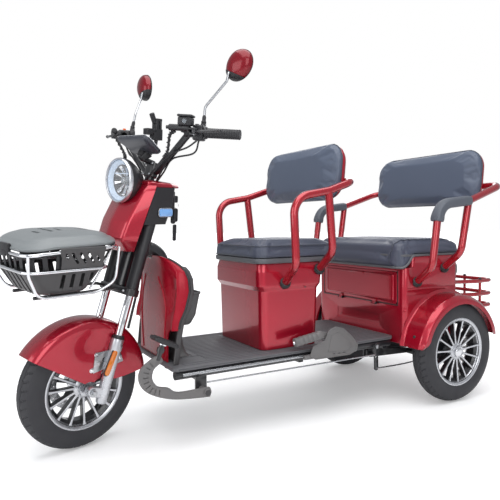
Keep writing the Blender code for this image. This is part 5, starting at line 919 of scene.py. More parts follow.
for x in (0.05, -0.05):
    foot = onAxis(0.34, x, 0.0303)
    knee = foot + steerForward * 0.03
    carry.append(roundedPath([foot, knee, (x * 1.4, -0.024, 0.538),
        (x * 1.4, -0.19, 0.538)], (0.012, 0.012), 6))
carryTubes = tubes(carry, 0.0055, blackPaint, 20)
piece("basketWires", joined(wires, midWire, hoopWires),
    chrome, "steering", ("basket_frame",), sharp=50)
piece("basketCarrier", carryTubes, blackPaint, "steering", sharp=50)

tubLevels = mm((548, 16), (549.5, 11), (556, 8), (570, 7.5),
    (600, 7.5), (615, 7.5), (616, 4.5), (620.5, 4.5), (621.2, 5.5))
outerRows = [basketLoop(z, inset, 10, 0.052) for z, inset in tubLevels]
innerRows = [basketLoop(max(z, 0.553), max(inset, 0.0075) + 0.0035, 10, 0.052) for z, inset in tubLevels]
tub = loft(outerRows + innerRows[::-1])
flutes = []
for k in range(5):
    y = -0.123 + 0.031 * k
    for s in (1, -1):
        flutes.append(plate(roundedRectangle(0.0062, 0.027,
            0.003, 5, (y, 0.584)), "yz", *span(0.104, 0.2, s)))
for x in (-0.062, -0.031, 0, 0.031, 0.062):
    flutes.append(plate(roundedRectangle(0.0062, 0.027, 0.003, 5, (x, 0.584)), "xz", -0.3, -0.16))
tub = cut(tub, *flutes)
bars = []
base, crest = basketLoop(0.6195, 0.0078, 12, 0.06), basketLoop(0.676, 0.0078, 12, 0.06)
loopLength = sum((b - a).length for a, b in zip(base, base[1:] + base[:1]))
walked, nextBar = 0.0, 0.0
for k in range(len(base)):
    a, b = base[k], base[(k + 1) % len(base)]
    top, topNext = crest[k], crest[(k + 1) % len(base)]
    length = (b - a).length
    while nextBar < walked + length:
        share = (nextBar - walked) / length
        foot, head = a.lerp(b, share), top.lerp(topNext, share)
        head.z -= noseDrop(head, 0.0125)
        if abs(foot.x) < 0.115 or foot.y < -0.142 or foot.y > 0.004:
            way = (b - a).normalized() * basket["barHalf"]
            thick = way.cross(zAxis).normalized() * 0.0014
            bars.append(loft([[q + way + thick, q - way + thick,
                q - way - thick, q + way - thick] for q in (foot, head)]))
        nextBar += loopLength / basket["bars"]
    walked += length
upperLine = [Vector((p.x, p.y, p.z - noseDrop(p, 0.0125))) for p in crest]
upperRing = tubes([upperLine], 0.003, linerPlastic, 12, closed=True)
piece("basketTub", tub, linerPlastic, "steering", ("basket_liner",), sharp=32)
piece("basketBars", joined(upperRing, *bars), blackPlastic, "steering", sharp=32)
for s, label in sides:
    sideRows = []
    for z, x in mm((623, 135.5), (640, 140.5), (660, 144), (676, 150),
            (683, 153), (690, 152.5), (693.5, 148), (693, 142)):
        first, last = (-0.139, -0.003) if z < 0.676 else (-0.146, -0.003)
        sideRows.append([Vector((x, y, z)) for y in (first, (first + last) / 2, last)])
    back = [[p - xAxis * 0.003 + zAxis * (-0.003 if row[0].z > 0.69 else 0) for p in row]
        for row in sideRows]
    panelSide = loft([front + rear[::-1] for front, rear in zip(sideRows, back)])
    holes = []
    for k, (low, high) in enumerate(mm((662, 672), (646, 674), (646, 674), (646, 674), (650, 660))):
        y = -0.124 + 0.0255 * k
        lean = 0.35 * (high - low)
        holes.append(plate(capsule((y - lean, high), (y + lean, low), 0.004, 5), "yz", 0.1, 0.2))
    piece("basketPanel" + label, onSide(cut(panelSide, *holes), s), linerPlastic, "steering", sharp=32)


def lidRow(inset, rise):
    outline = roundedRectangle(0.149 - inset, 0.1535 - inset, 0.075 * (1 - inset / 0.15), 12, (0, -0.0895))
    row = []
    for x, y in outline:
        edge = 0.6985 - 0.0135 * easing(-y, 0.11, 0.24) + 0.003 * easing(y, -0.02, 0.06)
        row.append(Vector((x, y, edge + rise)))
    return row


lidRises = mm((6, -3.5), (2, -3.5), (0, -1.5), (-0.8, 3), (2.5, 8), (12, 15),
    (20, 18), (24, 22.5), (32, 26.5), (48, 30.5), (76, 33.5), (110, 35), (138, 35.5))
lidBody = loft([lidRow(*pair) for pair in lidRises])
handShape = roundedRectangle(0.015, 0.036, 0.0145, 10, (0.006, 0.014))
slotShapes = [roundedRectangle(half, 0.0055, radius, 4, middle) for half,
    radius, middle in ((0.022, 0.003, (0.02, -0.16)),
    (0.045, 0.003, (0.01, -0.125)), (0.022, 0.003, (0.02, -0.092)))]
lidBody = cut(lidBody, plate(handShape, "xy", 0.706, 0.77),
    *[plate(shape, "xy", 0.722, 0.77) for shape in slotShapes])
piece("basketLidTop", lidBody, lidPlastic, "lid", ("basket_lid",), sharp=30)
# Black plates on the floors of the slot and handle recesses: painted shade for the dark seen into them
paintedShadePlates = [plate(shape, "xy", 0.7221, 0.7228) for shape in slotShapes]
piece("basketLidWells", joined(*paintedShadePlates, plate(handShape, "xy", 0.7061, 0.7068)), blackPlastic, "lid")
handLoop = roundedRectangle(0.0165, 0.0375, 0.016, 10, (0.006, 0.014))
handRim = tubes([[(x, y, 0.7315 - 0.21 * (y + 0.02)) for x, y in handLoop]],
    0.0019, lidPlastic, 10, closed=True)
piece("basketLidRim", handRim, lidPlastic, "lid")
under = [[p - zAxis * drop for p in lidRow(0.01, -0.004)] for drop in (0.001, 0.003)]
latch = joined(block((-0.016, 0.04), (-0.253, -0.24), (0.666, 0.7), 0.0035, 3),
    block((-0.008, 0.032), (-0.255, -0.25), (0.662, 0.68), 0.002, 3))
hinges = [rod((x - 0.011, 0.0665, 0.693), (x + 0.011, 0.0665, 0.693),
    0.0048, 20, 0.0006) for x in (-0.075, 0.075)]
piece("basketLatch", joined(latch, loft(under), *hinges), blackPlastic, "lid", sharp=32)
print("fender and basket ready")

# Front panel, headlight, lock and key
panel = {"levels": mm((655, 52, 138, 62, 160, 128), (699, 74, 101, 90, 155, 88),
    (757, 78, 122, 95, 175, 108), (810, 79, 152, 98, 194, 138),
    (863, 80, 183, 100, 214, 172), (879, 78, 200, 98, 220, 192)), "wall": 0.003}


def between(table, z):
    for low, high in zip(table, table[1:]):
        if z <= high[0]:
            share = (z - low[0]) / (high[0] - low[0])
            return [a + (b - a) * share for a, b in zip(low[1:], high[1:])]
    return list(table[-1][1:])


def panelRow(z, wall):
    cx, cy, rx, ry, my = between(panel["levels"], z)
    points = [(-rx, ry, z), (-cx, cy, z), (0, my, z), (cx, cy, z), (rx, ry, z)]
    outer = roundedPath(points, (0.016, 0.07, 0.016), 6)
    inner = [Vector((p.x * (1 - wall / rx), p.y + wall, p.z)) for p in outer]
    return outer + inner[::-1]


heights = [0.655 + 0.224 * k / 28 for k in range(29)]
panelMesh = loft([panelRow(z, panel["wall"]) for z in heights])
capOutline = mm((76, 199), (97.5, 221), (92, 290), (70, 338))
capOutline = capOutline + [(-x, y) for x, y in reversed(capOutline)]
capLine = roundedPath([(x, y, 0) for x, y in capOutline + capOutline[:2]], (0.012,) * 8, 5)
capCentre = Vector((0, 0.262, 0))
capRows = []
for z, inset, dome in ((0.8715, 0.004, 0.0), (0.8725, 0.0, 0.0), (0.877, -0.0012, 0.1),
        (0.8805, 0.001, 0.4), (0.8825, 0.006, 0.7), (0.884, 0.016, 0.9), (0.885, 0.034, 1.0)):
    row = []
    for point in capLine[7:-1]:
        flat = Vector((point.x, point.y, 0))
        inward = (capCentre - flat).normalized() * inset
        lift = dome * max(0.0, 0.013 - 0.075 * max(0.0, flat.y - 0.22))
        row.append(flat + inward + zAxis * (z + lift))
    capRows.append(row)
capPlate = loft(capRows)
piece("frontPanel", panelMesh, redPaint, "steering", ("front_panel",), sharp=30)
piece("frontPanelCap", capPlate, redPaint, "steering", sharp=30)
lampCentre = Vector((0, 0.138, 0.891))
lampBack = turned(mm((70, 4), (75, 6), (75.2, 14), (71, 27), (58, 47), (40, 67),
    (20, 84), (0, 90), (0, 60), (50, 30), (64, 14)), lampCentre, yAxis, 96, ring=True)
piece("headlightShell", lampBack, blackPlastic, "steering", ("headlight_bowl",), sharp=34)
bezel = turned(mm((74.5, 8), (76.2, 2), (75.5, -4), (73, -8), (70, -7.5),
    (68.2, -3), (68, 6), (69, 8)), lampCentre, yAxis, 96, ring=True)
piece("headlightBezel", bezel, castSilver, "steering")
# The frosted ring and the hood above the lamp carry a faint painted glow, emission of their own colour; the
# bulbs are not lit
frostedPaintedGlow = finish("frostedRing", (0.5, 0.6, 0.74), (0.58, 0.68, 0.8),
    (0.35, 0.5), 0.0, 0.2, 0.1, 30, 400, glow=0.1)
lightRing = turned(mm((68.2, 0.5), (66, -2), (62, 1), (56, 8), (52, 15),
    (51, 19), (54, 19), (60, 12), (68.2, 6)), lampCentre, yAxis, 96, ring=True)
piece("headlightLightRing", lightRing, frostedPaintedGlow, "steering")
dish = turned(mm((51.2, 10), (48, 20), (40, 29), (25, 34), (0, 35), (0, 37), (27, 36.5),
    (43, 31.5), (51.5, 20.5), (53.5, 11)), lampCentre, yAxis, 96, ring=True)
piece("headlightDish", dish, blackPaint, "steering")
fin = loft([[Vector((x * w, d, r)) for x, d in ((-1, 0.02 + rise), (1, 0.02 + rise), (0.55, 0.015 + rise),
    (-0.55, 0.015 + rise))] for r, w, rise in mm((16, 2.2, 10), (30, 4.2, 6), (44, 6.6, 0), (49, 7.2, -4))])
finPlaces = [(lampCentre, Matrix.Rotation(2 * pi * (k + 0.5) / 9, 3, "Y")) for k in range(9)]
piece("headlightFins", repeated(fin, finPlaces, chrome), chrome, "steering")
bulb = turned(mm((0, 0), (6, 0.8), (10.5, 3), (13, 7), (13.8, 14), (13.8, 24), (0, 24)),
    lampCentre + yAxis * 0.01, yAxis, 48)
hood = block((-0.04, 0.04), (0.1445, 0.164), (0.913, 0.916), 0.001)
piece("headlightBulbs", bulb, lampGlass, "steering")
piece("headlightHood", hood, frostedPaintedGlow, "steering")
coverRows = mm((68, 1), (64, -4.5), (54, -9.5), (40, -13.5), (22, -16), (0, -16.8),
    (0, -15.3), (22, -14.5), (39.6, -12.1), (53.3, -8.2), (63, -3.2), (66.2, 1))
cover = turned(coverRows, lampCentre, yAxis, 96, ring=True)
clearCover = finish("clearCover", (0.97, 0.98, 1.0), (0.95, 0.97, 0.99), (0.03, 0.05), 0.0, 0.0, Alpha=0.08)
piece("headlightCover", cover, clearCover, "steering", ("headlight_lens",))
lampArm = joined(block((-0.03, 0.03), (0.205, 0.232), (0.845, 0.874), 0.004),
    block((-0.012, 0.012), (0.17, 0.232), (0.8825, 0.8925), 0.003))
piece("headlightBracket", lampArm, blackPaint, "steering")

lockPivot = Vector((0.03, 0.3325, 0.832))
lockRing = turned(mm((7.5, 2), (12.5, 2), (13, 0.5), (13, -4), (7.5, -4)), lockPivot, yAxis, 40, ring=True)
piece("lockRing", lockRing, chrome, "steering")
keyBlade = block((0.0288, 0.0312), (0.329, 0.352), (0.8285, 0.8355), 0.0006)
keyHead = plate(roundedRectangle(0.0085, 0.0125, 0.0055, 6, (0.3575, 0.832)), "yz", 0.0275, 0.0325, 0.0012)
fobRing = turned(mm((10.5, 0.8), (11.2, 0), (10.5, -0.8), (9.8, 0)),
    (0.03, 0.36, 0.811), xAxis, 32, ring=True)
fob = []
for x, top, tall, wide in ((0.036, 0.8, 0.05, 0.0095), (0.024, 0.796, 0.054, 0.0085)):
    fob.append(plate(roundedRectangle(wide, tall / 2, 0.008, 6, (0.352, top - tall / 2)),
        "yz", x - 0.0045, x + 0.0045, 0.0018))
tag = plate(roundedRectangle(0.0075, 0.03, 0.005, 6, (0.3555, 0.71)), "yz", 0.028, 0.032, 0.001)
piece("ignitionKey", joined(keyBlade, keyHead), blackPlastic, "key", ("ignition_key",))
piece("keyRing", fobRing, chrome, "key")
piece("keyFobs", joined(*fob, tag), blackPlastic, "key")
blueBody = plate(roundedRectangle(0.027, 0.013, 0.008, 8, (0.259, 0.7885)), "yz", 0.093, 0.107, 0.004)
piece("blueCap", blueBody, clearBlue, "steering")
blueFrame = [[Vector((0.1, y, z)) for y, z in roundedRectangle(0.0285, 0.0142, 0.009, 8, (0.259, 0.7885))]]
piece("blueCapFrame", tubes(blueFrame, 0.0018, steel, 10, closed=True), steel, "steering", sharp=60)
blueStem = rod((0.085, 0.259, 0.7885), (0.096, 0.259, 0.7885), 0.011, 24, 0.001)
piece("blueCapStem", blueStem, blackPlastic, "steering")
print("front panel ready")

# Cockpit: handlebar, grips, controls, levers, mirrors, display and hoses
barFoot, barCorner = Vector((0.034, 0.27, 0.927)), Vector((0.192, 0.279, 1.058))
barEnd = Vector((0.333, 0.3665, 1.054))
along = (barEnd - barCorner).normalized()
back = zAxis.cross(along).normalized()
barAxes = Matrix((along, back, along.cross(back))).transposed().to_4x4()
barFrame = Matrix.Translation(barCorner) @ barAxes


def atBar(mesh, side):
    mesh.transform(barFrame)
    return onSide(mesh, side)


def barPoint(local, side):
    return toSide(barFrame @ Vector(local), side)


mirrorLook = Vector((-0.18, 0.98, -0.05)).normalized()
mirrorAcross = zAxis.cross(mirrorLook).normalized()
mirrorTall = mirrorLook.cross(mirrorAcross).normalized()
mirrorMajor = mirrorAcross * -0.62 + mirrorTall * 0.78
mirrorMinor = mirrorAcross * 0.78 + mirrorTall * 0.62


# Loops of the mirror's egg-shaped outline, each given as (scale, depth behind the glass)
def mirrorForm(centre, rows, closed=False, count=56):
    loops = []
    for scale, depth in rows:
        loop = []
        for k in range(count):
            angle = 2 * pi * k / count
            reach = 0.0545 * cos(angle) + 0.003 * cos(angle) ** 2
            wide = 0.0465 * sin(angle) * (1.0 + 0.1 * cos(angle))
            loop.append(centre + (mirrorMajor * reach + mirrorMinor * wide) * scale - mirrorLook * depth)
        loops.append(loop)
    return loft(loops, closed)


barPath = roundedPath([other(barEnd), other(barCorner), other(barFoot),
    barFoot, barCorner, barEnd], (0.03, 0.025, 0.025, 0.03), 10)
piece("handlebarTube", tubes([barPath], 0.0115, blackPaint, 32),
    blackPaint, "steering", ("handlebar",), sharp=50)
gripLine = mm((11.8, 53), (19, 53), (19.5, 55.5), (19, 58), (16, 59.5))
for k in range(12):
    start = 0.064 + 0.0082 * k
    gripLine += [(0.0161, start), (0.0161, start + 0.0058),
        (0.0154, start + 0.0064), (0.0154, start + 0.0076)]
gripLine += mm((16.1, 164), (16.5, 165.5), (16.5, 168),
    (15, 170), (6, 170.5), (0, 169.5), (0, 166), (11.8, 166))
for side, node, body, label in ((1, "left_grip", "steering", "Left"),
        (-1, "throttle_grip", "throttle", "Right")):
    grip = turned(gripLine, origin, xAxis, 48)
    piece("grip" + label, atBar(grip, side), gripRubber, body,
        (node,), sharp=32)

pod = {"x": (0.014, 0.049), "y": (-0.021, 0.023), "z": (-0.026, 0.024)}
for side, label in sides:
    node = "left_controls" if side > 0 else "right_controls"
    shellPod = block(pod["x"], pod["y"], pod["z"], 0.0065, 4)
    seam = block((0.01, 0.053), (-0.0006, 0.0006), (-0.027, -0.01))
    wheelSwitch = block((0.02, 0.034), (0.019, 0.0262), (-0.012, 0.004), 0.002, 3)
    mount = block((0.024, 0.046), (0.01, 0.042), (0.006, 0.0245), 0.004, 3)
    socketTop = turned(mm((0, 0), (9, 0), (9, 10), (7.2, 13), (0, 13)), (0.035, 0.032, 0.022), zAxis, 6)
    cylinder = turned(mm((0, -60.5), (8.5, -60.5), (10.5, -58.5), (10.5, -10),
        (11.5, -8), (11.5, 10), (0, 10)), (0, -0.036, 0.01), xAxis, 32)
    banjo = turned(mm((0, -9), (6.2, -9), (6.2, 0), (0, 0)), (-0.06, -0.036, 0.01), xAxis, 6)
    bracket = plate(mm((10, -47), (38, -47), (40, -30), (32, -16), (10, -16)), "xy", 0.0052, 0.01, 0.001)
    bracketLow = plate(mm((12, -46), (36, -46), (38, -30),
        (30, -16), (12, -16)), "xy", -0.0096, -0.0052, 0.001)
    collar = turned(mm((11.8, -12), (16.5, -12), (16.5, 12), (11.8, 12)),
        (-0.004, 0, 0), xAxis, 40, ring=True)
    neck = block((-0.022, 0.012), (-0.034, -0.008), (-0.004, 0.016), 0.004, 3)
    parts = [cut(shellPod, seam), wheelSwitch, mount, socketTop,
        cylinder, banjo, bracket, bracketLow, collar, neck]
    if side < 0:
        well = rod((0.038, 0.002, 0.0165), (0.038, 0.002, 0.034), 0.0062, 24)
        parts[0] = cut(parts[0], well)
    else:
        parts += [block((0.019, 0.03), (-0.01, 0.006), (0.0225, 0.0275), 0.0018, 3), turned(mm((0, 0),
            (5.2, 0), (5.2, 3.5), (4, 4.5), (0, 4.5)), (0.04, 0.0, 0.0235), zAxis, 24)]
    piece("controls" + label, atBar(joined(*parts), side), blackPlastic, "steering", (node,), sharp=32)
    tank = block((-0.0265, 0.0195), (-0.055, -0.019), (0.0165, 0.043), 0.0045, 4)
    lidTank = block((-0.0285, 0.0215), (-0.057, -0.017), (0.0434, 0.051), 0.003, 3)
    foot = turned(mm((0, 8.5), (8, 8.5), (8, 19), (0, 19)), (-0.0035, -0.036, 0.006), zAxis, 24)
    tiny = turned(mm((0, 0), (2.8, 0), (2.6, 1), (1.2, 1), (1.2, 0.4), (0, 0.4)), origin, zAxis, 14)
    if side > 0:
        piece("reservoir", atBar(joined(tank, lidTank, foot), side), blackPlastic, "steering", sharp=32)
        window = turned(mm((0, 0), (7.5, 0), (6.8, 1.2), (0, 1.4)), (-0.0035, -0.0552, 0.03), -yAxis, 32)
        piece("levelWindow", atBar(window, side), lampGlass, "steering")
        lidScrews = [(Vector((x, y, 0.0506)), facing(zAxis)) for x, y in ((-0.022, -0.052), (0.015, -0.022))]
        piece("reservoirScrews", atBar(repeated(tiny, lidScrews, steel), side), steel, "steering")

    bladePath = softPath(mm((26, -38, 0), (48, -50, 0), (80, -54, 2), (115, -60.2, 4)), 8)
    rows = []
    for k, point in enumerate(bladePath):
        nearby = bladePath[min(k + 1, len(bladePath) - 1)] - bladePath[max(k - 1, 0)]
        flat = nearby.cross(zAxis).normalized()
        wide, tall = 0.0052 - 0.001 * k / len(bladePath), 0.0046
        rows.append([point + flat * wide * cos(2 * pi * s / 16)
            + zAxis * tall * sin(2 * pi * s / 16) for s in range(16)])
    ball = turned(mm((0, -6.4), (3.4, -5.4), (5.8, -2.6), (6.4, 0), (5.8, 2.6), (3.4, 5.4), (0, 6.4)),
        bladePath[-1], (bladePath[-1] - bladePath[-2]), 24)
    eye = turned(mm((0, -4.8), (8.5, -4.8), (8.5, 4.8), (0, 4.8)), (0.026, -0.038, 0.0), zAxis, 32)
    lever = joined(loft(rows), ball, eye)
    piece("brakeLever" + label, atBar(lever, side), blackPaint, "left_lever" if side > 0 else "right_lever",
        ("left_brake_lever" if side > 0 else "right_brake_lever",), sharp=36)
    pin = turned(mm((0, -11.2), (4.5, -11.2), (4.5, 11.2), (0, 11.2)), (0.026, -0.038, 0.0), zAxis, 20)
    piece("leverPin" + label, atBar(pin, side), steel, "steering")

    footMirror, knee = barPoint((0.035, 0.032, 0.0345), 1), Vector((0.2, 0.334, 1.146))
    centre = Vector((0.273, 0.4155, 1.283)) if side > 0 else Vector((0.262, 0.427, 1.26))
    entry = centre + Vector((-0.0175, -0.033, -0.024))
    neckMirror = entry + Vector((0.0, -0.006, -0.027))
    stem = tubes([roundedPath([footMirror, knee, neckMirror, entry, entry + Vector((0.002, 0.024, 0.006))],
        (0.03, 0.012, 0.006), 8)], 0.0043, steel, 20)
    body = "left_mirror" if side > 0 else "right_mirror"
    piece("mirrorStem" + label, onSide(stem, side), steel, body,
        ("mirror_left" if side > 0 else "mirror_right",), sharp=50)
    boot = turned(mm((0, 0), (8.5, 0), (8.5, 6), (6.6, 8), (6.6, 20), (4.8, 26), (0, 26)),
        footMirror, knee - footMirror, 24)
    piece("mirrorBoot" + label, onSide(boot, side), blackPlastic, body)
    bowl = mirrorForm(centre, ((0.9, 0.0), (0.995, 0.0), (1.0, 0.004), (0.985, 0.01), (0.93, 0.0165),
        (0.82, 0.0222), (0.66, 0.0268), (0.46, 0.03), (0.22, 0.0318), (0.02, 0.0322)))
    rimRing = mirrorForm(centre, ((0.885, -0.0015), (0.985, -0.0018), (1.012, 0.0005),
        (1.012, 0.003), (0.99, 0.0034), (0.885, 0.0005)), closed=True)
    glass = mirrorForm(centre, ((0.888, 0.0002), (0.888, -0.0006), (0.87, -0.001)))
    skin = mirrorForm(centre, ((0.94, 0.001), (1.012, 0.001), (1.018, 0.005), (1.002, 0.0112),
        (0.946, 0.0178), (0.835, 0.0236), (0.675, 0.0282), (0.475, 0.0315), (0.23, 0.0333), (0.02, 0.0337)))
    below = block((-0.12, 0.12), (-0.12, 0.12), (0.0265, 0.14))
    below.transform(Matrix.Translation(centre) @ facing(mirrorMajor * -0.8 - mirrorTall * 0.6).to_4x4())
    piece("mirrorFoot" + label, onSide(combined(skin, [below], "INTERSECT"), side), blackPlastic, body)
    piece("mirrorShell" + label, onSide(bowl, side), mirrorRed, body)
    piece("mirrorRim" + label, onSide(rimRing, side), blackPlastic, body)
    piece("mirrorGlass" + label, onSide(glass, side), mirrorGlass, body)
    seatMirror = turned(mm((0, -4), (5.5, -4), (7.5, 4), (8, 12), (0, 14)),
        entry + Vector((0, 0.01, 0.002)), Vector((0, 1, 0.1)), 24)
    piece("mirrorSocket" + label, onSide(seatMirror, side), blackPlastic, body)

button = atBar(turned(mm((0, -3.5), (5.6, -3.5), (5.8, 5), (4.6, 7.2), (0, 7.6)),
    (0.038, 0.002, 0.024), zAxis, 32), -1)
orangePlastic = finish("orangePlastic", (0.8, 0.14, 0.02), (0.72, 0.11, 0.02), (0.3, 0.4))
piece("startButton", button, orangePlastic, "button", ("start_button",))

screen = {"middle": Vector((0, 0.217, 1.0145)), "halfX": 0.088, "halfY": 0.045, "corner": 0.016}
slope = Vector((0, 0.074, -0.051)).normalized()
screenUp = xAxis.cross(slope)


def screenForm(rows, closed=False):
    loops = []
    for height, inset in rows:
        outline = roundedRectangle(screen["halfX"] - inset,
            screen["halfY"] - inset, max(0.004, screen["corner"] - inset))
        loop = []
        for a, b in outline:
            narrow = 1.0 - 0.16 * max(0.0, b) / screen["halfY"]
            loop.append(screen["middle"] + xAxis * a * narrow + slope * b + screenUp * height)
        loops.append(loop)
    return loft(loops, closed)


slate = finish("displaySlate", (0.04, 0.043, 0.055),
    (0.052, 0.055, 0.068), (0.34, 0.44), 0.1, 0.2, 0.05, 10, 900)
displayBody = screenForm(mm((-10, 36), (-9.5, 18), (-7.8, 8), (-5, 2.5), (-1.5, 0.5), (3, 0), (4.2, 0.8)))
piece("displayBody", displayBody, slate, "steering", ("display",), sharp=40)
displayRim = screenForm(mm((3, -1.2), (4.4, -1.6), (5.8, -0.6), (5.8, 3.6), (4.4, 3.6)), closed=True)
piece("displayRim", displayRim, castSilver, "steering", sharp=40)
piece("displayGlass", screenForm([(0.0038, 0.0036), (0.0054, 0.0036)]), screenGlass, "steering")
stalkTop = screen["middle"] - screenUp * 0.005 + slope * 0.022
stalk = tubes([roundedPath([stalkTop, stalkTop - screenUp * 0.03, onAxis(0.797, 0, 0.0)], (0.01,), 8)],
    0.009, blackPlastic, 24)
boot = turned(mm((11, 0), (13, 0), (12.5, -10), (12, -22), (10, -24), (9.5, -4)),
    stalkTop, screenUp, 32, ring=True)
shroud = loft([[stalkTop + xAxis * a * s + slope * b * s - screenUp * h for a,
    b in roundedRectangle(0.02, 0.016, 0.008, 6, (0, 0.016))] for h,
    s in ((0.002, 1.0), (0.008, 0.96), (0.018, 0.8), (0.03, 0.62))])
piece("displayStalk", joined(stalk, boot, shroud), blackPlastic, "steering", sharp=40)

holder = {"middle": Vector((-0.05, 0.318, 1.062)), "halfX": 0.015}
holderParts = []
for y, z, halfY, halfZ in mm((4, 0, 19, 20), (1, 34, 6, 18), (14, 34, 5, 18),
        (8, 52, 12, 5), (-30, 8, 13, 11), (-14, 10, 10, 6)):
    middle = holder["middle"] + Vector((0, y, z))
    holderParts.append(block((middle.x - holder["halfX"], middle.x + holder["halfX"]),
        (middle.y - halfY, middle.y + halfY), (middle.z - halfZ, middle.z + halfZ), 0.0025, 3))
holderParts.append(rod(holder["middle"] + Vector((0, -0.002, 0.04)),
    holder["middle"] + Vector((0, -0.018, 0.074)), 0.0095, 24, 0.002))
holderParts.append(tubes([softPath([holder["middle"] + Vector((0, 0.006, -0.012)),
    (-0.056, 0.318, 1.01), (-0.072, 0.29, 0.972), (-0.08, 0.274, 0.966)], 6)], 0.007, blackPlastic, 16))
piece("barHolder", joined(*holderParts), blackPlastic, "steering", sharp=32)

hosePaths, thinPaths = [], []
for side in (1, -1):
    first = barPoint((-0.04, -0.026, 0.0), side)
    second = barPoint((-0.058, -0.03, -0.014), side)
    hosePaths.append(softPath([first, second, (side * 0.126, 0.238, 0.99),
        (side * 0.09, 0.226, 0.944), (side * 0.05, 0.22, 0.906), (side * 0.018, 0.224, 0.8835)], 10))
    low = barPoint((0.022, 0.008, -0.0255), side)
    thinPaths.append(softPath([low, low + Vector((-side * 0.03, -0.014, -0.022)),
        (side * 0.118, 0.262, 0.985), (side * 0.07, 0.266, 0.938), (side * 0.03, 0.262, 0.884)], 10))
    thinPaths.append(softPath([low + Vector((side * 0.006, 0.004, 0)),
        low + Vector((-side * 0.018, 0.004, -0.04)), (side * 0.112, 0.274, 0.972),
        (side * 0.06, 0.276, 0.925), (side * 0.022, 0.27, 0.884)], 10))
piece("brakeHoseRuns", tubes(hosePaths, 0.0042, gripRubber, 16),
    gripRubber, "steering", ("brake_hoses",), sharp=60)
piece("switchCables", tubes(thinPaths, 0.003, gripRubber, 12), gripRubber, "steering", sharp=60)
wraps = []
for side in (1, -1):
    route = softPath([barPoint((-0.044, -0.027, -0.003), side), barPoint((-0.058, -0.03, -0.014), side),
        (side * 0.126, 0.238, 0.99), (side * 0.112, 0.233, 0.972)], 22)
    coil = []
    for k, point in enumerate(route):
        ahead3 = (route[min(k + 1, len(route) - 1)] - route[max(k - 1, 0)]).normalized()
        u = ahead3.cross(yAxis).normalized()
        v = ahead3.cross(u)
        coil.append(point + (u * cos(k * 1.25) + v * sin(k * 1.25)) * 0.0054)
    wraps.append(coil)
piece("cableWraps", tubes(wraps, 0.0019, blackPlastic, 8), blackPlastic, "steering", sharp=60)
frontHose = softPath(mm((40, 200, 690), (40, 195, 673), (40, 201, 614),
    (40, 198, 551), (40, 183, 482), (40, 157, 386)), 8)
piece("frontBrakeHose", tubes([frontHose], 0.0045, gripRubber, 16), gripRubber, "steering", sharp=60)
print("cockpit ready")

# Frame, deck, leg shield with its liner, and the two brakes at the left of the deck
neck = onAxis(0.485)
downPath = roundedPath([neck, neck + Vector((0, 0.098, -0.006)),
    (0, 0.322, 0.52), (0, 0.334, 0.219)], (0.06, 0.12), 14)
piece("downTube", tubes([downPath], 0.0278, blackPaint, 40), blackPaint, "chassis", sharp=50)
headTube = turned(mm((16, 354), (26.8, 354), (26.8, 362), (25.8, 365), (25.8, 588),
    (26.8, 591), (26.8, 598.5), (16, 598.5)), onAxis(0), steerAxis, 48, ring=True)
piece("headTube", headTube, blackPaint, "chassis", sharp=32)
rails = [[(s * 0.205, 0.262, 0.246), (s * 0.205, 1.205, 0.246)] for s in (1, -1)]
piece("sideRails", tubes(rails, 0.0148, blackPaint, 28), blackPaint, "chassis", sharp=50)

deck = {"half": 0.2225, "front": 0.252, "rear": 1.2197, "low": 0.2603, "top": 0.275, "rib": 0.0012}
slab = plate(roundedRectangle(deck["half"], (deck["rear"] - deck["front"]) / 2, 0.02, 8,
    (0, (deck["rear"] + deck["front"]) / 2)), "xy", deck["low"], deck["top"] - 0.001, 0.0035)
ribParts = []
for k in range(21):
    x = -0.2 + 0.02 * k
    if abs(x) > 0.178:
        spans = [(0.3, 1.205)]
    elif k % 5 == 0:
        spans = [(0.33, 0.604), (0.905, 1.205)]
    else:
        spans = [(0.395, 0.604), (0.915, 1.2)]
    for low, high in spans:
        ribParts.append(block((x - 0.0042, x + 0.0042), (low, high),
            (deck["top"] - 0.003, deck["top"] + deck["rib"]), 0.0014, 2))
for x in (-0.06, 0.06):
    ribParts.append(block((x - 0.04, x + 0.04), (0.372, 0.379),
        (deck["top"] - 0.003, deck["top"] + deck["rib"]), 0.0014, 2))
pins = turned(mm((0, 0), (3.2, 0), (2.6, 1.6), (0, 1.8)), origin, zAxis, 10)
pinPlaces = []
for column in range(7):
    for row in range(16):
        for y in (0.408 + 0.012 * row, 0.922 + 0.017 * row):
            pinPlaces.append((Vector((-0.15 + 0.05 * column, y, deck["top"] - 0.0012)), Matrix.Identity(3)))
piece("floorDeck", joined(slab, *ribParts), greyPlastic,
    "chassis", ("floor_deck",), sharp=32)
piece("deckPins", repeated(pins, pinPlaces, greyPlastic), greyPlastic, "chassis")
skirts = [[(x, 0.272, z), (x, 1.2, z)] for x in (0.2215, -0.2215) for z in (0.264, 0.2705)]
piece("deckEdges", tubes(skirts, 0.0028, greyPlastic, 12), greyPlastic, "chassis", sharp=50)
railGlint = [[(0.219, 0.285, 0.248), (0.219, 0.905, 0.248)]]
piece("deckSideTube", tubes(railGlint, 0.006, steel, 20), steel, "chassis", sharp=50)

shield = {"levels": mm((275.3, 190, 264, 262.5), (370, 194.5, 276, 262.5), (419, 194.5, 286, 262.5),
    (457, 195, 305, 262.5), (516, 195, 321, 262.5), (556, 191, 320, 262), (585, 180, 312, 261.5),
    (602, 165, 300, 260.7), (614, 148, 287, 260), (625, 122, 273, 258.5), (632, 90, 262, 257)),
    "wall": 0.004, "column": (0.8, 0.09, 0.012), "hollow": (0.54, 0.11, 0.007)}


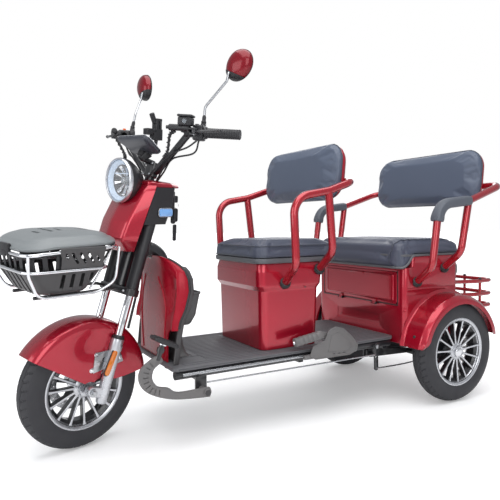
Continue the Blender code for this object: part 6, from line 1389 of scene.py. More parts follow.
def shieldPoint(z, share, back=0.0):
    half, edge, middle = between(shield["levels"], z)
    y = middle + (edge - middle) * share ** 2.4 + back
    at, width, height = shield["column"]
    y -= height * exp(-((share - at) / width) ** 2) * easing(z, 0.3, 0.38) * easing(-z, -0.6, -0.54)
    at, width, height = shield["hollow"]
    y += height * exp(-((share - at) / width) ** 2) * easing(z, 0.4, 0.45) * easing(-z, -0.59, -0.55)
    return Vector((half * sin(share * pi / 2) ** 0.9, y, z))


def shieldRow(z, count=26):
    shares = [1 - k / count for k in range(count + 1)]
    outer = [shieldPoint(z, share) for share in shares]
    inner = [Vector((max(p.x - 0.0032, 0), p.y + shield["wall"], z)) for p in outer]
    return outer + [other(p) for p in outer[-2::-1] + inner] + inner[-2::-1]


shieldHeights = [0.2753 + (0.632 - 0.2753) * k / 44 for k in range(45)]
shieldMesh = loft([shieldRow(z) for z in shieldHeights])
corners = [plate(roundedRectangle(0.06, 0.09, 0.034, 10, (side * 0.198, 0.3)),
    "xz", 0.2, 0.33) for side in (1, -1)]
shieldMesh = cut(shieldMesh, *corners)
piece("legShield", shieldMesh, shieldRed, "chassis", ("leg_shield",), sharp=32)
shieldRibs = []
for side in (1, -1):
    for k in range(4):
        path = []
        for step in range(13):
            t = step / 12
            z = 0.448 + 0.075 * t
            point = shieldPoint(z, 0.46 + 0.034 * k + 0.07 * t, 0.001)
            path.append(toSide(point, side))
        shieldRibs.append(path)
piece("shieldRibs", tubes(shieldRibs, 0.0024, shieldRed, 12), shieldRed, "chassis", sharp=60)
panelEdges = []
for side in (1, -1):
    path = []
    for z, share in ((0.285, 0.33), (0.33, 0.36), (0.4, 0.4),
            (0.45, 0.4), (0.5, 0.34), (0.54, 0.24), (0.56, 0.2)):
        point = shieldPoint(z, share)
        path.append(toSide(point, side))
    panelEdges.append(softPath(path, 8))
piece("shieldFolds", tubes(panelEdges, 0.0032, shieldRed, 12), shieldRed, "chassis", sharp=60)
edgePaths = []
for side in (1, -1):
    edgePaths.append([toSide(shieldPoint(z, 1.0, 0.004), side) for z in shieldHeights[15:-1]])
piece("shieldSeal", tubes(edgePaths, 0.004, blackPlastic, 14), blackPlastic, "chassis", sharp=60)

linerRows = []
for z in [0.276 + 0.32 * k / 24 for k in range(25)]:
    half, edge, middle = between(shield["levels"], z)
    edge += 0.0046
    outer = roundedPath([(half - 0.001, edge, z), (half - 0.007, edge + 0.02, z),
        (0.1, edge + 0.022, z), (0.048, edge + 0.012, z)], (0.01, 0.02), 5)
    inner = [Vector((p.x - 0.002, p.y - 0.0032, z)) for p in outer]
    linerRows.append(outer + inner[::-1])
linerHalf = loft(linerRows)
pocketOut = mm((398, 30, 16, 330), (404, 34.5, 19, 332), (430, 40, 23, 342),
    (500, 44, 26.5, 353), (502, 46.5, 29, 353), (509.5, 46.5, 29, 354))
pocketIn = mm((509.5, 41.5, 24, 354), (430, 37, 20, 342), (407, 31, 15, 334))
pocket = loft([level(roundedRectangle(halfX, halfY, 0.014, 6, (0.118, y)), z) for z,
    halfX, halfY, y in pocketOut + pocketIn])
for side, label in sides:
    piece("shieldLiner" + label, onSide(joined(linerHalf, pocket), side), linerPlastic, "chassis",
        ("leg_shield_liner",) if side > 0 else (), sharp=32)
saddle = block((-0.06, 0.06), (0.342, 0.36), (0.436, 0.484), 0.004)
footRows = [[Vector((a, b + 0.318 + lift * 0.3, z)) for a,
    b in roundedRectangle(w, d, 0.014, 6)] for z, w, d, lift in mm((275.5, 90, 52, 0),
    (285, 78, 44, 0), (310, 62, 36, 10), (360, 50, 30, 20), (430, 44, 26, 30))]
piece("tubeShroud", joined(saddle, loft(footRows)), linerPlastic, "chassis", sharp=32)

pedalPlate = {"arm": mm((194, 336), (166, 322), (134, 297), (127, 264), (144, 229), (186, 203),
    (250, 184), (355, 174), (367, 178), (371, 190), (367, 202), (355, 206), (258, 206),
    (222, 226), (188, 236), (170, 262), (176, 292), (204, 314)), "x": (0.2445, 0.2565)}
armLine = softPath([(0, y, z) for y, z in pedalPlate["arm"] + pedalPlate["arm"][:1]], 5)[:-1]
pedalArm = plate([(p.y, p.z) for p in armLine], "yz", *pedalPlate["x"], 0.002)
pedalSlots = []
for k in range(9):
    angle = radians(128 + 17 * k)
    middle = Vector((0, 0.196 + 0.047 * cos(angle), 0.268 + 0.05 * sin(angle)))
    outward = Vector((0, cos(angle), sin(angle)))
    tip, root = middle + outward * 0.0085, middle - outward * 0.006
    pedalSlots.append(plate(capsule((root.y, root.z), (tip.y, tip.z), 0.0019, 5), "yz", 0.2535, 0.27))
pedalArm = cut(pedalArm, *pedalSlots)
shaft = rod((0.2505, 0.188, 0.318), (0.2505, 0.209, 0.374), 0.0088, 28)
collarPedal = turned(mm((8.8, -7), (12.5, -7), (12.5, 7), (8.8, 7)),
    (0.2505, 0.1995, 0.3487), Vector((0, 0.021, 0.056)), 28, ring=True)
bossPedal = joined(rod((0.21, 0.355, 0.19), (0.259, 0.355, 0.19), 0.011, 32, 0.001),
    rod((0.259, 0.355, 0.19), (0.2625, 0.355, 0.19), 0.0125, 6, 0.001))
piece("pedalArm", joined(pedalArm, bossPedal), coverPlastic, "foot_pedal", ("brake_pedal",), sharp=32)
piece("pedalShaft", joined(shaft, collarPedal), blackPaint, "foot_pedal")
washer = turned(mm((0, -3.5), (12.5, -3.5), (12.5, 0), (7, 3), (0, 3)),
    (0.2515, 0.2072, 0.3665), Vector((0, 0.021, 0.056)), 28)
piece("pedalNut", washer, chrome, "foot_pedal")
padSlope = Vector((0, 0.078, -0.037)).normalized()
padNormal = xAxis.cross(padSlope)
padRows = [[Vector((0.2535, 0.212, 0.374)) + xAxis * a + padSlope * b + padNormal * h
    for a, b in roundedRectangle(0.032 - i, 0.044 - i, 0.012, 6)] for h,
    i in mm((-7, 5), (-4, 1), (0, 0), (4, 0.5), (6.5, 3.5))]
padRibs = []
for k in range(6):
    middle = Vector((0.2535, 0.212, 0.374)) + padSlope * (-0.03 + 0.012 * k) + padNormal * 0.0068
    padRibs.append([middle - xAxis * 0.022, middle + xAxis * 0.022])
piece("pedalPad", joined(loft(padRows), tubes(padRibs, 0.0022, gripRubber, 10)),
    gripRubber, "foot_pedal", sharp=32)

rodRoute = [[(0.234, 0.366, 0.217), (0.234, 1.104, 0.211)]]
piece("brakeRod", tubes(rodRoute, 0.003, steel, 14), steel, "pull_rod", ("brake_rod",))
crankPlate = plate(capsule((1.115, 0.243), (1.117, 0.155), 0.0105, 8), "yz", 0.2245, 0.23, 0.0012)
crankHole = rod((0.21, 1.116, 0.2), (0.25, 1.116, 0.2), 0.0045, 20)
crankBoss = rod((0.2245, 1.115, 0.243), (0.2345, 1.115, 0.243), 0.012, 28, 0.001)
piece("bellCrank", joined(cut(crankPlate, crankHole), crankBoss), blackPaint, "crank", ("bell_crank",))
rearRod = [softPath(mm((227.5, 1117, 155), (227.5, 1160, 152), (227.5, 1306, 152), (227.5, 1395, 165)), 6)]
piece("rearBrakeRod", tubes(rearRod, 0.0028, steel, 14), steel, "rear_suspension")
pivotCaps = joined(rod((0.206, 1.115, 0.243), (0.2245, 1.115, 0.243), 0.007, 24),
    turned(mm((0, 0), (8.5, 0), (8.5, 4), (0, 5)), (0.2345, 1.115, 0.243), xAxis, 6),
    turned(mm((0, 0), (7.2, 0), (7.2, 3), (0, 3.5)), (0.2415, 0.93, 0.272), xAxis, 6))
piece("pivotBolts", pivotCaps, steel, "chassis", sharp=30)

bladeLine = mm((845, 334), (822, 330), (818, 314), (842, 312), (905, 272),
    (922, 258), (940, 260), (944, 278), (928, 296), (900, 318))
blade = plate([(p.y, p.z) for p in softPath([(0, y, z) for y, z in bladeLine + bladeLine[:1]], 5)[:-1]],
    "yz", 0.2357, 0.2413, 0.001)
gripStart, gripEnd = Vector((0.2385, 0.836, 0.3235)), Vector((0.2385, 0.712, 0.307))
length = (gripEnd - gripStart).length
gripProfile = mm((0, 0), (13.5, 0), (15.5, 4))
for k in range(5):
    start = 0.012 + 0.0195 * k
    gripProfile += [(0.0168, start), (0.0172, start + 0.006),
        (0.0168, start + 0.012), (0.015, start + 0.0165)]
gripProfile += [(0.0165, length - 0.01), (0.016, length - 0.003), (0.012, length),
    (0.0066, length), (0.0066, length - 0.017), (0, length - 0.017)]
piece("parkingLever", blade, coverPlastic, "parking_lever", ("parking_brake_lever",))
piece("parkingGrip", turned(gripProfile, gripStart, gripEnd - gripStart, 40), coverPlastic, "parking_lever")
buttonPiece = turned(mm((0, -7), (6, -7), (6, 4), (5, 5.8), (0, 6.2)), gripEnd, gripEnd - gripStart, 32)
piece("parkingButton", buttonPiece, chrome, "parking_button", ("parking_brake_button",))
coverLine = mm((775, 252), (800, 238), (960, 236), (995, 248), (1000, 268),
    (975, 300), (930, 338), (895, 348), (862, 338), (842, 300), (790, 286))
coverRound = roundedPath([(0, y, z) for y, z in coverLine[-1:] + coverLine + coverLine[:1]],
    (0.008,) * 11, 5)[1:-1]
coverPlate = plate([(p.y, p.z) for p in coverRound], "yz", 0.247, 0.25, 0.001)
stamp = plate(mm((856, 258), (950, 254), (972, 270), (940, 304),
    (905, 328), (872, 318)), "yz", 0.2495, 0.2522, 0.0016)
coverSlots = [plate(capsule((y, 0.247), (y + 0.011, 0.2465), 0.0016, 5),
    "yz", 0.24, 0.26) for y in (0.88, 0.904, 0.928)]
piece("parkingCover", cut(joined(coverPlate), *coverSlots),
    coverPlastic, "chassis", ("parking_brake_cover",))
piece("parkingStamp", stamp, coverPlastic, "chassis")
rim = [[Vector((0.2495, p.y, p.z)) for p in coverRound]]
piece("parkingCoverRim", tubes(rim, 0.0022, coverPlastic, 10, closed=True), coverPlastic, "chassis")
clip = block((0.236, 0.248), (0.752, 0.8), (0.24, 0.256), 0.0015)
piece("railClip", clip, coverPlastic, "chassis")
print("frame, deck and brakes ready")

# Seats: boxes, bands, cushions swollen by a short cloth run, armrests and backrests
bandGrey = finish("seatBand", (0.085, 0.088, 0.098),
    (0.105, 0.108, 0.118), (0.4, 0.5), 0.0, 0.0, 0.15, 10, 1100)


swell = {"quality": 5, "mass": 0.3, "stretch": 22, "bending": 1.2, "frames": 20}


def puffed(mesh, voxel, limit, held, pressure=3.0):
    obj = linked("pad", mesh)
    remesh = obj.modifiers.new("even cells", "REMESH")
    remesh.mode = "VOXEL"
    remesh.voxel_size = voxel
    even = settled(obj)
    obj.modifiers.remove(remesh)
    obj.data = even
    start = [v.co.copy() for v in even.vertices]
    group = obj.vertex_groups.new(name="held")
    group.add([k for k, co in enumerate(start) if held(co)], 1.0, "REPLACE")
    cloth = obj.modifiers.new("swell", "CLOTH")
    settings = cloth.settings
    settings.quality = swell["quality"]
    settings.mass = swell["mass"]
    settings.tension_stiffness = settings.compression_stiffness = swell["stretch"]
    settings.bending_stiffness = swell["bending"]
    settings.use_pressure = True
    settings.uniform_pressure_force = pressure
    settings.vertex_group_mass = "held"
    settings.effector_weights.gravity = 0.0
    for frameNumber in range(1, swell["frames"] + 1):
        scene.frame_set(frameNumber)
    result = settled(obj)
    scene.frame_set(1)
    for vertex, base in zip(result.vertices, start):
        move = vertex.co - base
        if move.length > limit:
            vertex.co = base + move.normalized() * limit
    bpy.data.objects.remove(obj)
    return result


def surfacePath(mesh, points, lift=0.0006):
    tree = BVHTree.FromPolygons([v.co.copy() for v in mesh.vertices],
        [tuple(f.vertices) for f in mesh.polygons])
    out = []
    for point in points:
        place, normal, _, _ = tree.find_nearest(point)
        out.append(place + normal * lift)
    return out


def cushionBody(half, front, rear, low, thick, corner, nose=None):
    middle, reach = (front + rear) / 2, (rear - front) / 2
    rows = []
    for share, inset in ((0.0, 0.006), (0.06, 0.003), (0.3, 0.003), (0.55, 0.003),
            (0.7, 0.005), (0.82, 0.01), (0.91, 0.019), (0.97, 0.034), (1.0, 0.062)):
        outline = roundedRectangle(half - inset, reach - inset, corner - inset * 0.35, 8, (0, middle))
        rows.append(level(outline, low + (thick - 0.004) * share))
    body = loft(rows)
    return union(body, nose) if nose else body


seatBox = {"levels": mm((275.3, 173, 617, 868), (484, 176.8, 614.1, 873.8), (492, 177, 614, 874),
    (510, 184, 602, 884), (518, 184.2, 602, 885), (557, 183.2, 602, 890.2), (565, 183, 602, 891),
    (588, 176.5, 607, 890.2), (593, 175, 608, 890)), "corner": 0.03, "wall": 0.004}


def boxRow(z, inset=0.0):
    half, front, rear = between(seatBox["levels"], z)
    return loopAt(half, front, rear, seatBox["corner"], z, inset, 8)


boxHeights = [0.2753, 0.2775, 0.32, 0.38, 0.44, 0.484, 0.488, 0.492, 0.497,
    0.504, 0.51, 0.514, 0.518, 0.535, 0.557, 0.561, 0.565, 0.575, 0.588, 0.593]
outerBox = [boxRow(z, 0.0012 if k == 0 else 0.0) for k, z in enumerate(boxHeights)]
innerBox = [boxRow(z, seatBox["wall"]) for z in boxHeights]
piece("frontSeatBox", loft(outerBox + innerBox[::-1], closed=True),
    redPaint, "chassis", ("front_seat_box",), sharp=24)
boxScrews = [(Vector((0.1838, y, 0.5)), facing(xAxis)) for y in (0.7, 0.8)]
piece("seatBoxScrews", repeated(tiny, boxScrews, blackPlastic), blackPlastic, "chassis")

seat = {"half": 0.19, "front": 0.592, "rear": 0.96, "low": 0.6136, "thick": 0.062, "corner": 0.045}
band = loft([loopAt(0.1885, 0.5935, 0.9585, 0.043, z, inset) for z,
    inset in mm((593.5, 4), (596, 1), (600, 0), (608.5, 0), (612, 1.2), (613.2, 4))])
hingesFront = [rod((x - 0.017, 0.903, 0.5862), (x + 0.017, 0.903, 0.5862),
    0.0055, 20, 0.0006) for x in (0.11, -0.11)]
piece("frontSeatBand", joined(band, *hingesFront), bandGrey, "front_seat", ("front_seat_base",), sharp=30)
frontCushion = puffed(cushionBody(seat["half"], seat["front"], seat["rear"], seat["low"],
    seat["thick"], seat["corner"]), 0.0055, 0.009, lambda co: co.z < 0.6175)
pad = piece("frontCushion", frontCushion.copy(), seatSlate,
    "front_seat", ("front_seat_cushion",), subdivide=1)
seams = [surfacePath(frontCushion, loopAt(0.19, 0.592, 0.96, 0.045, 0.616)),
    surfacePath(frontCushion, loopAt(0.19, 0.592, 0.96, 0.045, 0.662, 0.004))]
piece("frontCushionPiping", tubes(seams, 0.0021, pipingSlate, 10, closed=True),
    pipingSlate, "front_seat", sharp=60)

rearSeat = {"half": 0.285, "front": 1.19, "rear": 1.56, "low": 0.6108, "thick": 0.054, "corner": 0.045}
noseSide = [Vector((0, y, z)) for y, z in mm((1190.5, 564), (1196.5, 559),
    (1210, 558.5), (1226, 565), (1240, 579), (1257, 598.5), (1257, 632), (1190.5, 632))]
nosePlan = loft([[Vector((x, y, z)) for x, y in roundedRectangle(0.2815,
    0.05, 0.036, 8, (0, 1.2405))] for z in (0.54, 0.6, 0.65)])
nose = combined(loft([[p + xAxis * x for p in noseSide] for x in (-0.3, 0.0, 0.3)]), [nosePlan], "INTERSECT")
rearRaw = cushionBody(rearSeat["half"], rearSeat["front"], rearSeat["rear"],
    rearSeat["low"], rearSeat["thick"], rearSeat["corner"], nose)
rearCushion = puffed(rearRaw, 0.0065, 0.01, lambda co: co.z < 0.563 or (co.z < 0.615 and co.y > 1.24))
pad = piece("rearCushion", rearCushion.copy(), seatSlate, "rear_seat", ("rear_seat_cushion",), subdivide=1)
frontSeam = [Vector((x, 1.189, 0.564)) for x in [-0.24 + 0.02 * k for k in range(25)]]
sideSeam = []
for s in (1, -1):
    sideSeam.append(surfacePath(rearCushion, softPath([(s * 0.25, 1.189, 0.564),
        (s * 0.28, 1.206, 0.562), (s * 0.283, 1.23, 0.57), (s * 0.285, 1.262, 0.609),
        (s * 0.285, 1.3, 0.615), (s * 0.285, 1.45, 0.615), (s * 0.285, 1.53, 0.615)], 8)))
    sideSeam.append(surfacePath(rearCushion, softPath([(s * 0.225, 1.186, 0.566),
        (s * 0.226, 1.186, 0.61), (s * 0.232, 1.2, 0.652), (s * 0.238, 1.25, 0.668),
        (s * 0.243, 1.4, 0.67), (s * 0.243, 1.54, 0.662)], 10)))
topSeam = [surfacePath(rearCushion, frontSeam)]
piece("rearCushionPiping", tubes(sideSeam + topSeam, 0.0021, pipingSlate, 10),
    pipingSlate, "rear_seat", sharp=60)
rearBand = loft([loopAt(0.2835, 1.196, 1.558, 0.04, z, inset) for z,
    inset in mm((600.3, 4), (602, 1), (605, 0), (608.5, 0), (610.5, 3))])
apron = block((-0.256, 0.256), (1.2, 1.256), (0.5563, 0.604), 0.004)
lipPath = softPath(mm((-283.5, 1300, 605.5), (-283, 1262, 602), (-282.5, 1236, 573.5), (-280, 1212, 558.5),
    (-262, 1196, 557.5), (-235, 1192.5, 557.5), (0, 1192, 557.5), (235, 1192.5, 557.5), (262, 1196, 557.5),
    (280, 1212, 558.5), (282.5, 1236, 573.5), (283, 1262, 602), (283.5, 1300, 605.5)), 8)
piece("rearSeatBand", joined(rearBand, apron, tubes([lipPath], 0.005, bandGrey, 14)),
    bandGrey, "rear_seat", ("rear_seat_base",), sharp=32)
print("cushions ready")

armSizes = {"tube": 0.0146, "front": {"post": 0.291, "wall": 0.185,
    "mouths": ((0.712, 0.518), (0.867, 0.562)), "corner": (0.291, 0.676, 0.829),
    "joint": (0.296, 0.8245, 0.8547), "back": (0.288, 0.952, 0.896)}, "rear": {"post": 0.38,
    "wall": 0.28, "mouths": ((1.29, 0.494), (1.448, 0.545)), "corner": (0.38, 1.298, 0.806),
    "joint": (0.3855, 1.464, 0.823), "back": (0.376, 1.682, 0.893)}}


def armPaths(sizes):
    inside, post = sizes["wall"] - 0.018, sizes["post"]
    (fy, fz), (ry, rz) = sizes["mouths"]
    rise = (post - sizes["wall"]) * 0.72
    back = Vector(sizes["back"])
    front = roundedPath([(inside, fy, fz - 0.012), (post, fy - 0.026, fz + rise),
        sizes["corner"], sizes["joint"], back, (0, back.y, back.z)], (0.05, 0.07, 0, 0.05), 14)
    rear = roundedPath([(inside, ry, rz - 0.012), (post, ry - 0.02, rz + rise), sizes["joint"]], (0.05,), 14)
    return front, rear


def grommet(place, direction):
    return turned(mm((14.8, -6), (20, -6), (21.5, -2), (21.5, 3), (19.5, 4.5), (19.5, 7),
        (20.5, 8.5), (19.5, 11.5), (16.5, 13), (14.8, 13)), place, direction, 32, ring=True)


for label, node in (("front", "front_armrest_frame"), ("rear", "rear_armrest_frame")):
    sizes = armSizes[label]
    rail, rear = armPaths(sizes)
    route = rail + [other(p) for p in rail[-2::-1]]
    frameTubes = tubes([route, rear, [other(p) for p in rear]], armSizes["tube"], redTube, 32)
    piece(label + "ArmTubes", frameTubes, redTube, "chassis",
        (node,), sharp=60)
    rubber = []
    for s in (1, -1):
        for path in (rail, rear):
            first, second = path[0], path[1]
            share = (sizes["wall"] - first.x) / (second.x - first.x)
            mouth, way = first.lerp(second, share), second - first
            if s < 0:
                mouth, way = other(mouth), other(way)
            rubber.append(grommet(mouth, way))
    piece(label + "Grommets", joined(*rubber), gripRubber, "chassis", sharp=34)

padProfile = mm((-22.2, 6), (-20.5, 13.5), (-15, 19), (-6, 21.5), (6, 21.5), (15, 19), (20.5, 13.5),
    (22.2, 6), (21.5, -6), (19, -14), (13.5, -17.5), (-13.5, -17.5), (-19, -14), (-21.5, -6))
rail, rear = armPaths(armSizes["rear"])
covered = [p for p in rail if p.z > 0.738 and p.y < 1.615]
covered = [covered[0] + (covered[0] - covered[1]).normalized() * 0.01] + covered
fine = []
for a, b in zip(covered, covered[1:]):
    count = max(1, int((b - a).length / 0.01))
    fine += [a.lerp(b, k / count) for k in range(count)]
fine.append(covered[-1])
rows = []
for k, point in enumerate(fine):
    way = (fine[min(k + 1, len(fine) - 1)] - fine[max(k - 1, 0)]).normalized()
    top = xAxis.cross(way).normalized()
    flare = 1.0 + 0.16 * max(0.0, 1 - k / 5)
    shrink = 0.9 if k in (0, len(fine) - 1) else 1.0
    rows.append([point + xAxis * u * shrink * flare + top * v * shrink * (1.0 + 0.25 * (flare - 1)) for u,
        v in padProfile])
armPad = loft(rows)
for s, label in sides:
    piece("armPad" + label, onSide(armPad.copy(), s), armGrey, "chassis", sharp=26)

backs = {"front": {"half": 0.255, "low": 0.825, "high": 1.045, "front": 0.882, "lean": 0.1, "corner": 0.075},
    "rear": {"half": 0.31, "low": 0.812, "high": 1.058, "front": 1.608, "lean": 0.1, "corner": 0.08}}


def backRow(sizes, depth, inset, steps=10):
    middle = (sizes["low"] + sizes["high"]) / 2
    outline = roundedRectangle(sizes["half"] - inset, (sizes["high"] - sizes["low"]) / 2 - inset,
        sizes["corner"] - inset * 0.4, steps, (0, middle))
    return [Vector((x, sizes["front"] + depth + sizes["lean"] * (z - middle), z)) for x, z in outline]


for label in ("front", "rear"):
    sizes = backs[label]
    rows = [backRow(sizes, depth, inset) for depth, inset in mm((5, 60), (5.8, 34),
        (8, 20), (13, 10), (20, 4.5), (27, 3), (38, 3), (43.5, 5), (45, 10))]
    raw = loft(rows)
    middle = (sizes["low"] + sizes["high"]) / 2
    swollen = puffed(raw, 0.006, 0.008, lambda co: co.y > sizes["front"]
        + 0.0395 + sizes["lean"] * (co.z - middle), 2.5)
    pad = piece(label + "Backrest", swollen.copy(), backSlate,
        "chassis", (label + "_backrest_pad",), subdivide=1)
    seam = surfacePath(swollen, backRow(sizes, 0.04, 0.002, 14))
    piece(label + "BackrestPiping", tubes([seam], 0.0022, pipingSlate, 10, closed=True),
        pipingSlate, "chassis", sharp=60)
    plateRows = [backRow(sizes, 0.0454 + depth, 0.008 + inset) for depth, inset in mm((0, 0),
        (4, -1.2), (10, -1), (16, 2), (20, 7), (22, 14), (22.5, 24), (20.5, 34), (19, 60))]
    piece(label + "BackPlate", loft(plateRows), redPaint, "chassis", sharp=40)
print("armrests and backrests ready")

# Rear body, door, fenders, lamps and rack
rearBox = {"half": 0.28, "front": 1.22, "rear": 1.535, "corner": 0.022, "wall": 0.004}


def bodyRow(z, front, inset=0.0):
    return loopAt(rearBox["half"], front, rearBox["rear"], rearBox["corner"], z, inset, 8)


stages = mm((245, 1220, 2), (246.8, 1220, 0), (400, 1220, 0), (550, 1220, 0),
    (554, 1220.6, 0.4), (555.8, 1222.5, 1), (556.2, 1230, 1),
    (556.2, 1256, 1), (557, 1260.2, 0), (598, 1260.2, 0), (600, 1261.2, 1))
outside = [bodyRow(z, front, inset) for z, front, inset in stages]
inner = [bodyRow(z, front + 0.0005, rearBox["wall"]) for z,
    front in mm((245, 1220), (551.5, 1220), (551.8, 1260.5), (600, 1260.5))]
shell = loft(outside + inner[::-1], closed=True)
shelf = block((-0.277, 0.277), (1.223, 1.532), (0.3785, 0.3825))
doorHole = block((-0.2385, 0.2385), (1.2, 1.2265), (0.4038, 0.539))
slotOutline = roundedRectangle(0.14, 0.026, 0.01, 6, (0, 0.326))
slotCut = plate(slotOutline, "xz", 1.205, 1.2222, 0.0)
sideCuts = []
for s in (1, -1):
    sideCuts.append(plate(mm((1232, 442.5), (1472, 440), (1462, 452),
        (1448, 461.8), (1236, 465)), "yz", *span(0.2782, 0.29, s)))
    dish = mm((1363.5, 574.5), (1268, 575.5), (1254, 569), (1247, 556),
        (1246, 540), (1249, 523), (1257, 508), (1270, 498.5), (1286, 494.5),
        (1306, 496), (1326, 504), (1345, 520), (1360, 540), (1368, 558))
    sideCuts.append(plate(dish, "yz", *span(0.2784, 0.29, s)))
    sideCuts.append(plate(mm((1218, 474.2), (1534, 470),
        (1534, 468.6), (1218, 472.8)), "yz", *span(0.2788, 0.29, s)))
    sideCuts.append(plate(mm((1470, 590), (1534, 576), (1534, 574.6), (1470, 588.6)),
        "yz", *span(0.2788, 0.29, s)))
body = cut(union(shell, shelf), doorHole, slotCut, *sideCuts)
piece("rearBodyShell", body, redPaint, "chassis", ("rear_body",), sharp=26, bevel=0.0009)
seals = [block((0.2392, 0.2425), (1.219, 1.2206), (0.399, 0.543)), block((-0.2425, -0.2392),
    (1.219, 1.2206), (0.399, 0.543)), block((-0.2392, 0.2392), (1.219, 1.2206), (0.399, 0.4028))]
cheeks = []
for x in (0.11, -0.11):
    for d in (-0.0125, 0.0125):
        cheeks.append(rod((x + d - 0.002, 1.2125, 0.3975),
            (x + d + 0.002, 1.2125, 0.3975), 0.0055, 18, 0.0006))
        cheeks.append(block((x + d - 0.002, x + d + 0.002), (1.2125, 1.2215), (0.3935, 0.4005)))
piece("bodySeals", joined(*seals, *cheeks), blackPlastic, "chassis")
doorLoops = [[Vector((x, y, z)) for x, z in roundedRectangle(halfX, halfZ, radius, 6, (0, 0.47125))] for y,
    halfX, halfZ, radius in mm((1223.2, 235, 64.3, 10), (1222.5, 236.6, 65.9, 12), (1219.6, 237, 66.2, 12),
    (1218.6, 236.2, 65.4, 12), (1218.4, 221.5, 56, 9), (1217.6, 219.5, 54.5, 8), (1215.8, 218, 53.5, 8),
    (1215.2, 216.5, 52.5, 7), (1215.2, 208.5, 49, 6), (1216.6, 207, 48, 6), (1216.6, 150, 30, 6))]
doorParts = [loft(doorLoops), block((-0.045, 0.045), (1.2108, 1.216), (0.519, 0.525), 0.0015)]
for x in (0.11, -0.11):
    doorParts.append(rod((x - 0.01, 1.2125, 0.3975), (x + 0.01, 1.2125, 0.3975), 0.005, 18, 0.0006))
    doorParts.append(block((x - 0.01, x + 0.01), (1.2135, 1.2195), (0.3975, 0.412)))
piece("rearDoor", joined(*doorParts), redPaint, "rear_door", ("rear_box_door",), sharp=32)

rearAxle = Vector((0, layout["wheelbase"], layout["tyreRadius"]))
crownLine = roundedPath(mm((280.2, 0, 250), (287, 0, 236.5), (310, 0, 235.2),
    (366, 0, 233), (385.8, 0, 217.5), (386.2, 0, 198.5)), (0.008, 0.01, 0.018, 0.012), 6)


def fenderRow(angle, lift, pull):
    outer = []
    for k, p in enumerate(crownLine):
        share = k / (len(crownLine) - 1)
        radius = p.z
        if share > 0.75:
            radius += lift * (share - 0.75) / 0.25
        outer.append(Vector((p.x - pull * share * share, 0, radius)))
    innerLine = []
    for k, p in enumerate(outer):
        way = (outer[min(k + 1, len(outer) - 1)] - outer[max(k - 1, 0)]).normalized()
        innerLine.append(p + Vector((-abs(way.z), 0, -abs(way.x))) * 0.003)
    innerLine[0].x = outer[0].x
    rolled = [innerLine[-1] + Vector((-0.0016, 0, 0.0006)),
        innerLine[-1] + Vector((-0.0016, 0, 0.0046)), innerLine[-1] + Vector((0.0002, 0, 0.0056))]
    section = outer + rolled[:2] + [rolled[2]] + innerLine[-3::-1]
    spin = Vector((0, cos(angle), sin(angle)))
    return [rearAxle + xAxis * p.x + spin * p.z for p in section]


tailLamp = {"half": 0.03, "tall": 0.038, "corner": 0.0295, "middle": (0.236, 0.536)}


def lampLoops(rows, keep):
    half, tall, corner = tailLamp["half"], tailLamp["tall"], tailLamp["corner"]
    return [[Vector((x, rearBox["rear"] + back, z)) for x, z in roundedRectangle(half - inset,
        tall - inset, corner - inset * keep, 10, tailLamp["middle"])] for back, inset in rows]


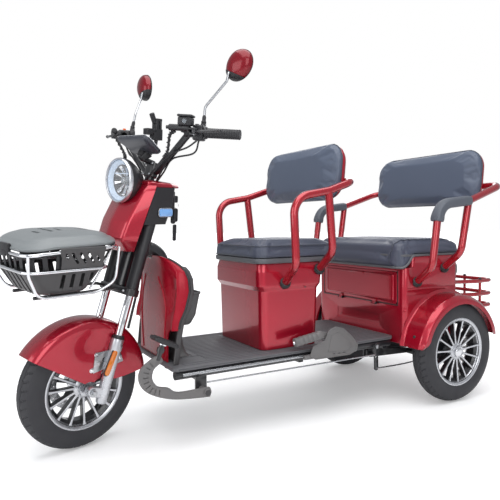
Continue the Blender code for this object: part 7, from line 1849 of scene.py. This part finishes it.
angles = [radians(13 + 158 * k / 72) for k in range(73)]
fenderRows = []
for k, angle in enumerate(angles):
    away = min(k, 72 - k) / 5.0
    ease = (1 - min(1.0, away)) ** 2
    fenderRows.append(fenderRow(angle, 0.02 * ease, 0.014 * ease))
rearFender = loft(fenderRows)
for s, label in sides:
    piece("rearFender" + label, onSide(rearFender.copy(), s), redPaint,
        "chassis", ("rear_fender_" + label.lower(),), sharp=40)
    bolts = []
    for degrees in (160, 24):
        spin = Vector((0, cos(radians(degrees)), sin(radians(degrees))))
        place = rearAxle + xAxis * 0.332 + spin * 0.234
        bolts.append(turned(mm((0, 4), (4.5, 3.6), (6.2, 1.6), (6.2, -1), (0, -1)), place, spin, 20))
    piece("fenderBolts" + label, onSide(joined(*bolts), s), blackPlastic, "chassis")
    lampRows = lampLoops(mm((0.3, 0), (10, 0), (12.5, 1.2), (12.5, 5), (11, 6), (11, 12)), 0.9)
    piece("lampBase" + label, onSide(loft(lampRows), s), blackPlastic,
        "chassis", ("tail_light_" + label.lower(),), sharp=30)
    lensRows = lampLoops(mm((11.2, 6.5), (15, 6.8), (18.5, 9.5), (20.8, 14.5), (21.8, 21)), 1.0)
    piece("lampLens" + label, onSide(loft(lensRows), s), redLens,
        "chassis", sharp=60)

hoops = []
for z in (0.366, 0.418, 0.476):
    side = [(0.25, 1.5352, z), (0.25, 1.565, z), (0.28, 1.65, z), (0.28, 1.768, z)]
    hoops.append(roundedPath(side + [(-x, y, z) for x, y, z in side[::-1]],
        (0.02, 0.03, 0.04, 0.04, 0.03, 0.02), 10))
uprights = [[Vector((x, y, 0.352)), Vector((x, y, 0.42)), Vector((x, y, 0.488))] for x,
    y in mm((280, 1680), (-280, 1680), (130, 1768), (-130, 1768))]
feet = [turned(mm((0, -0.2), (17.5, -0.2), (17.5, 2.2), (12, 3.4), (0, 3.4)),
    (x, 1.5354, z), yAxis, 28) for z in (0.366, 0.418, 0.476) for x in (0.25, -0.25)]
rackTubes = joined(tubes(hoops, 0.0086, redTube, 20), tubes(uprights, 0.006, redTube, 16), *feet)
piece("rearRack", rackTubes, redTube, "chassis", ("rear_rack",), sharp=60)
rackEnds = [turned(mm((0, 3), (5, 2.5), (6.8, 0.6), (6.8, -6), (0, -6)), (x, y, z), zAxis * way, 18) for x,
    y in mm((280, 1680), (-280, 1680), (130, 1768), (-130, 1768)) for z, way in ((0.488, 1), (0.352, -1))]
piece("rackCaps", joined(*rackEnds), blackPlastic, "chassis")
print("rear body ready")

# Nodes that keep their CAD shape
slotFinish = {"red_plastic": redPaint, "red_paint": redTube, "black_paint": blackPaint, "chrome": chrome,
    "cast_aluminium": castSilver, "tyre": tyreRubber, "rubber": gripRubber, "black_plastic": blackPlastic,
    "grey_plastic": greyPlastic, "lid_plastic": lidPlastic, "seat_cover": seatSlate, "clear_lens": lampGlass,
    "red_lens": redLens, "battery_case": batteryCase, "orange_plastic": orangePlastic}
for name in frame["nodes"]:
    obj = bpy.data.objects.get(name)
    if obj is None or obj.type != "MESH":
        continue
    for holder in obj.material_slots:
        label = holder.material.name.split(".")[0] if holder.material else ""
        if label in slotFinish:
            holder.material = slotFinish[label]

low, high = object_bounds()
